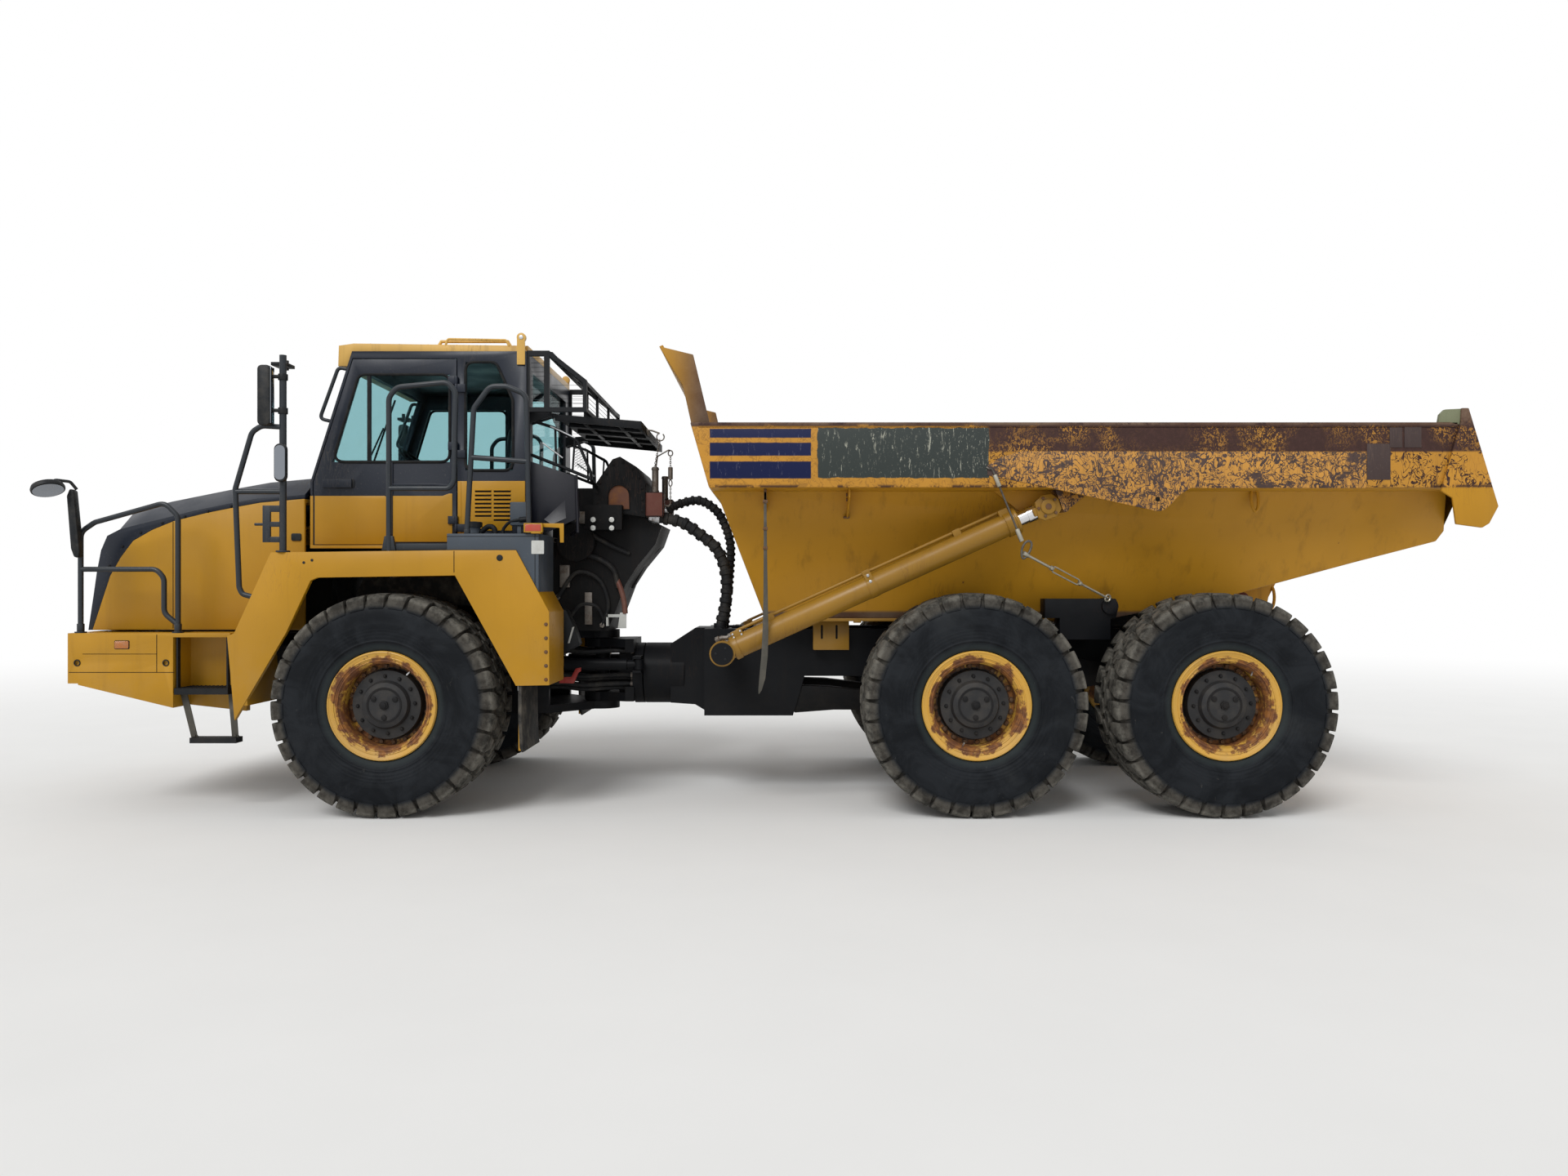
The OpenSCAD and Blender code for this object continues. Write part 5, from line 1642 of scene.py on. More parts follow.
@dataclass
class Cab:
    """Trim of the cab: yellow panels, seals, lock, louvres, wiper and roof lamps."""

    side: float = -0.850
    door: float = -0.852
    split: float = 2.334

    def build(self) -> None:
        """Builds the trim on the cab and on its door."""
        self.seals()
        self.panels()
        self.louvres()
        self.roof_fittings()
        self.lock()
        self.wiper()

    def seals(self) -> None:
        """Rubber round the windows."""
        window = [(-3.262, 2.592), (-3.062, 3.255), (-2.372, 3.255), (-2.372, 2.592)]
        side = [(-2.253, 2.528), (-2.253, 3.350), (-2.022, 3.350), (-1.893, 3.061), (-1.893, 2.528)]
        door = Shape()
        self.frame_round(door, window, self.door - 0.001)
        door.block((-2.996, self.door - 0.006, 2.590), (-2.974, self.door + 0.004, 3.258), 0.003)
        door.piece("door_window_seal", SEAL, "cab_door")
        fixed = Shape()
        self.frame_round(fixed, side, self.side - 0.001)
        fixed.mirrored()
        self.frame_round(fixed, window, 0.851)
        fixed.piece("side_window_seals", SEAL, "tractor")

    def frame_round(self, shape: Shape, outline: Sequence[Flat], y: float) -> None:
        """Adds a seal along an outline.

        Args:
            shape: shape to add to.
            outline: corners in x and z.
            y: face that it lies on.
        """
        n = len(outline)
        ring: list[Point] = []
        for i in range(n):
            a, b, c = outline[i - 1], outline[i], outline[(i + 1) % n]
            part = filleted([(a[0], y, a[1]), (b[0], y, b[1]), (c[0], y, c[1])], 0.07, 5)
            ring += part[1:-1]
        shape.tube(ring, 0.011, 8, closed=True)

    def panels(self) -> None:
        """Yellow lower panels of the door with their dark outline, and the strip behind it."""
        low = Shape()
        low.prism([(-3.396, 1.966), (-3.396, self.split), (-2.860, self.split), (-2.842, 2.300),
                   (-2.842, 2.000), (-2.860, 1.966)], self.door - 0.005, self.door + 0.002, bevel=0.0025)
        low.prism([(-2.806, 2.020), (-2.806, self.split), (-2.425, self.split), (-2.378, 2.352),
                   (-2.352, 2.352), (-2.352, 1.985), (-2.790, 1.985)], self.door - 0.005, self.door + 0.002,
                  bevel=0.0025)
        low.piece("door_panels", FENDER_PAINT, "cab_door")
        trim = Shape()
        trim.block((-2.846, self.door - 0.0105, 1.968), (-2.802, self.door, 2.600), 0.004)
        trim.prism([(-2.842, 2.428), (-2.842, 2.412), (-2.480, 2.412), (-2.352, 2.400), (-2.352, 2.416),
                    (-2.480, 2.428)], self.door - 0.006, self.door, bevel=0.002)
        trim.piece("door_strips", CAB_PAINT, "cab_door")
        strip = Shape()
        strip.block((-2.312, self.side - 0.004, 2.040), (-2.234, self.side + 0.001, 2.446), 0.002)
        strip.block((-2.290, self.side - 0.007, 2.045), (-2.284, self.side, 2.441), 0.001)
        strip.piece("pillar_strip", FENDER_PAINT, "tractor")
        frame_low = Shape()
        for y in (self.side - 0.0035, -self.side - 0.0015):
            frame_low.block((-3.431, y, 1.936), (-2.330, y + 0.005, 1.960), 0.001)
            frame_low.block((-3.431, y, 1.960), (-3.409, y + 0.005, self.split), 0.001)
        frame_low.piece("cab_sill", FENDER_PAINT, "tractor")
        right = Shape().prism([(-3.396, 1.966), (-3.396, self.split), (-2.352, self.split),
                               (-2.352, 1.966)], 0.8495, 0.8545, bevel=0.002)
        right.piece("right_panel", FENDER_PAINT, "tractor")

    def louvres(self) -> None:
        """Yellow vent panel behind the door, with two columns of slots, on both sides."""
        plate = [(-2.216, 2.070), (-2.216, 2.447), (-1.800, 2.447), (-1.800, 2.286), (-1.898, 2.286),
                 (-1.898, 2.070)]
        face = self.side - 0.008
        panel = Shape().prism(plate, face, self.side + 0.001, bevel=0.002)
        panel.mirrored().piece("vent_panel", FENDER_PAINT, "tractor", replaces=("cab_panels",))
        for column, (x, width, count) in enumerate(((-2.1170, 0.1240, 7), (-1.9720, 0.1290, 8))):
            for side in Side:
                # each slot is a flat black sheet behind its louvre: painted shade
                slot = Shape().prism([(-width / 2, -0.006), (width / 2, -0.006), (width / 2, 0.006),
                                      (-width / 2, 0.006)], -0.0012, 0.0012, bevel=0)
                hood = Shape().rings([[(s * width / 2, -0.0005, 0.016), (s * width / 2, -0.008, 0.010),
                                       (s * width / 2, -0.006, 0.006), (s * width / 2, -0.0005, 0.006)]
                                      for s in (-1, 1)], bevel=0.0015)
                low = 2.150 + (0.031 if column == 0 else 0.0)
                for label, item, finish in (("slots", slot, DARK_JOINTS_AND_SHADE), ("louvres", hood, FENDER_PAINT)):
                    GRID.make(f"vent_{label}_{column}_{side.tag}", item, finish, "tractor",
                              moved=mirror_y(side), Count=count, Rows=1, Start=(x, face, low),
                              Step=(0, 0, 0.031))

    def roof_fittings(self) -> None:
        """Lamps under the visor, caps on the rear brackets and bolts along the roof."""
        lamps = Shape()
        for y in (-0.700, 0.700):
            lamps.disc((-3.236, y, 3.405), (-1, 0, -0.1), 0.052, 0.016, 24, 0.003)
        lamps.piece("roof_lamps", CLEAR, "tractor")
        cap = Shape().disc((-1.828, -0.862, 3.536), OUT, 0.016, 0.004, 18, 0.001)
        cap.mirrored().piece("roof_bracket_caps", ZINC, "tractor")
        GRID.make("roof_bolts", bolt(0.009, 0.008, UP), ROOF_PAINT, "tractor", Count=6, Rows=2,
                  Start=(-3.000, -0.775, 3.4985), Step=(0.22, 0, -0.0030), Row_Step=(0, 1.55, 0))

    def lock(self) -> None:
        """Handle recess, its grip and the round lock."""
        cup = rounded((-3.250, 2.392), (-3.094, 2.463), 0.018)
        handle = Shape().prism(cup, self.door - 0.007, self.door, bevel=0.002)
        handle.piece("handle_cup", PLASTIC_BLACK, "cab_door")
        grip = rounded((-3.238, 2.408), (-3.106, 2.446), 0.010)
        handle = Shape().prism(grip, self.door - 0.012, self.door - 0.006, bevel=0.003)
        handle.piece("handle_grip", SEAL, "cab_door")
        lock = Shape()
        lock.disc((-3.302, self.door, 2.434), OUT, 0.021, 0.009, 24, 0.002)
        lock.disc((-3.302, self.door - 0.008, 2.434), OUT, 0.009, 0.003, 16, 0.001)
        lock.piece("door_lock", ZINC, "cab_door")

    def wiper(self) -> None:
        """Windscreen wiper with its arm."""
        shape = Shape()
        slope = Vector((0.318, 0, 1)).normalized()

        def on_glass(y: float, height: float, out: float) -> Point:
            """Point in front of the windscreen."""
            foot = Vector((-3.398, y, 2.500)) + slope * height
            return tuple(foot + out * Vector((-1, 0, 0.318)).normalized())
        shape.tube([on_glass(0.05, -0.03, 0.030), on_glass(0.22, 0.52, 0.030)], 0.008, 8)
        shape.tube([on_glass(0.20, 0.16, 0.016), on_glass(0.24, 0.78, 0.016)], 0.009, 6)
        shape.tube([on_glass(0.05, -0.03, 0.030), on_glass(0.05, -0.03, -0.030)], 0.022, 14)
        shape.piece("wiper", SEAL, "tractor")


@dataclass
class CabInside:
    """Seats, dash, steering wheel and console behind the glass."""

    seats: tuple[tuple[str, float, float, float], ...] = (
        ("driver", -2.30, 0.0, 0.250), ("second", -2.15, -0.52, 0.190))

    def build(self) -> None:
        """Builds the fittings and the seats."""
        self.fittings()
        for name, x, y, half in self.seats:
            self.seat(name, x, y, half)

    def fittings(self) -> None:
        """Dash, column, steering wheel, console and seat pedestals."""
        shape = Shape()
        shape.prism([(-3.380, 1.984), (-3.380, 2.430), (-3.300, 2.480), (-3.080, 2.520), (-3.050, 2.440),
                     (-3.180, 2.300), (-3.180, 1.984)], -0.780, 0.780, bevel=0.018)
        shape.prism([(-3.120, 2.515), (-3.165, 2.545), (-3.270, 2.520), (-3.290, 2.478)], -0.260, 0.260,
                    bevel=0.010)
        shape.prism([(-2.600, 1.984), (-2.600, 2.430), (-2.540, 2.470), (-2.060, 2.560), (-1.990, 2.540),
                     (-1.990, 1.984)], 0.290, 0.480, bevel=0.014)
        shape.tube([(-2.480, 0.385, 2.46), (-2.490, 0.380, 2.60)], 0.010, 10)
        shape.disc((-2.490, 0.380, 2.590), UP, 0.024, 0.050, 14, 0.008)
        axis = Vector((math.sin(0.686), 0, math.cos(0.686)))
        hub = Vector((-2.900, 0, 2.660))
        shape.tube([(-3.100, 0, 2.420), tuple(hub - 0.01 * axis)], 0.040, 18)
        across = Vector((0, 1, 0))
        up = axis.cross(across)
        rim = hub + 0.012 * axis
        ring = [tuple(rim + 0.186 * (across * math.cos(t) + up * math.sin(t))) for t in turns(56)]
        shape.tube(ring, 0.014, 10, closed=True)
        for turn in (0.5, 2.6, 4.7):
            way = across * math.cos(turn) + up * math.sin(turn)
            shape.tube([tuple(hub + 0.02 * way), tuple(rim + 0.18 * way)], 0.010, 8)
        shape.disc(tuple(hub - 0.01 * axis), tuple(axis), 0.046, 0.040, 24, 0.008)
        for _, x, y, half in self.seats:
            w = half - 0.07
            shape.rings([[(x - 0.18 * k, y - w * k, z), (x + 0.18 * k, y - w * k, z),
                          (x + 0.18 * k, y + w * k, z), (x - 0.18 * k, y + w * k, z)]
                         for z, k in ((1.984, 1.0), (2.02, 1.0), (2.05, 0.86), (2.22, 0.86), (2.245, 1.0))],
                        bevel=0.006)
            for sign in (-1, 1):
                if half > 0.2:
                    shape.prism(rounded((x - 0.12, 2.55), (x + 0.22, 2.595), 0.02),
                                y + sign * (half + 0.012) - 0.025, y + sign * (half + 0.012) + 0.025,
                                bevel=0.008)
                    shape.block((x + 0.14, y + sign * (half + 0.012) - 0.012, 2.36),
                                (x + 0.18, y + sign * (half + 0.012) + 0.012, 2.56), 0.004)
        shape.piece("cab_fittings", PLASTIC, "tractor", replaces=("cab_interior",))

    def seat(self, name: str, x: float, y: float, half: float) -> None:
        """Cushion, back and head rest of a seat.

        Args:
            name: name of the seat.
            x, y: its middle.
            half: half its width.
        """
        parts = [
            ("cushion", [(x - 0.255, 2.245), (x - 0.255, 2.352), (x - 0.20, 2.368), (x + 0.18, 2.352),
                         (x + 0.235, 2.330), (x + 0.235, 2.245)], half),
            ("back", [(x + 0.155, 2.375), (x + 0.205, 2.955), (x + 0.292, 2.955), (x + 0.285, 2.375)],
             half - 0.01),
            ("rest", [(x + 0.203, 2.968), (x + 0.218, 3.145), (x + 0.286, 3.145), (x + 0.294, 2.968)],
             0.128),
        ]
        for part, outline, width in parts:
            shape = Shape().prism(outline, y - width, y + width, bevel=0.022)
            obj = shape.piece(f"seat_{name}_{part}", SEAT_CLOTH, None, math.radians(60))
            pad(obj)
            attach(obj, "tractor")
            log.info("piece %s rides on tractor", obj.name)
        stay = Shape()
        for sign in (-1, 1):
            stay.tube([(x + 0.248, y + 0.05 * sign, 2.93), (x + 0.252, y + 0.05 * sign, 2.99)], 0.006, 8)
        stay.piece(f"seat_{name}_stays", ZINC, "tractor")


def pad(obj: bpy.types.Object, voxel: float = 0.012, cap: float = 0.010, shrink: float = 2.2,
        pressure: float = 4, frames: int = 20) -> None:
    """Swells a closed form as a padded cover by cloth pressure, within a cap.

    Args:
        obj: the form, linked to the scene.
        voxel: size of the remesh.
        cap: largest move of a point.
        shrink: how much smaller the form starts, in caps.
        pressure: pressure of the cloth.
        frames: steps of the simulation.
    """
    sizes = [max(v.co[i] for v in obj.data.vertices) - min(v.co[i] for v in obj.data.vertices)
             for i in range(3)]
    middle = Vector([sum(v.co[i] for v in obj.data.vertices) / len(obj.data.vertices) for i in range(3)])
    for vertex in obj.data.vertices:
        steps = [c * (1 - shrink * cap / size) for c, size in zip(vertex.co - middle, sizes)]
        vertex.co = middle + Vector(steps)
    remesh = obj.modifiers.new("grid", "REMESH")
    remesh.mode = "VOXEL"
    remesh.voxel_size = voxel
    baked(obj)
    rest = [v.co.copy() for v in obj.data.vertices]
    cloth = obj.modifiers.new("cloth", "CLOTH")
    cloth.settings.use_pressure = True
    cloth.settings.uniform_pressure_force = pressure
    cloth.settings.effector_weights.gravity = 0
    cloth.point_cache.frame_start, cloth.point_cache.frame_end = 1, frames
    for number in range(1, frames + 1):
        bpy.context.scene.frame_set(number)
    baked(obj)
    bpy.context.scene.frame_set(1)
    for vertex, start in zip(obj.data.vertices, rest):
        move = vertex.co - start
        if move.length > cap:
            vertex.co = start + move.normalized() * cap
    smooth = obj.modifiers.new("smooth", "SUBSURF")
    smooth.levels = smooth.render_levels = 1
    baked(obj)
    obj.data.polygons.foreach_set("use_smooth", [True] * len(obj.data.polygons))


@dataclass
class Lamps:
    """Lamps in the bumper, on its sides, on the deck boxes, behind the cab and at the tail."""

    head: Point = (-5.040, 0.950, 1.150)
    head_r: float = 0.078
    box_y: float = -0.520

    def build(self) -> None:
        """Builds the housings and the lenses."""
        body, lens = Shape(), Shape()
        r, (x, half, z) = self.head_r, self.head
        for y in (-half, half):
            body.lathe([(r, 0.0), (r, 0.048), (r - 0.004, 0.055), (r - 0.012, 0.055), (r - 0.014, 0.044),
                        (0.002, 0.040)], (x, y, z), (-1, 0, 0), 40, False)
            lens.lathe([(r - 0.0145, 0.041), (r - 0.016, 0.048), (0.030, 0.053), (0.002, 0.054)],
                       (x, y, z), (-1, 0, 0), 36, False)
        for x in (-1.340, -1.194):
            for z in (2.109, 2.174):
                body.lathe([(0.028, 0.0), (0.028, 0.012), (0.025, 0.016), (0.0225, 0.016), (0.021, 0.008),
                            (0.002, 0.006)], (x, self.box_y, z), OUT, 24, False)
                lens.lathe([(0.0212, 0.009), (0.020, 0.014), (0.010, 0.017), (0.001, 0.0175)],
                           (x, self.box_y, z), OUT, 24, False)
        body.piece("lamp_bezels", PLASTIC_BLACK, "tractor", replaces=("lamps",))
        lens.piece("lamp_lenses", CLEAR, "tractor")
        self.side()
        self.deck()
        self.tail()

    def side(self) -> None:
        """Amber lamps on the ends of the bumper."""
        base, lens = Shape(), Shape()
        base.prism(rounded((-4.703, 1.191), (-4.594, 1.253), 0.008), -1.2030, -1.1998)
        lens.prism(rounded((-4.699, 1.195), (-4.598, 1.249), 0.008), -1.2080, -1.2028, bevel=0.002)
        base.mirrored().piece("side_lamp_bases", PLASTIC_BLACK, "tractor")
        lens.mirrored().piece("side_lamps", AMBER, "tractor")

    def deck(self) -> None:
        """Red lamps in yellow frames on the deck boxes, with their angle brackets."""
        holder, lens = Shape(), Shape()
        for low, high in (((-1.676, 2.029), (-1.544, 2.037)), ((-1.676, 2.086), (-1.544, 2.094)),
                          ((-1.676, 2.037), (-1.666, 2.086)), ((-1.554, 2.037), (-1.544, 2.086))):
            holder.block((low[0], -1.4195, low[1]), (high[0], -1.3885, high[1]), 0.0015)
        holder.block((-1.625, -1.420, 2.021), (-1.556, -1.345, 2.029), 0.002)
        holder.block((-1.676, -1.392, 2.029), (-1.544, -1.386, 2.094), 0.001)
        holder.prism([(-1.546, 2.094), (-1.398, 2.094), (-1.398, 1.958), (-1.424, 1.958), (-1.428, 2.062),
                      (-1.546, 2.068)], -1.392, -1.386, bevel=0.0015)
        lens.prism(rounded((-1.666, 2.037), (-1.554, 2.086), 0.004), -1.4215, -1.3915, bevel=0.003)
        holder.mirrored().piece("deck_lamp_frames", FENDER_PAINT, "tractor")
        lens.mirrored().piece("deck_lamps", RED, "tractor")

    def tail(self) -> None:
        """Round lamps on plates at the end of the frame."""
        plate, lens = Shape(), Shape()
        plate.prism(rounded((0.190, 1.190), (0.3697, 1.290), 0.010), 3.860, 3.872, "x", 0.002)
        for y in (0.235, 0.315):
            plate.lathe([(0.036, 0.0), (0.036, 0.010), (0.031, 0.012), (0.031, 0.0)], (3.872, y, 1.240),
                        ALONG_X, 28)
            lens.lathe([(0.031, 0.0), (0.030, 0.012), (0.018, 0.016), (0.001, 0.017)], (3.872, y, 1.240),
                       ALONG_X, 28, False)
        plate.mirrored().piece("tail_lamp_plates", PLASTIC_BLACK, "rear_frame", replaces=("tail_lamps",))
        lens.mirrored().piece("tail_lamp_lenses", RED, "rear_frame")


@dataclass
class Front:
    """Seams, caps, flaps and small fittings of the bumper, the hood and the fenders."""

    bumper_y: float = -1.200
    hood_y: float = -0.880
    fender_y: float = -1.400

    def build(self) -> None:
        """Builds the fittings."""
        self.seams()
        self.caps()
        self.flaps()
        self.ladder_treads()
        self.hood_hardware()

    def seams(self) -> None:
        """Dark joints between the plates."""
        lines = Shape()
        for low, high in (((-4.3985, 1.021), (-4.3935, 1.296)), ((-5.035, 1.0190), (-4.270, 1.0235)),
                          ((-4.935, 1.1530), (-4.3985, 1.1565))):
            lines.block((low[0], self.bumper_y - 0.0010, low[1]), (high[0], self.bumper_y + 0.002, high[1]))
        lines.block((-2.1765, self.fender_y - 0.001, 1.745), (-2.1715, self.fender_y + 0.002, 1.898))
        lines.mirrored().piece("plate_seams", DARK_JOINTS_AND_SHADE, "tractor")
        seam = Shape().block((-4.4585, self.hood_y - 0.001, 1.330), (-4.4535, self.hood_y + 0.002, 2.136))
        seam.mirrored().piece("hood_seams", DARK_JOINTS_AND_SHADE, "hood")

    def caps(self) -> None:
        """Round caps, plugs and holes in the plate work."""
        caps = Shape()
        caps.lathe([(0.022, 0.0), (0.022, 0.004), (0.018, 0.007), (0.002, 0.0075)],
                   (-1.850, self.fender_y, 1.849), OUT, 24, False)
        for x, z in ((-3.239, 1.815), (-3.181, 1.832)):
            caps.disc((x, self.fender_y, z), OUT, 0.010, 0.002, 16, 0.0005)
        for x, z in ((-4.975, 1.090), (-4.330, 1.090)):
            caps.lathe([(0.0245, 0.0), (0.0245, 0.007), (0.018, 0.008), (0.018, 0.0)],
                       (x, self.bumper_y + 0.004, z), OUT, 28)
        caps.mirrored().piece("plate_caps", PLASTIC_BLACK, "tractor")
        GRID.pair("fender_bolts", lambda: bolt(0.010, 0.008, OUT), RUST_BOLT, "tractor", Count=1, Rows=5,
                  Start=(-1.522, self.fender_y, 0.985), Row_Step=(0.0, 0.0, 0.098))

    def flaps(self) -> None:
        """Rubber flaps behind the front wheels with their clamp strips."""
        flap, strip = Shape(), Shape()
        y0, y1 = -1.392, -0.878
        section = [(-1.7225, 0.955), (-1.6975, 0.955), (-1.6965, 0.70), (-1.690, 0.50), (-1.682, 0.470),
                   (-1.697, 0.468), (-1.712, 0.50), (-1.7215, 0.70)]
        flap.prism(section, y0, y1, bevel=0.003)
        strip.block((-1.7265, y0 + 0.01, 0.905), (-1.7215, y1 - 0.01, 0.945), 0.001)
        flap.mirrored().piece("mud_flaps", FLAP, "tractor")
        strip.mirrored().piece("flap_strips", ZINC, "tractor")

    def ladder_treads(self) -> None:
        """Grip pegs on the steps and the discs that the ladder hangs from."""
        GRID.pair("step_pegs", lambda: Shape().disc((0, 0, 0), UP, 0.006, 0.005, 8, 0), DARK_PAINT,
                  "tractor", Count=12, Rows=6, Start=(-4.245, -1.180, 0.9048), Step=(0.031, 0, 0),
                  Row_Step=(0, 0.038, 0))
        hanger = Shape()
        for x, foot in ((-4.245, -4.160), (-3.890, -3.858)):
            hanger.disc((x, -1.110, 0.868), OUT, 0.022, 0.010, 16, 0.002)
            hanger.disc((foot, -1.110, 0.540), OUT, 0.020, 0.010, 16, 0.002)
        hanger.mirrored().piece("step_hangers", DARK_PAINT, "tractor")

    def hood_hardware(self) -> None:
        """Latches at the back of the hood and bolts along its crown."""
        latch = Shape()
        for z in (1.52, 2.02):
            latch.prism(rounded((-3.560, z - 0.028), (-3.485, z + 0.028), 0.012), self.hood_y - 0.010,
                        self.hood_y + 0.002, bevel=0.003)
        latch.mirrored().piece("hood_latches", PLASTIC_BLACK, "hood")
        PATH.pair("crown_bolts", lambda: bolt(0.0085, 0.007, OUT), DARK_PAINT, "hood", Count=7,
                  route=[(-4.940, -0.8755, 1.800), (-4.800, -0.8755, 2.010), (-4.480, -0.8755, 2.152),
                         (-4.020, -0.8755, 2.254)])


@dataclass
class Deck:
    """Filler, pipes, box, blank plates and the dark panels on the deck boxes and fenders."""

    face: float = -1.392
    top: float = 2.021

    def build(self) -> None:
        """Builds the fittings."""
        cap = Shape()
        cap.lathe([(0.062, 0.064), (0.0625, 0.098), (0.058, 0.102), (0.020, 0.106), (0.002, 0.106)],
                  (-2.130, -1.060, self.top), UP, 20, False)
        cap.lathe([(0.050, -0.001), (0.056, 0.004), (0.056, 0.014), (0.0495, 0.018)],
                  (-2.130, -1.060, self.top), UP, 28)
        cap.piece("filler_cap", PLASTIC_BLACK, "tractor")
        pipe = Shape()
        pipe.tube(smooth_path([(-2.075, -1.060, 2.050), (-2.020, -1.070, 2.088), (-1.975, -1.085, 2.075),
                               (-1.960, -1.090, 2.018)], 6), 0.020, 14)
        pipe.tube(smooth_path([(-1.905, -1.100, 2.018), (-1.900, -1.100, 2.070), (-1.850, -1.110, 2.120),
                               (-1.780, -1.120, 2.135)], 6), 0.012, 12)
        pipe.disc((-1.780, -1.120, 2.135), (1, 0, 0.1), 0.020, 0.060, 16, 0.005)
        pipe.piece("deck_pipes", DARK_PAINT, "tractor")
        box = Shape()
        box.block((-1.850, -1.120, 2.094), (-1.722, -1.020, 2.268), 0.010)
        box.block((-1.800, -1.100, 2.018), (-1.770, -1.040, 2.098), 0.003)
        box.piece("deck_box", GREY_PAINT, "tractor")
        plates = Shape()
        plates.prism(rounded((-1.627, 1.877), (-1.538, 1.972), 0.006), self.face - 0.0025,
                     self.face + 0.001)
        plates.block((-1.600, -0.9135, 1.130), (-1.562, -0.9105, 1.390), 0.001)
        plates.block((-1.600, -0.9135, 1.002), (-1.572, -0.9105, 1.112), 0.001)
        plates.piece("blank_plates", LABEL, "tractor")
        seam = Shape()
        seam.block((-1.6035, self.face - 0.002, 1.655), (-1.6000, self.face + 0.001, 2.019))
        seam.block((-2.229, self.face - 0.0015, 2.000), (-1.576, self.face + 0.001, 2.003))
        seam.mirrored().piece("deck_box_seams", DARK_JOINTS_AND_SHADE, "tractor")
        self.corner()

    def corner(self) -> None:
        """Dark panels and angled covers behind the fenders, and the left one's plates and bar."""
        dark = Shape()
        dark.block((-1.640, -0.911, 0.960), (-1.505, -0.895, 1.470), 0.003)
        dark.prism([(-1.610, 1.470), (-1.505, 1.470), (-1.440, 1.330), (-1.400, 1.200), (-1.500, 1.150),
                    (-1.610, 1.160)], -0.780, -0.640, bevel=0.012)
        dark.block((-1.610, -0.900, 1.260), (-1.570, -0.770, 1.310), 0.003)
        dark.mirrored().piece("corner_panels", DARK_PAINT, "tractor")
        strip = [(-1.455, 1.335), (-1.440, 1.340), (-1.475, 1.215), (-1.490, 1.210)]
        Shape().prism(strip, -0.7835, -0.779).piece("corner_strip", LABEL, "tractor")
        plate = rounded((-1.557, 0.965), (-1.522, 1.132), 0.004)
        Shape().prism(plate, -0.9135, -0.9105).piece("yellow_plate", FENDER_PAINT, "tractor")
        bar = Shape()
        bar.prism([(-1.600, 0.888), (-1.600, 0.934), (-1.505, 0.938), (-1.470, 1.004), (-1.430, 1.012),
                   (-1.430, 0.980), (-1.450, 0.972), (-1.486, 0.886)], -0.575, -0.545, bevel=0.005)
        bar.tube([(-1.580, -0.460, 0.908), (-1.580, -0.585, 0.908)], 0.018, 16)
        bar.piece("lock_bar", RED_PAINT, "tractor")


@dataclass
class WindowGuard:
    """Diamond mesh in the guard behind the cab."""

    half: float = 0.812
    pitch: float = 0.034
    wire: float = 0.0016

    def cell(self, u: Vector, v: Vector) -> Shape:
        """Two crossed wires of one diamond."""
        return Shape().tube([tuple(-u), tuple(v)], self.wire, 4).tube([tuple(-v), tuple(u)], self.wire, 4)

    def panel(self, name: str, start: Point, along: Vector, across: Vector, count: int, rows: int,
              side: Optional[Side] = None) -> None:
        """Fills a flat opening with cells.

        Args:
            name: name of the piece.
            start: middle of the first cell.
            along, across: ways of the two directions.
            count, rows: cells each way.
            side: side for a panel that has a twin.
        """
        step, row = self.pitch * along.normalized(), self.pitch * across.normalized()
        GRID.make(name, self.cell(0.5 * step + 0.5 * row, 0.5 * step - 0.5 * row), DARK_PAINT, "tractor",
                  moved=mirror_y(side) if side else None, Count=count, Rows=rows, Start=start,
                  Step=tuple(step), Row_Step=tuple(row))

    def build(self) -> None:
        """Builds the mesh of the back, the slope and the sides."""
        y = Vector((0, 1, 0))
        cells = int(2 * self.half / self.pitch)
        edge = -self.half + 0.5 * self.pitch
        self.panel("guard_mesh_back", (-1.350, edge, 3.022), y, Vector(UP), cells, 5)
        slope = Vector((-0.275, 0, 0.212))
        self.panel("guard_mesh_slope", (-1.366, edge, 3.222), y, slope, cells, 8)
        for side in Side:
            self.panel(f"guard_mesh_side_{side.tag}", (-1.382, -0.825, 3.026), Vector((-1, 0, 0)),
                       Vector(UP), 7, 5, side)
            self.panel(f"guard_mesh_rear_{side.tag}", (-1.676, -0.825, 3.026), Vector((-1, 0, 0)),
                       Vector(UP), 3, 11, side)


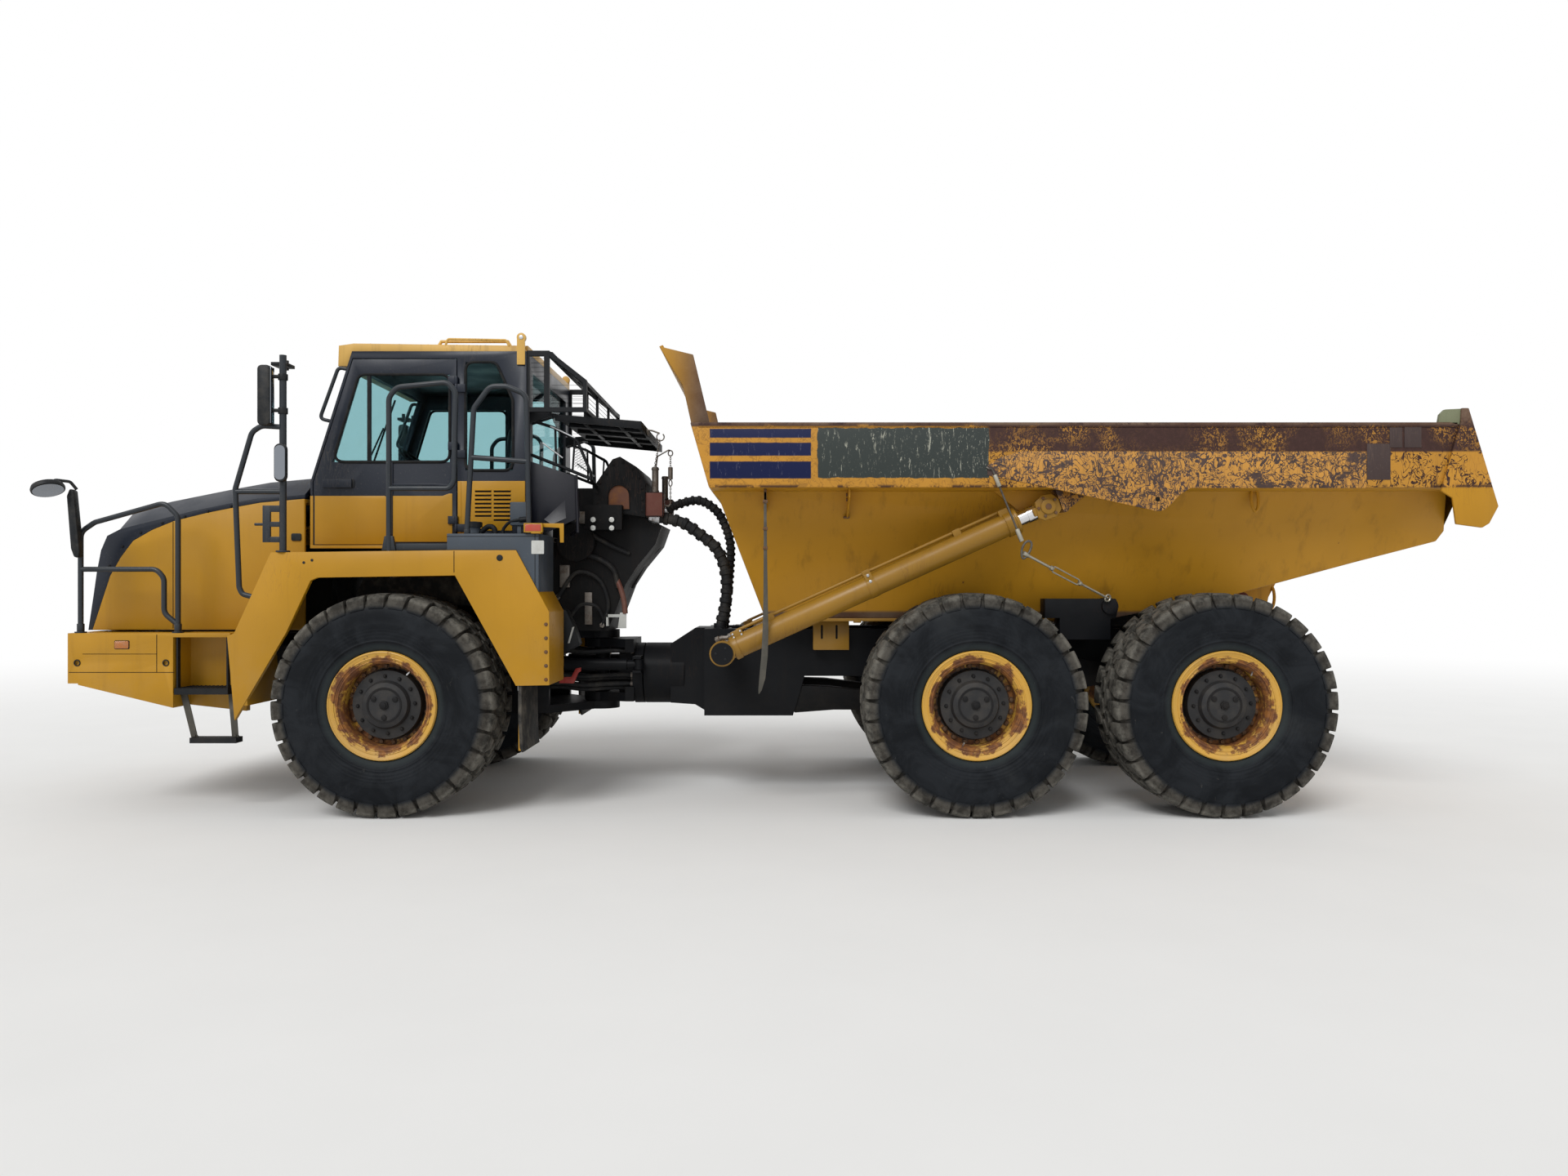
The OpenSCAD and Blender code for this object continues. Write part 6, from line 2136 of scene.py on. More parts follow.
@dataclass
class RearHousing:
    """Exhaust housing behind the cab with its recess, side panel, arms, hoses and hangers."""

    face: float = -0.450
    arm_y: float = -0.690
    stack: Flat = (-0.870, -0.360)
    tie_x: float = -0.748

    def build(self) -> None:
        """Builds the fittings."""
        self.recess()
        self.panel()
        self.arms()
        self.boxes()
        self.hangers()
        self.plumbing()

    def recess(self) -> None:
        """Rusty back of the arched opening and the bolts round the housing."""
        arch = [(-1.233, 2.262), (-1.067, 2.262)]
        arch += [(-1.150 + 0.083 * math.cos(t), 2.370 + 0.083 * math.sin(t))
                 for t in turns(14, math.pi, ends=1)]
        back = Shape().prism(arch, self.face + 0.0075, self.face + 0.0105)
        back.piece("exhaust_recess", RUSTY, "tractor")
        rim = Shape()
        ring = [(-1.237, self.face, 2.258), (-1.237, self.face, 2.370)]
        ring += [(-1.150 - 0.087 * math.cos(t), self.face, 2.370 + 0.087 * math.sin(t))
                 for t in turns(14, math.pi)[1:]]
        ring += [(-1.063, self.face, 2.370), (-1.063, self.face, 2.258)]
        rim.tube(ring, 0.006, 8, closed=True)
        rim.mirrored().piece("exhaust_rim", SOOT_PAINT, "tractor")
        route = [(-1.325, self.face, 2.300), (-1.325, self.face, 2.440), (-1.190, self.face, 2.625),
                 (-1.140, self.face, 2.650), (-1.020, self.face, 2.575), (-0.965, self.face, 2.470),
                 (-0.965, self.face, 2.250)]
        PATH.pair("housing_bolts", lambda: bolt(0.011, 0.008, OUT), SOOT_PAINT, "tractor", Count=11,
                  route=route)

    def panel(self) -> None:
        """Curved gloss panel between the cab and the housing."""
        outline = [(-1.788, 2.610), (-1.420, 2.487), (-1.402, 2.175), (-1.640, 2.062), (-1.788, 2.150)]
        shape = Shape()
        loops = []
        for depth in (0.0, 0.014):
            loops.append([(x, -0.800 + depth + 0.25 * (x + 1.60) ** 2 * 4, z) for x, z in outline])
        shape.rings(loops, bevel=0.006)
        shape.block((-1.795, -0.790, 2.300), (-1.770, -0.700, 2.360), 0.003)
        shape.tube([(-1.428, -0.770, 2.500), (-1.415, -0.770, 2.060)], 0.012, 12)
        shape.tube([(-1.415, -0.770, 2.075), (-1.500, -0.520, 2.060), (-1.560, -0.330, 2.060)], 0.012, 10)
        shape.piece("rear_side_panel", BLACK_GLOSS, "tractor")

    def arms(self) -> None:
        """Arms and mesh beside the cover behind the cab."""
        y = self.arm_y
        arms = Shape()
        for path, radius in (([(-1.790, y, 2.930), (-1.620, y, 2.878), (-1.435, y, 2.775),
                               (-1.330, y, 2.530), (-1.330, y, 2.470)], 0.012),
                             ([(-1.790, y, 2.665), (-1.560, y, 2.575), (-1.330, y, 2.480)], 0.013),
                             ([(-1.605, y, 2.870), (-1.598, y, 2.595)], 0.009),
                             ([(-1.455, y, 2.780), (-1.470, y, 2.550)], 0.008)):
            arms.tube(filleted(path, 0.04), radius, 10)
        arms.tube([(-1.330, y, 2.476), (-1.330, -0.452, 2.440)], 0.012, 10)
        arms.mirrored().piece("cover_arms", DARK_PAINT, "tractor")
        along = Vector((0.022, 0, -0.009))
        cross = Shape().tube([tuple(-0.5 * along), tuple(0.5 * along)], 0.0016, 4)
        cross.tube([(-0.011, 0, -0.011), (0.011, 0, 0.011)], 0.0016, 4)
        GRID.make("arm_mesh", cross, DARK_PAINT, "tractor", Count=5, Rows=8, Start=(-1.448, y, 2.735),
                  Step=tuple(along), Row_Step=(0.0005, 0, -0.022))
        rods = Shape()
        rods.tube([(-1.640, y - 0.015, 2.885), (-1.450, y - 0.015, 2.795)], 0.006, 8)
        rods.tube([(-1.700, y - 0.015, 2.755), (-1.545, y - 0.015, 2.640)], 0.006, 8)
        rods.mirrored().piece("gas_struts", ZINC, "tractor")

    def boxes(self) -> None:
        """Rusty side boxes with their stacks."""
        box = Shape().block((-0.9463, -0.4313, 2.2047), (-0.7987, -0.2887, 2.4013), 0.010)
        box.mirrored().piece("stack_boxes", BROWN_PAINT, "tractor")
        stack = Shape()
        stack.lathe([(0.0265, 0.0), (0.0265, 0.205), (0.024, 0.2055), (0.023, 0.204), (0.022, 0.150),
                     (0.002, 0.149)], (*self.stack, 2.4003), UP, 24, False)
        for z in (2.412, 2.590):
            stack.lathe([(0.0266, -0.008), (0.031, -0.006), (0.031, 0.006), (0.0266, 0.008)],
                        (*self.stack, z), UP, 24)
        stack.mirrored().piece("stacks", DULL_STEEL, "tractor")

    def hangers(self) -> None:
        """Hook on the cover and the two chains that hang beside the stacks."""
        x, y, beside = self.tie_x, self.stack[1], -0.410
        hook = Shape()
        hook.tube(filleted([(-0.950, beside, 2.900), (-0.890, beside, 2.893), (-0.832, beside, 2.872)],
                           0.02), 0.007, 8)
        hook.tube([(-0.823 + 0.030 * math.cos(t), beside, 2.842 + 0.030 * math.sin(t))
                   for t in turns(22, 1.72 * math.pi, 0.55 * math.pi, 1)], 0.005, 8)
        hook.piece("cover_hook", DULL_STEEL, "rear_cover")
        link = self.link()
        chain = PATH.make("cover_chain", link, DULL_STEEL, None, Count=14, Roll=math.pi / 2,
                          route=[(-0.829, beside, 2.815), (-0.868, beside, 2.602)])
        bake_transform(chain)
        stay = Shape()
        stay.tube([(-0.870, y, 2.560), (-0.850, y - 0.02, 2.690), (-0.760, y - 0.02, 2.742),
                   (x, y, 2.740)], 0.006, 8)
        ring = [(x + 0.018 * math.cos(t), y, 2.718 + 0.022 * math.sin(t)) for t in turns(16)]
        stay.tube(ring, 0.005, 8, closed=True)
        stay.lathe([(0.017, 0.0), (0.019, 0.004), (0.019, 0.094), (0.017, 0.098)],
                   (x, y, 2.508), UP, 20, False)
        ring = [(x + 0.013 * math.cos(t), y, 2.478 + 0.026 * math.sin(t)) for t in turns(16)]
        stay.tube(ring, 0.0045, 8, closed=True)
        stay.tube(filleted([(-0.800, y, 2.300), (-0.762, y, 2.292), (x, y, 2.312)], 0.01), 0.006, 8)
        stay.piece("hanging_tie", DULL_STEEL, "tractor")
        PATH.make("hanging_chain_top", self.link(), DULL_STEEL, "tractor", Count=6, Roll=math.pi / 2,
                  route=[(x, y, 2.692), (x, y, 2.612)])
        PATH.make("hanging_chain_low", self.link(), DULL_STEEL, "tractor", Count=9, Roll=math.pi / 2,
                  route=[(x, y, 2.448), (x, y, 2.316)])

    def link(self) -> Shape:
        """One chain link, long way on X."""
        ring = [(0.0115 * math.cos(t), 0.0065 * math.sin(t), 0) for t in turns(10)]
        return Shape().tube(ring, 0.0026, 5, closed=True)

    def plumbing(self) -> None:
        """Hoses, valves and brackets on the dark block behind the cab."""
        hoses = Shape()
        for radius, points in (
                (0.019, [(-1.640, -0.345, 2.240), (-1.470, -0.372, 2.120), (-1.250, -0.365, 1.990),
                         (-1.080, -0.335, 1.910)]),
                (0.016, [(-1.660, -0.345, 1.560), (-1.500, -0.375, 1.760), (-1.320, -0.368, 1.700),
                         (-1.250, -0.350, 1.500), (-1.300, -0.338, 1.335)]),
                (0.021, [(-1.600, -0.350, 1.930), (-1.400, -0.372, 1.900), (-1.220, -0.362, 1.800),
                         (-1.170, -0.345, 1.640)]),
                (0.014, [(-1.560, -0.345, 1.400), (-1.460, -0.400, 1.500), (-1.340, -0.400, 1.490),
                         (-1.290, -0.345, 1.390)]),
                (0.015, [(-1.680, -0.345, 2.020), (-1.560, -0.385, 1.990), (-1.440, -0.380, 2.060),
                         (-1.300, -0.345, 2.230)]),
                (0.018, [(-0.990, -0.250, 1.960), (-0.960, -0.150, 1.930), (-0.985, -0.050, 1.900),
                         (-1.060, -0.020, 1.800)]),
                (0.020, [(-0.890, 0.200, 2.060), (-0.900, 0.120, 1.980), (-1.010, 0.100, 1.860),
                         (-1.130, 0.120, 1.640)])):
            hoses.tube(smooth_path(points, 7), radius, 10)
        hoses.piece("rear_hoses", HOSE, "tractor")
        ends = Shape()
        for x, z, radius in ((-1.640, 2.240, 0.026), (-1.660, 1.560, 0.023), (-1.600, 1.930, 0.028),
                             (-1.560, 1.400, 0.020), (-1.680, 2.020, 0.021), (-1.300, 1.335, 0.022)):
            ends.disc((x, -0.333, z), OUT, radius, 0.020, 6, 0.002)
        for low, high in (((-1.520, -0.366, 2.150), (-1.400, -0.329, 2.250)),
                          ((-1.640, -0.358, 1.640), (-1.560, -0.329, 1.820)),
                          ((-1.440, -0.352, 1.340), (-1.380, -0.329, 1.600))):
            ends.block(low, high, 0.005)
        ends.piece("rear_valves", DULL_STEEL, "tractor")
        route = smooth_path([(-1.180, -0.342, 1.700), (-1.140, -0.372, 1.610), (-1.118, -0.375, 1.520),
                             (-1.110, -0.372, 1.430)], 6)
        Shape().tube(route, 0.022, 14).piece("red_sleeve", BROWN_PAINT, "tractor")
        wedge = Shape()
        wedge.prism([(-1.150, 1.438), (-1.098, 1.438), (-1.100, 1.312), (-1.168, 1.312)], -0.385, -0.377,
                    bevel=0.001)
        wedge.block((-1.262, -0.380, 1.400), (-1.120, -0.372, 1.424), 0.001)
        wedge.block((-1.262, -0.380, 1.330), (-1.246, -0.325, 1.424), 0.001)
        wedge.piece("hose_bracket", LABEL, "tractor")


@dataclass
class RearCover:
    """Stiffeners, bolts and tip bracket of the raised cover behind the cab."""

    front: Flat = (-1.600, 2.9585)
    back: Flat = (-0.940, 2.9045)
    half: float = 0.698
    plate: float = 0.016

    def height(self, x: float) -> float:
        """Underside of the cover at an x."""
        (x0, z0), (x1, z1) = self.front, self.back
        return z0 + (z1 - z0) * (x - x0) / (x1 - x0)

    def build(self) -> None:
        """Builds the ribs under the cover, the bolts on it and the bracket at its tip."""
        ribs = Shape()
        for y in (-0.36, 0.0, 0.36):
            loops = []
            for x in (-1.560, -0.990):
                z = self.height(x)
                loops.append([(x, y - 0.022, z - 0.024), (x, y + 0.022, z - 0.024), (x, y + 0.022, z),
                              (x, y - 0.022, z)])
            ribs.rings(loops, bevel=0.003)
        for x in (-1.400, -1.120):
            z = self.height(x)
            ribs.block((x - 0.016, -self.half, z - 0.022), (x + 0.016, self.half, z - 0.001), 0.003)
        ribs.piece("cover_ribs", DARK_PAINT, "rear_cover")
        PATH.pair("cover_bolts", lambda: bolt(0.009, 0.007, UP), ZINC, "rear_cover", Count=6,
                  route=[(x, -0.660, self.height(x) + self.plate) for x in (-1.550, -0.990)])
        tip = Shape()
        tip.block((-0.962, -0.400, 2.868), (-0.930, -0.320, 2.902), 0.003)
        tip.prism([(-0.985, 2.925), (-0.935, 2.921), (-0.925, 2.895), (-0.925, 2.862), (-0.932, 2.862),
                   (-0.935, 2.893), (-0.942, 2.913), (-0.985, 2.916)], -0.420, -0.300, bevel=0.0015)
        tip.piece("cover_tip", DULL_STEEL, "rear_cover")


@dataclass
class RoofRod:
    """Grab rod on the roof."""

    roof: float = 3.503

    def build(self) -> None:
        """Builds the rod."""
        rod = Shape()
        rod.tube(filleted([(-2.420, -0.795, self.roof - 0.010), (-2.405, -0.795, self.roof + 0.034),
                           (-1.960, -0.795, self.roof + 0.026), (-1.935, -0.795, self.roof - 0.020)], 0.02),
                 0.009, 10)
        rod.piece("roof_grab_rods", ROOF_PAINT, "tractor")


# Hoses, underside, bed and cylinders

@dataclass
class Hoses:
    """Ribbed hoses that arch over the hitch, each as two parts that meet on it."""

    upper: tuple[Point, ...] = (
        (-0.828, -0.050, 2.261), (-0.719, -0.050, 2.329), (-0.542, -0.050, 2.363), (-0.400, -0.050, 2.281),
        (-0.320, -0.050, 2.145), (-0.280, -0.050, 1.989), (-0.285, -0.050, 1.805), (-0.300, -0.050, 1.601),
        (-0.320, -0.050, 1.397), (-0.335, -0.050, 1.315))
    lower: tuple[Point, ...] = (
        (-0.863, -0.330, 2.202), (-0.758, -0.330, 2.189), (-0.639, -0.330, 2.156), (-0.507, -0.330, 2.063),
        (-0.388, -0.330, 1.964), (-0.323, -0.330, 1.833), (-0.296, -0.330, 1.668), (-0.309, -0.330, 1.503),
        (-0.336, -0.330, 1.371), (-0.350, -0.330, 1.315))
    collars: tuple[float, float] = (0.041, 0.052)
    bulkhead: float = 1.290
    steps: int = 8

    def build(self) -> None:
        """Builds both hoses, their end fittings and the plate that they reach."""
        for name, points, meet, radius, pitch in (("upper", self.upper, 2, 0.032, 0.045),
                                                  ("lower", self.lower, 3, 0.041, 0.068)):
            route = smooth_path(points, self.steps)
            cut = meet * self.steps
            self.part(f"hose_{name}_front", route[:cut + 1], radius, pitch, "tractor", "hitch")
            self.part(f"hose_{name}_rear", route[cut:], radius, pitch, "hitch", "rear_frame")
        self.ends()

    def part(self, name: str, route: Sequence[Point], radius: float, pitch: float, before: str,
             after: str) -> None:
        """One stretch of hose between two bodies.

        Args:
            name: name of the piece.
            route: points of its centre line.
            radius: radius between the ribs.
            pitch: distance of the ribs.
            before, after: bodies that hold its ends.
        """
        length = sum((Vector(b) - Vector(a)).length for a, b in zip(route, route[1:]))
        top = 1.24 * radius
        rib = Shape().lathe([(radius - 0.003, -0.34 * pitch), (top, -0.22 * pitch), (top + 0.001, 0.0),
                             (top, 0.22 * pitch), (radius - 0.003, 0.34 * pitch)], (0, 0, 0), ALONG_X, 20)
        ribs = PATH.make(f"{name}_ribs", rib, HOSE, None, Count=max(2, round(length / pitch)),
                         route=list(route))
        shape = Shape().tube(route, radius, 20)
        shape.bm.from_mesh(ribs.data)
        bpy.data.objects.remove(ribs)
        obj = shape.piece(name, HOSE, None)
        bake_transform(obj)
        log.info("piece %s crosses from %s to %s", name, before, after)

    def ends(self) -> None:
        """Collars at the housing and fittings through the plate on the rear frame."""
        front = Shape()
        for points, radius in zip((self.upper, self.lower), self.collars):
            start, ahead = Vector(points[0]), Vector(points[1])
            way = (ahead - start).normalized()
            front.disc(tuple(start - 0.030 * way), tuple(way), radius, 0.060, 24, 0.004)
            front.disc(tuple(start - 0.060 * way), tuple(way), 0.80 * radius, 0.032, 6, 0.002)
        front.piece("hose_collars", ZINC, "tractor")
        rear = Shape()
        rear.prism(rounded((-0.400, -0.400), (-0.270, 0.020), 0.020), self.bulkhead, self.bulkhead + 0.014,
                   "z", 0.002)
        for points, radius in zip((self.upper, self.lower), self.collars):
            x, y, _ = points[-1]
            rear.disc((x, y, self.bulkhead + 0.012), UP, radius, 0.050, 24, 0.004)
            rear.disc((x, y, self.bulkhead + 0.012), UP, 1.18 * radius, 0.014, 6, 0.002)
        rear.piece("hose_plate", DARK_PAINT, "rear_frame")


@dataclass
class Underside:
    """Wheel arch liners, ladder straps, trailing arms and the hoses through the hitch."""

    liner_y: float = -0.700
    strap_y: float = -1.124
    arm_y: float = -0.440

    def build(self) -> None:
        """Builds the pieces of both sides."""
        liner = Shape().prism([(-3.080, 1.712), (-2.200, 1.722), (-2.130, 1.620), (-2.160, 1.500),
                               (-2.700, 1.500), (-3.110, 1.500), (-3.140, 1.600)], self.liner_y - 0.003,
                              self.liner_y + 0.003, bevel=0.001)
        liner.mirrored().piece("arch_liners", FLAP, "tractor")
        strap = Shape()
        for top, foot in ((-4.245, -4.160), (-3.890, -3.862)):
            strap.prism([(top - 0.026, 0.882), (top + 0.026, 0.882), (foot + 0.024, 0.534),
                         (foot - 0.024, 0.534)], self.strap_y - 0.004, self.strap_y + 0.004, bevel=0.002)
            for x, z in ((top, 0.862), (foot, 0.552)):
                strap.disc((x, self.strap_y - 0.004, z), OUT, 0.011, 0.007, 6, 0.001)
        strap.mirrored().piece("ladder_straps", STRIP_RUBBER, "tractor")
        arm = Shape()
        arm.prism([(0.200, 0.862), (0.520, 0.852), (0.960, 0.800), (1.380, 0.800), (1.380, 0.690),
                   (0.960, 0.664), (0.560, 0.664), (0.245, 0.640)], self.arm_y, self.arm_y + 0.110,
                  bevel=0.012)
        arm.mirrored().piece("trailing_arms", SOOT_PAINT, "rear_frame")
        self.hitch_hoses()

    def hitch_hoses(self) -> None:
        """Hydraulic hoses from the tractor to the flange of the hitch."""
        hoses, ends = Shape(), Shape()
        for y, z, radius in ((-0.165, 0.815, 0.019), (-0.205, 0.853, 0.021), (-0.160, 0.892, 0.019),
                             (-0.200, 0.922, 0.018), (-0.190, 1.118, 0.019)):
            route = smooth_path([(-1.820, y - 0.02, z + 0.010), (-1.640, y, z + 0.006),
                                 (-1.470, y - 0.016, z - 0.008), (-1.310, y, z),
                                 (-1.190, y + 0.006, z + 0.003), (-1.090, y + 0.010, z)], 5)
            hoses.tube(route, radius, 12)
            ends.disc((-1.092, y + 0.010, z), ALONG_X, radius + 0.005, 0.026, 6, 0.002)
        obj = hoses.mirrored().piece("hitch_hoses", HOSE, None)
        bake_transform(obj)
        ends.mirrored().piece("hitch_hose_ends", DULL_STEEL, "hitch")


@dataclass
class Bed:
    """Plates, ribs, strap, rope, rings and brackets of the bed."""

    band: float = -1.420
    foot: float = 2.345
    top: float = 2.807
    hang_y: float = -1.352

    def build(self) -> None:
        """Builds the fittings."""
        self.side_plates()
        self.ribs()
        self.strap()
        self.rope()
        self.rings()
        self.brackets()
        self.tail()

    def side_plates(self) -> None:
        """Long wear plate welded on the band, with the gusset below it."""
        outline = [(1.603, 2.500), (1.603, 2.432), (1.995, 2.354), (2.752, 2.189), (2.790, 2.179),
                   (2.826, 2.180), (2.856, 2.189), (2.905, 2.232), (2.965, 2.296), (3.040, 2.342),
                   (4.282, 2.342), (4.282, 2.598), (3.200, 2.600), (1.840, 2.602), (1.700, 2.560)]
        plate = Shape().prism(outline, self.band - 0.0045, self.band + 0.002, bevel=0.0015)
        plate.mirrored().piece("wear_plates", WEAR_PAINT, "bed")
        rail = Shape().block((-0.440, self.band - 0.006, self.top - 0.034),
                             (4.925, self.band + 0.002, self.top - 0.001), 0.002)
        rail.mirrored().piece("band_top_rails", BED_PAINT, "bed")
        patch = Shape()
        for low, high in (((4.445, 2.628), (4.535, 2.770)), ((4.550, 2.628), (4.670, 2.775))):
            patch.block((low[0], self.band - 0.0035, low[1]), (high[0], self.band + 0.002, high[1]), 0.001)
        patch.block((4.285, self.band - 0.003, 2.400), (4.452, self.band + 0.002, 2.655), 0.001)
        patch.mirrored().piece("band_patches", SCUFFED_STEEL, "bed")
        place = (2.804, self.band - 0.004, 2.262)
        eye = Shape().lathe([(0.030, 0.0), (0.030, 0.006), (0.017, 0.006), (0.017, 0.0)], place, OUT, 24)
        eye.mirrored().piece("gusset_eyes", WEAR_PAINT, "bed")
        # black disc in the eye: painted shade in its hole
        hole = Shape().disc(place, OUT, 0.017, 0.001, 20, 0)
        hole.mirrored().piece("gusset_holes", DARK_JOINTS_AND_SHADE, "bed")

    def ribs(self) -> None:
        """Ribs between the tub and the band, and bolts and plugs on them."""
        ribs = Shape()
        for x, low in ((0.025, 2.200), (0.627, 2.150)):
            foot = -1.120 + (2.345 - low) * 0.44
            ribs.prism([(-1.345, self.foot), (-1.345, self.foot - 0.06), (foot - 0.03, low),
                        (foot + 0.010, low), (-1.108, self.foot)], x, x + 0.012, "x", 0.002)
        ribs.mirrored().piece("band_ribs", BED_PAINT, "bed")
        bits = Shape()
        bits.block((0.605, -1.075, 2.150), (0.650, -1.035, 2.165), 0.003)
        for z in (2.310, 2.275):
            bits.disc((0.624, -1.240, z), (-1, 0, 0), 0.013, 0.010, 6, 0.001)
        bits.mirrored().piece("rib_bolts", RUST_BOLT, "bed")

    def strap(self) -> None:
        """Rubber strip that hangs from the front rib, with its clamps."""
        y = self.hang_y
        loops = []
        for x, z, half, thick in ((0.031, 2.320, 0.008, 0.004), (0.031, 2.210, 0.010, 0.004),
                                  (0.032, 1.900, 0.012, 0.004), (0.034, 1.560, 0.016, 0.004),
                                  (0.033, 1.330, 0.021, 0.004), (0.026, 1.150, 0.023, 0.004),
                                  (0.010, 0.990, 0.022, 0.004), (-0.006, 0.905, 0.012, 0.003),
                                  (-0.014, 0.880, 0.003, 0.002)):
            loops.append([(x - half, y - thick, z), (x + half, y - thick, z), (x + half, y + thick, z),
                          (x - half, y + thick, z)])
        Shape().rings(loops, bevel=0.001).piece("hanging_strip", STRIP_RUBBER, "bed")
        clamps = Shape()
        clamps.block((0.022, y - 0.004, 2.250), (0.040, y + 0.030, 2.342), 0.002)
        for z in (2.252, 2.058, 1.920):
            clamps.block((0.015, y - 0.009, z - 0.012), (0.049, y + 0.007, z + 0.012), 0.002)
            clamps.disc((0.024, y - 0.009, z), OUT, 0.008, 0.006, 6, 0.001)
        clamps.piece("strip_clamps", RUST_BOLT, "bed")

    def rope(self) -> None:
        """Wire rope from the band with its sleeves, thimble and turnbuckle."""
        y = self.band
        top, eye = Vector((1.640, y - 0.012, 2.462)), Vector((1.838, y - 0.004, 1.985))
        wire = Shape()
        curve = smooth_path([(1.596, y - 0.006, 2.488), (1.612, y - 0.014, 2.476), tuple(top),
                             tuple(top.lerp(eye, 0.34)), tuple(top.lerp(eye, 0.67)), tuple(eye)], 6)
        wire.tube(curve, 0.0075, 10)
        loop = [(1.876 + 0.030 * math.cos(t) * (1 + 0.25 * math.sin(t)) + 0.018 * math.sin(t), y - 0.004,
                 1.905 + 0.062 * math.sin(t)) for t in turns(20, start=0.62 * math.pi)]
        wire.tube(loop, 0.0085, 10, closed=True)
        wire.piece("tail_rope", ROPE_STEEL, "bed")
        sleeves = Shape()
        way = (eye - top).normalized()
        for share, length in ((0.06, 0.090), (0.86, 0.095)):
            sleeves.disc(tuple(top.lerp(eye, share)), tuple(way), 0.017, length, 16, 0.003)
        sleeves.piece("rope_sleeves", SLEEVE_METAL, "bed")
        hook = Shape()
        start, end = Vector((1.884, y + 0.002, 1.868)), Vector((2.560, -1.060, 1.560))
        axis = (end - start).normalized()
        side = axis.cross(Vector((0, 1, 0))).normalized()
        hook.tube([tuple(start - 0.02 * axis), tuple(start.lerp(end, 0.28))], 0.010, 10)
        hook.disc(tuple(start - 0.035 * axis), tuple(axis), 0.017, 0.050, 14, 0.004)
        a, b = start.lerp(end, 0.28), start.lerp(end, 0.66)
        hook.disc(tuple(a), tuple(axis), 0.019, 0.026, 6, 0.003)
        hook.disc(tuple(b - 0.026 * axis), tuple(axis), 0.019, 0.026, 6, 0.003)
        for sign in (-1, 1):
            hook.tube([tuple(a + 0.010 * axis), tuple(a + 0.035 * axis + sign * 0.020 * side),
                       tuple(b - 0.035 * axis + sign * 0.020 * side), tuple(b - 0.010 * axis)], 0.006, 8)
        hook.tube([tuple(b - 0.02 * axis), tuple(end)], 0.009, 10)
        ring = [tuple(end + 0.024 * (axis * math.cos(t) + side * math.sin(t))) for t in turns(16)]
        hook.tube(ring, 0.008, 8, closed=True)
        hook.piece("turnbuckle", SLEEVE_METAL, "bed")

    def rings(self) -> None:
        """Oval rings on the tub."""
        rings = Shape()
        rings.tube([(3.617 + 0.026 * math.cos(t), -1.117 - 0.016 + 0.012 * math.sin(t),
                     2.285 + 0.088 * math.sin(t)) for t in turns(24)], 0.011, 10, closed=True)
        rings.mirrored().piece("tub_rings", BED_PAINT, "bed")

    def brackets(self) -> None:
        """Guides beside the frame, rails under the floor, hinge plates and hoist brackets."""
        guide = Shape()
        guide.block((0.394, -0.564, 1.152), (0.402, -0.492, 1.403), 0.002)
        guide.prism(rounded((0.398, 1.150), (0.676, 1.403), 0.012), -0.566, -0.558, bevel=0.002)
        guide.block((0.668, -0.564, 1.152), (0.676, -0.492, 1.403), 0.002)
        guide.block((0.398, -0.564, 1.148), (0.676, -0.492, 1.157), 0.002)
        guide.block((0.410, -0.700, 1.386), (0.664, -0.560, 1.399), 0.002)
        guide.mirrored().piece("guide_boxes", CYLINDER_PAINT, "bed")
        slots = Shape()
        # black slots on the guide faces: painted shade
        for x in (0.462, 0.578):
            slots.prism(rounded((x - 0.008, 1.235), (x + 0.008, 1.345), 0.007), -0.5672, -0.5655)
        slots.mirrored().piece("guide_slots", DARK_JOINTS_AND_SHADE, "bed")
        rail = Shape()
        rail.block((0.130, -0.712, 1.378), (2.640, -0.690, 1.402), 0.003)
        for x in (0.700, 1.010):
            rail.block((x, -0.730, 1.366), (x + 0.060, -0.700, 1.392), 0.004)
        rail.mirrored().piece("floor_rails", CYLINDER_PAINT, "bed")
        hinge = Shape()
        hinge.prism([(3.700, 1.598), (3.760, 1.500), (3.840, 1.452), (3.950, 1.448), (4.030, 1.500),
                     (4.060, 1.640), (4.150, 1.742)], -0.402, -0.372, bevel=0.004)
        hinge.tube([(4.060 + 0.035 * math.cos(t), -0.388, 1.560 + 0.095 * math.sin(t)) for t in turns(24)],
                   0.012, 10, closed=True)
        hinge.mirrored().piece("hinge_plates", BED_PAINT, "bed")
        pin = Shape()
        pin.disc((3.900, -0.450, 1.430), OUT, 0.052, 0.010, 24, 0.003)
        pin.disc((3.835, -0.400, 1.560), OUT, 0.040, 0.022, 24, 0.004)
        pin.mirrored().piece("hinge_caps", RED_BROWN, "bed")
        eye = Shape()
        eye.prism([(2.110, 2.352), (2.160, 2.352), (2.212, 2.200), (2.198, 2.182), (2.172, 2.186)], -1.300,
                  -1.150, bevel=0.003)
        eye.prism([(2.130, 2.350), (2.420, 2.350), (2.214, 2.186), (2.176, 2.186)], -1.158, -1.148,
                  bevel=0.002)
        eye.mirrored().piece("hoist_brackets", WEAR_PAINT, "bed")

    def tail(self) -> None:
        """Caps on the tail plates, each with its hole."""
        cap = Shape()
        cap.prism([(4.790, 2.806), (4.800, 2.862), (4.836, 2.897), (4.984, 2.904), (5.006, 2.892),
                   (5.030, 2.790), (4.905, 2.792), (4.870, 2.806)], self.band - 0.006, self.band + 0.024,
                  bevel=0.003)
        cap.mirrored().piece("tail_caps", CAP_PAINT, "bed")
        # black block for each cap's hole: painted shade
        hole = Shape().block((4.944, self.band - 0.006, 2.860), (4.972, self.band - 0.002, 2.884), 0.001)
        hole.mirrored().piece("tail_cap_holes", DARK_JOINTS_AND_SHADE, "bed")


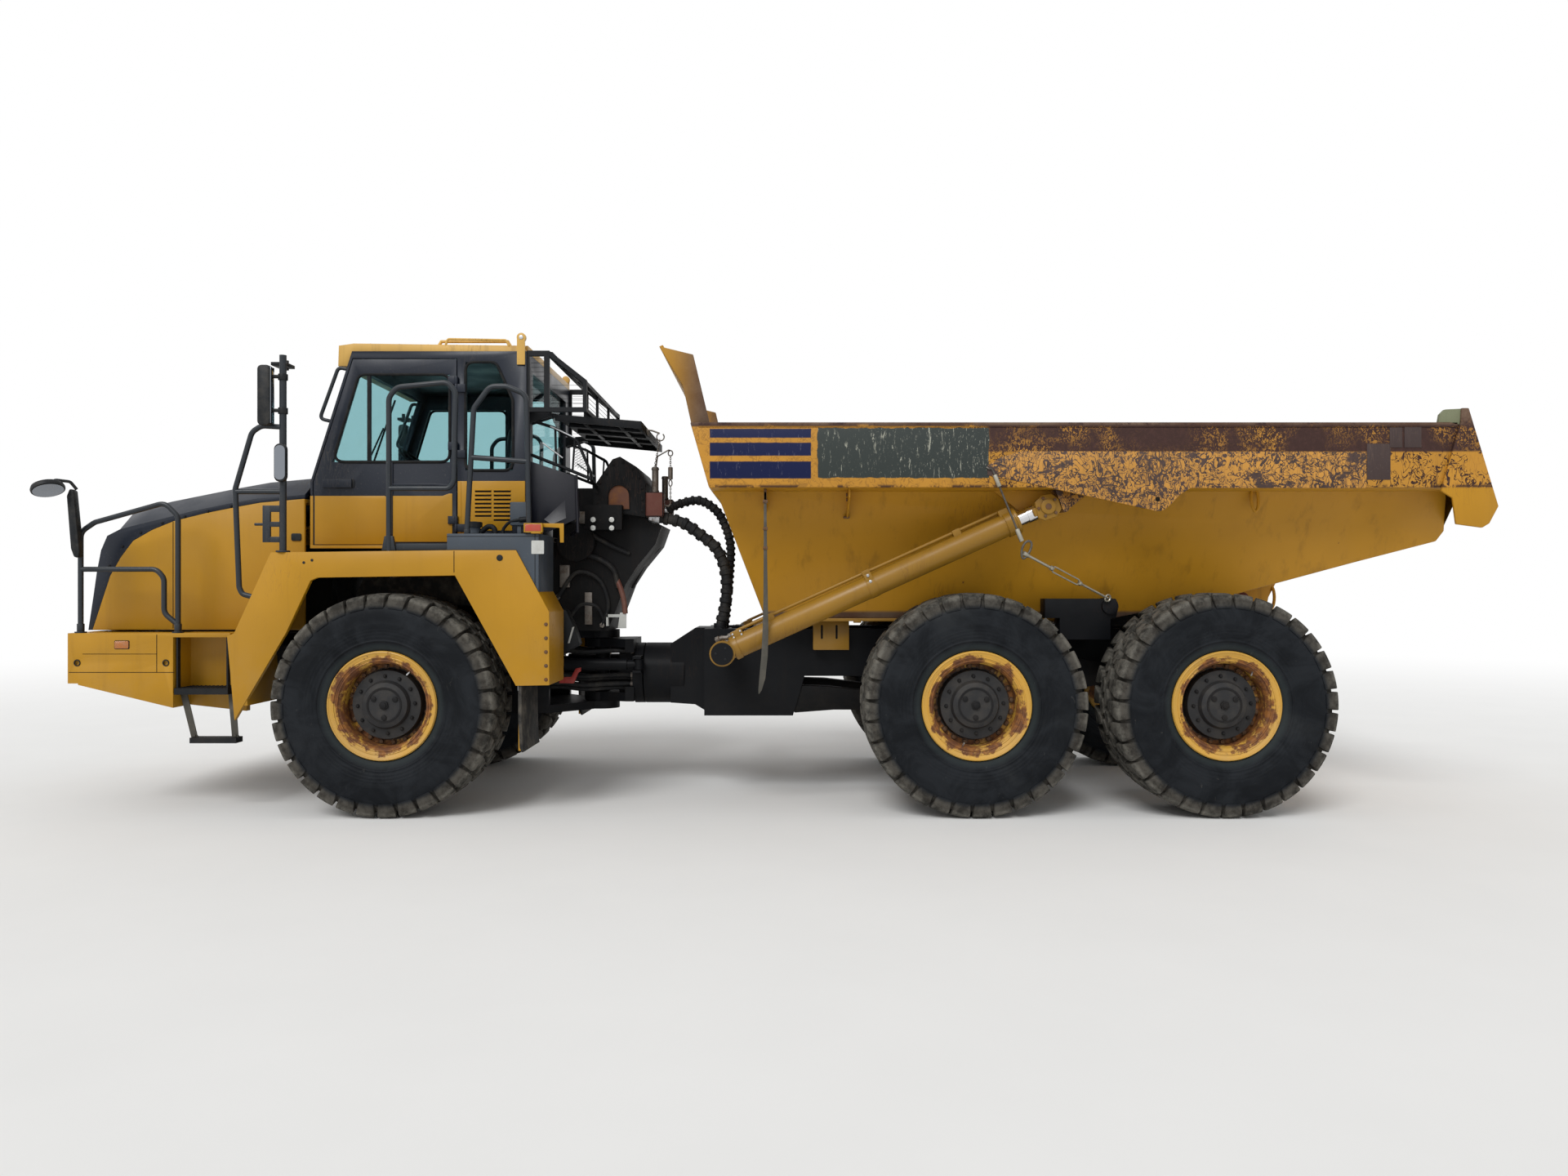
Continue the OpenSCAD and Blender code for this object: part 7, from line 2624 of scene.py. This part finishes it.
@dataclass
class Hoists:
    """Pipe, clamps, end bosses, bearing caps and bolts of the tipping cylinders."""

    foot: Flat = (-0.278, 1.163)
    eye: Flat = (2.060, 2.219)
    y: float = -1.220
    radius: float = 0.084

    def build(self) -> None:
        """Builds the fittings of both cylinders."""
        for side in Side:
            self.barrel(side)
            self.rod(side)

    def place(self, shape: Shape, side: Side) -> Shape:
        """Lays a shape drawn along +X from the foot onto the cylinder of a side."""
        rise = Vector((self.eye[0] - self.foot[0], 0, self.eye[1] - self.foot[1]))
        turn = Matrix.Rotation(-math.atan2(rise.z, rise.x), 4, "Y")
        shape.moved(Matrix.Translation((self.foot[0], self.y, self.foot[1])) @ turn)
        return shape if side is Side.LEFT else shape.moved(Matrix.Diagonal((1, -1, 1, 1)))

    def fit(self, shape: Shape, side: Side, name: str, finish: Finish, half: str = "barrel") -> None:
        """Lays a shape on a cylinder and ends it as a piece of the barrel or the rod."""
        self.place(shape, side).piece(f"hoist_{name}_{side.tag}", finish, f"hoist_{half}_{side.tag}")

    @property
    def length(self) -> float:
        """Distance of the eyes at rest."""
        return math.dist(self.foot, self.eye)

    def barrel(self, side: Side) -> None:
        """Pipe, clamps, port blocks and end collar of one barrel.

        Args:
            side: side of the truck.
        """
        r, end = self.radius, self.length - 0.240
        pipe = Shape()
        pipe.tube(filleted([(0.150, -0.010, r - 0.010), (0.150, -0.010, r + 0.024),
                            (end - 0.060, -0.010, r + 0.024), (end - 0.060, -0.010, r - 0.010)], 0.03),
                  0.0125, 12)
        for x in (0.420, 1.183, 1.900):
            pipe.block((x - 0.030, -0.036, r - 0.012), (x + 0.030, 0.016, r + 0.040), 0.004)
        pipe.lathe([(r - 0.002, 1.150), (r + 0.004, 1.150), (r + 0.004, 1.216), (r - 0.002, 1.216)],
                   (0, 0, 0), ALONG_X, 40, bevel=0.0015)
        pipe.block((1.155, -0.062, 0.020), (1.211, -0.078, 0.096), 0.004)
        pipe.block((0.108, -0.052, r - 0.030), (0.196, 0.032, r + 0.030), 0.006)
        pipe.block((end - 0.098, -0.048, r - 0.030), (end - 0.026, 0.028, r + 0.034), 0.006)
        pipe.lathe([(r - 0.002, end - 0.010), (r + 0.016, end - 0.008), (r + 0.016, end + 0.014),
                    (0.062, end + 0.018), (0.0625, end - 0.010)], (0, 0, 0), ALONG_X, 40, bevel=0.002)
        pipe.lathe([(r - 0.002, 0.082), (r + 0.006, 0.084), (r + 0.006, 0.128), (r - 0.002, 0.130)],
                   (0, 0, 0), ALONG_X, 40, bevel=0.0015)
        self.fit(pipe, side, "pipe", CYLINDER_PAINT)
        bolts = Shape()
        for x, z in ((1.183, 0.082), (1.183, 0.036)):
            bolts.disc((x, -0.078, z), OUT, 0.012, 0.010, 6, 0.002)
        for x in (0.122, 0.182):
            for z in (r + 0.012, r - 0.014):
                bolts.disc((x, -0.052, z), OUT, 0.008, 0.008, 6, 0.001)
        self.fit(bolts, side, "bolts", ZINC)
        fitting = Shape()
        fitting.tube([(0.112, -0.010, r + 0.006), (0.070, -0.010, r + 0.006), (0.040, -0.012, r + 0.020),
                      (0.010, -0.020, r + 0.022)], 0.017, 12)
        fitting.disc((0.086, -0.010, r + 0.006), ALONG_X, 0.024, 0.030, 6, 0.002)
        fitting.disc((-0.006, -0.024, r + 0.022), (1, -0.3, 0), 0.023, 0.030, 6, 0.002)
        self.fit(fitting, side, "fitting", DULL_STEEL)
        cap = Shape()
        cap.disc((0, -0.095, 0), OUT, 0.066, 0.012, 32, 0.003)
        for turn in (0.6, 2.7, 4.8):
            cap.disc((0.046 * math.cos(turn), -0.106, 0.046 * math.sin(turn)), OUT, 0.010, 0.008, 6, 0.001)
        self.fit(cap, side, "foot_cap", DARK_PAINT)

    def rod(self, side: Side) -> None:
        """Yellow bearing cap with its bolts over the rod's eye.

        Args:
            side: side of the truck.
        """
        cap, u = Shape(), self.length
        outline = [(u - 0.098, -0.046), (u - 0.060, -0.084), (u + 0.030, -0.090), (u + 0.084, -0.056),
                   (u + 0.092, 0.022), (u + 0.060, 0.078), (u - 0.010, 0.094), (u - 0.076, 0.068)]
        cap.prism(outline, -0.086, -0.063, bevel=0.008)
        cap.disc((u, -0.085, 0), OUT, 0.054, 0.016, 28, 0.005)
        cap.block((u - 0.112, -0.080, -0.030), (u - 0.080, -0.040, 0.030), 0.005)
        self.fit(cap, side, "eye_cap", CYLINDER_PAINT, "rod")
        bolts = Shape()
        for turn in (0.4, 1.7, 2.9, 4.0, 5.2):
            spot = (u + 0.070 * math.cos(turn), -0.085, 0.070 * math.sin(turn))
            bolts.disc(spot, OUT, 0.012, 0.011, 6, 0.002)
        bolts.disc((u, -0.100, 0), OUT, 0.022, 0.006, 20, 0.002)
        self.fit(bolts, side, "eye_bolts", RUST_BOLT, "rod")


# Stage

@dataclass
class Studio:
    """Pale floor, even light and the camera at the photograph's place."""

    eye: Point = (0.165, -9.14, 1.635)
    lens: float = 25.07
    ground: tuple[Flat, Flat] = ((-60, -40), (60, 70))
    sky: float = 0.62
    sun: float = 1.75
    fade: tuple[float, float] = (7.0, 24.0)

    def build(self) -> None:
        """Builds the floor, the world, the lamps and the camera."""
        self.floor()
        self.world()
        self.lamps()
        self.camera()

    def floor(self) -> None:
        """Pale floor that fades into the white backdrop far from the truck."""
        graph = Graph("studio_floor")
        speck = graph.noise(1.2, 3)
        graph.finish(graph.mix(speck, (0.80, 0.80, 0.79), (0.84, 0.84, 0.83)), 0.9, Specular_IOR_Level=0.1)
        tree = graph.material.node_tree
        output = next(node for node in tree.nodes if node.type == "OUTPUT_MATERIAL")
        near = output.inputs["Surface"].links[0].from_socket
        ray, place = tree.nodes.new("ShaderNodeLightPath"), tree.nodes.new("ShaderNodeNewGeometry")
        far = tree.nodes.new("ShaderNodeVectorMath")
        far.operation = "LENGTH"
        tree.links.new(place.outputs["Position"], far.inputs[0])
        fade = tree.nodes.new("ShaderNodeMapRange")
        fade.interpolation_type = "SMOOTHSTEP"
        tree.links.new(far.outputs["Value"], fade.inputs["Value"])
        fade.inputs["From Min"].default_value, fade.inputs["From Max"].default_value = self.fade
        share = tree.nodes.new("ShaderNodeMath")
        share.operation = "MULTIPLY"
        tree.links.new(fade.outputs["Result"], share.inputs[0])
        tree.links.new(ray.outputs["Is Camera Ray"], share.inputs[1])
        white = tree.nodes.new("ShaderNodeEmission")
        white.inputs["Color"].default_value = (1, 1, 1, 1)
        both = tree.nodes.new("ShaderNodeMixShader")
        tree.links.new(share.outputs[0], both.inputs["Fac"])
        tree.links.new(near, both.inputs[1])
        tree.links.new(white.outputs["Emission"], both.inputs[2])
        tree.links.new(both.outputs["Shader"], output.inputs["Surface"])
        mesh = bpy.data.meshes.new("floor")
        (x0, y0), (x1, y1) = self.ground
        mesh.from_pydata([(x0, y0, 0), (x1, y0, 0), (x1, y1, 0), (x0, y1, 0)], [], [(0, 1, 2, 3)])
        floor = shown(bpy.data.objects.new("floor", mesh))
        floor.data.materials.append(graph.material)

    def world(self) -> None:
        """White background for the eye and for reflections, plain light for the rest."""
        world = bpy.data.worlds.new("studio")
        bpy.context.scene.world = world
        world.use_nodes = True
        tree = world.node_tree
        tree.nodes.clear()
        ray = tree.nodes.new("ShaderNodeLightPath")
        seen: Any = ray.outputs["Is Camera Ray"]
        for name in ("Is Glossy Ray", "Is Transmission Ray"):
            more = tree.nodes.new("ShaderNodeMath")
            more.operation = "MAXIMUM"
            tree.links.new(seen, more.inputs[0])
            tree.links.new(ray.outputs[name], more.inputs[1])
            seen = more.outputs[0]
        level = tree.nodes.new("ShaderNodeMapRange")
        tree.links.new(seen, level.inputs["Value"])
        level.inputs["To Min"].default_value = self.sky
        level.inputs["To Max"].default_value = 1.0
        back = tree.nodes.new("ShaderNodeBackground")
        back.inputs["Color"].default_value = (1, 1, 1, 1)
        tree.links.new(level.outputs["Result"], back.inputs["Strength"])
        out = tree.nodes.new("ShaderNodeOutputWorld")
        tree.links.new(back.outputs[0], out.inputs[0])

    def lamps(self) -> None:
        """One broad soft sun from the front left."""
        data = bpy.data.lights.new("key", "SUN")
        data.energy = self.sun
        data.angle = math.radians(28)
        lamp = shown(bpy.data.objects.new("key", data))
        lamp.rotation_euler = Vector((-0.30, -0.72, 0.72)).to_track_quat("Z", "Y").to_euler()

    def camera(self) -> None:
        """Level camera that looks across the truck's left side."""
        data = bpy.data.cameras.new("camera")
        data.lens = self.lens
        data.sensor_width = 36
        data.clip_end = 400
        camera = shown(bpy.data.objects.new("camera", data))
        camera.location = self.eye
        camera.rotation_euler = (math.pi / 2, 0, 0)
        bpy.context.scene.camera = camera
        bpy.context.scene.view_settings.view_transform = "Standard"


NODE_FINISHES: dict[str, Finish] = {
    "front_frame": FRAME_PAINT, "front_axle": SOOT_PAINT, "bumper": FENDER_PAINT, "ladder": DARK_PAINT,
    "fender_left": FENDER_PAINT, "fender_right": FENDER_PAINT, "deck_tank": GREY_PAINT,
    "battery_box": GREY_PAINT, "cab_shell": CAB_PAINT, "cab_roof": ROOF_PAINT, "cab_glass": GLASS,
    "cab_interior": PLASTIC, "handrails": DARK_PAINT, "mirrors": DARK_PAINT, "window_guard": DARK_PAINT,
    "engine": SOOT_PAINT, "driveline": SOOT_PAINT, "muffler": SOOT_PAINT, "hood": FENDER_PAINT,
    "hood_top": BLACK_PAINT, "grille": DARK_PAINT, "cab_door": CAB_PAINT, "door_glass": GLASS,
    "rear_cover": DARK_PAINT, "hitch": FRAME_PAINT, "rear_frame": FRAME_PAINT, "hoist_tube": FRAME_PAINT,
    "middle_axle": SOOT_PAINT, "rear_axle": SOOT_PAINT, "bogie": SOOT_PAINT, "bed_tub": BED_PAINT,
    "bed_ribs": BED_PAINT, "spill_guard": BED_PAINT, "tail_plates": BED_PAINT,
    "hoist_barrel_left": CYLINDER_PAINT, "hoist_barrel_right": CYLINDER_PAINT,
    "hoist_rod_left": CHROME, "hoist_rod_right": CHROME, "steer_barrel_left": FRAME_PAINT,
    "steer_barrel_right": FRAME_PAINT, "steer_rod_left": CHROME, "steer_rod_right": CHROME,
    "lamps": AMBER, "tail_lamps": RED, "cab_panels": FENDER_PAINT, "frame_guards": FRAME_PAINT,
}
SOFT_EDGES: dict[str, tuple[str, float]] = {
    "bumper": ("tractor", 0.008), "fender_left": ("tractor", 0.006), "fender_right": ("tractor", 0.006),
    "deck_tank": ("tractor", 0.006), "battery_box": ("tractor", 0.006), "cab_roof": ("tractor", 0.014),
    "hood": ("hood", 0.008), "hood_top": ("hood", 0.014), "bed_tub": ("bed", 0.008),
    "tail_plates": ("bed", 0.006), "spill_guard": ("bed", 0.005), "cab_shell": ("tractor", 0.007),
    "cab_door": ("cab_door", 0.005), "rear_cover": ("rear_cover", 0.005), "muffler": ("tractor", 0.010),
    "frame_guards": ("rear_frame", 0.006),
}


def dress_nodes() -> None:
    """Lays its listed finish on each CAD node in the table and rounds the edges of the plate work."""
    for name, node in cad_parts.items():
        finish = NODE_FINISHES.get(name)
        if name in SOFT_EDGES:
            body, width = SOFT_EDGES[name]
            softened(name, body, finish, width)
        if finish is None:
            continue
        coat(node, finish)
        log.info("node %s finished as %s", name, finish.name)


def main() -> None:
    """Builds the scene in order."""
    Studio().build()
    dress_nodes()
    for axle in Axle:
        for side in Side:
            Wheel(axle, side).build()
    for assembly in (Rails(), Mirrors(), Cab(), CabInside(), Lamps(), Front(), Deck(), WindowGuard(),
                     RearHousing(), Hoses(), Underside(), RearCover(), Bed(), Hoists(), RoofRod()):
        assembly.build()


if __name__ == "__main__":
    main()
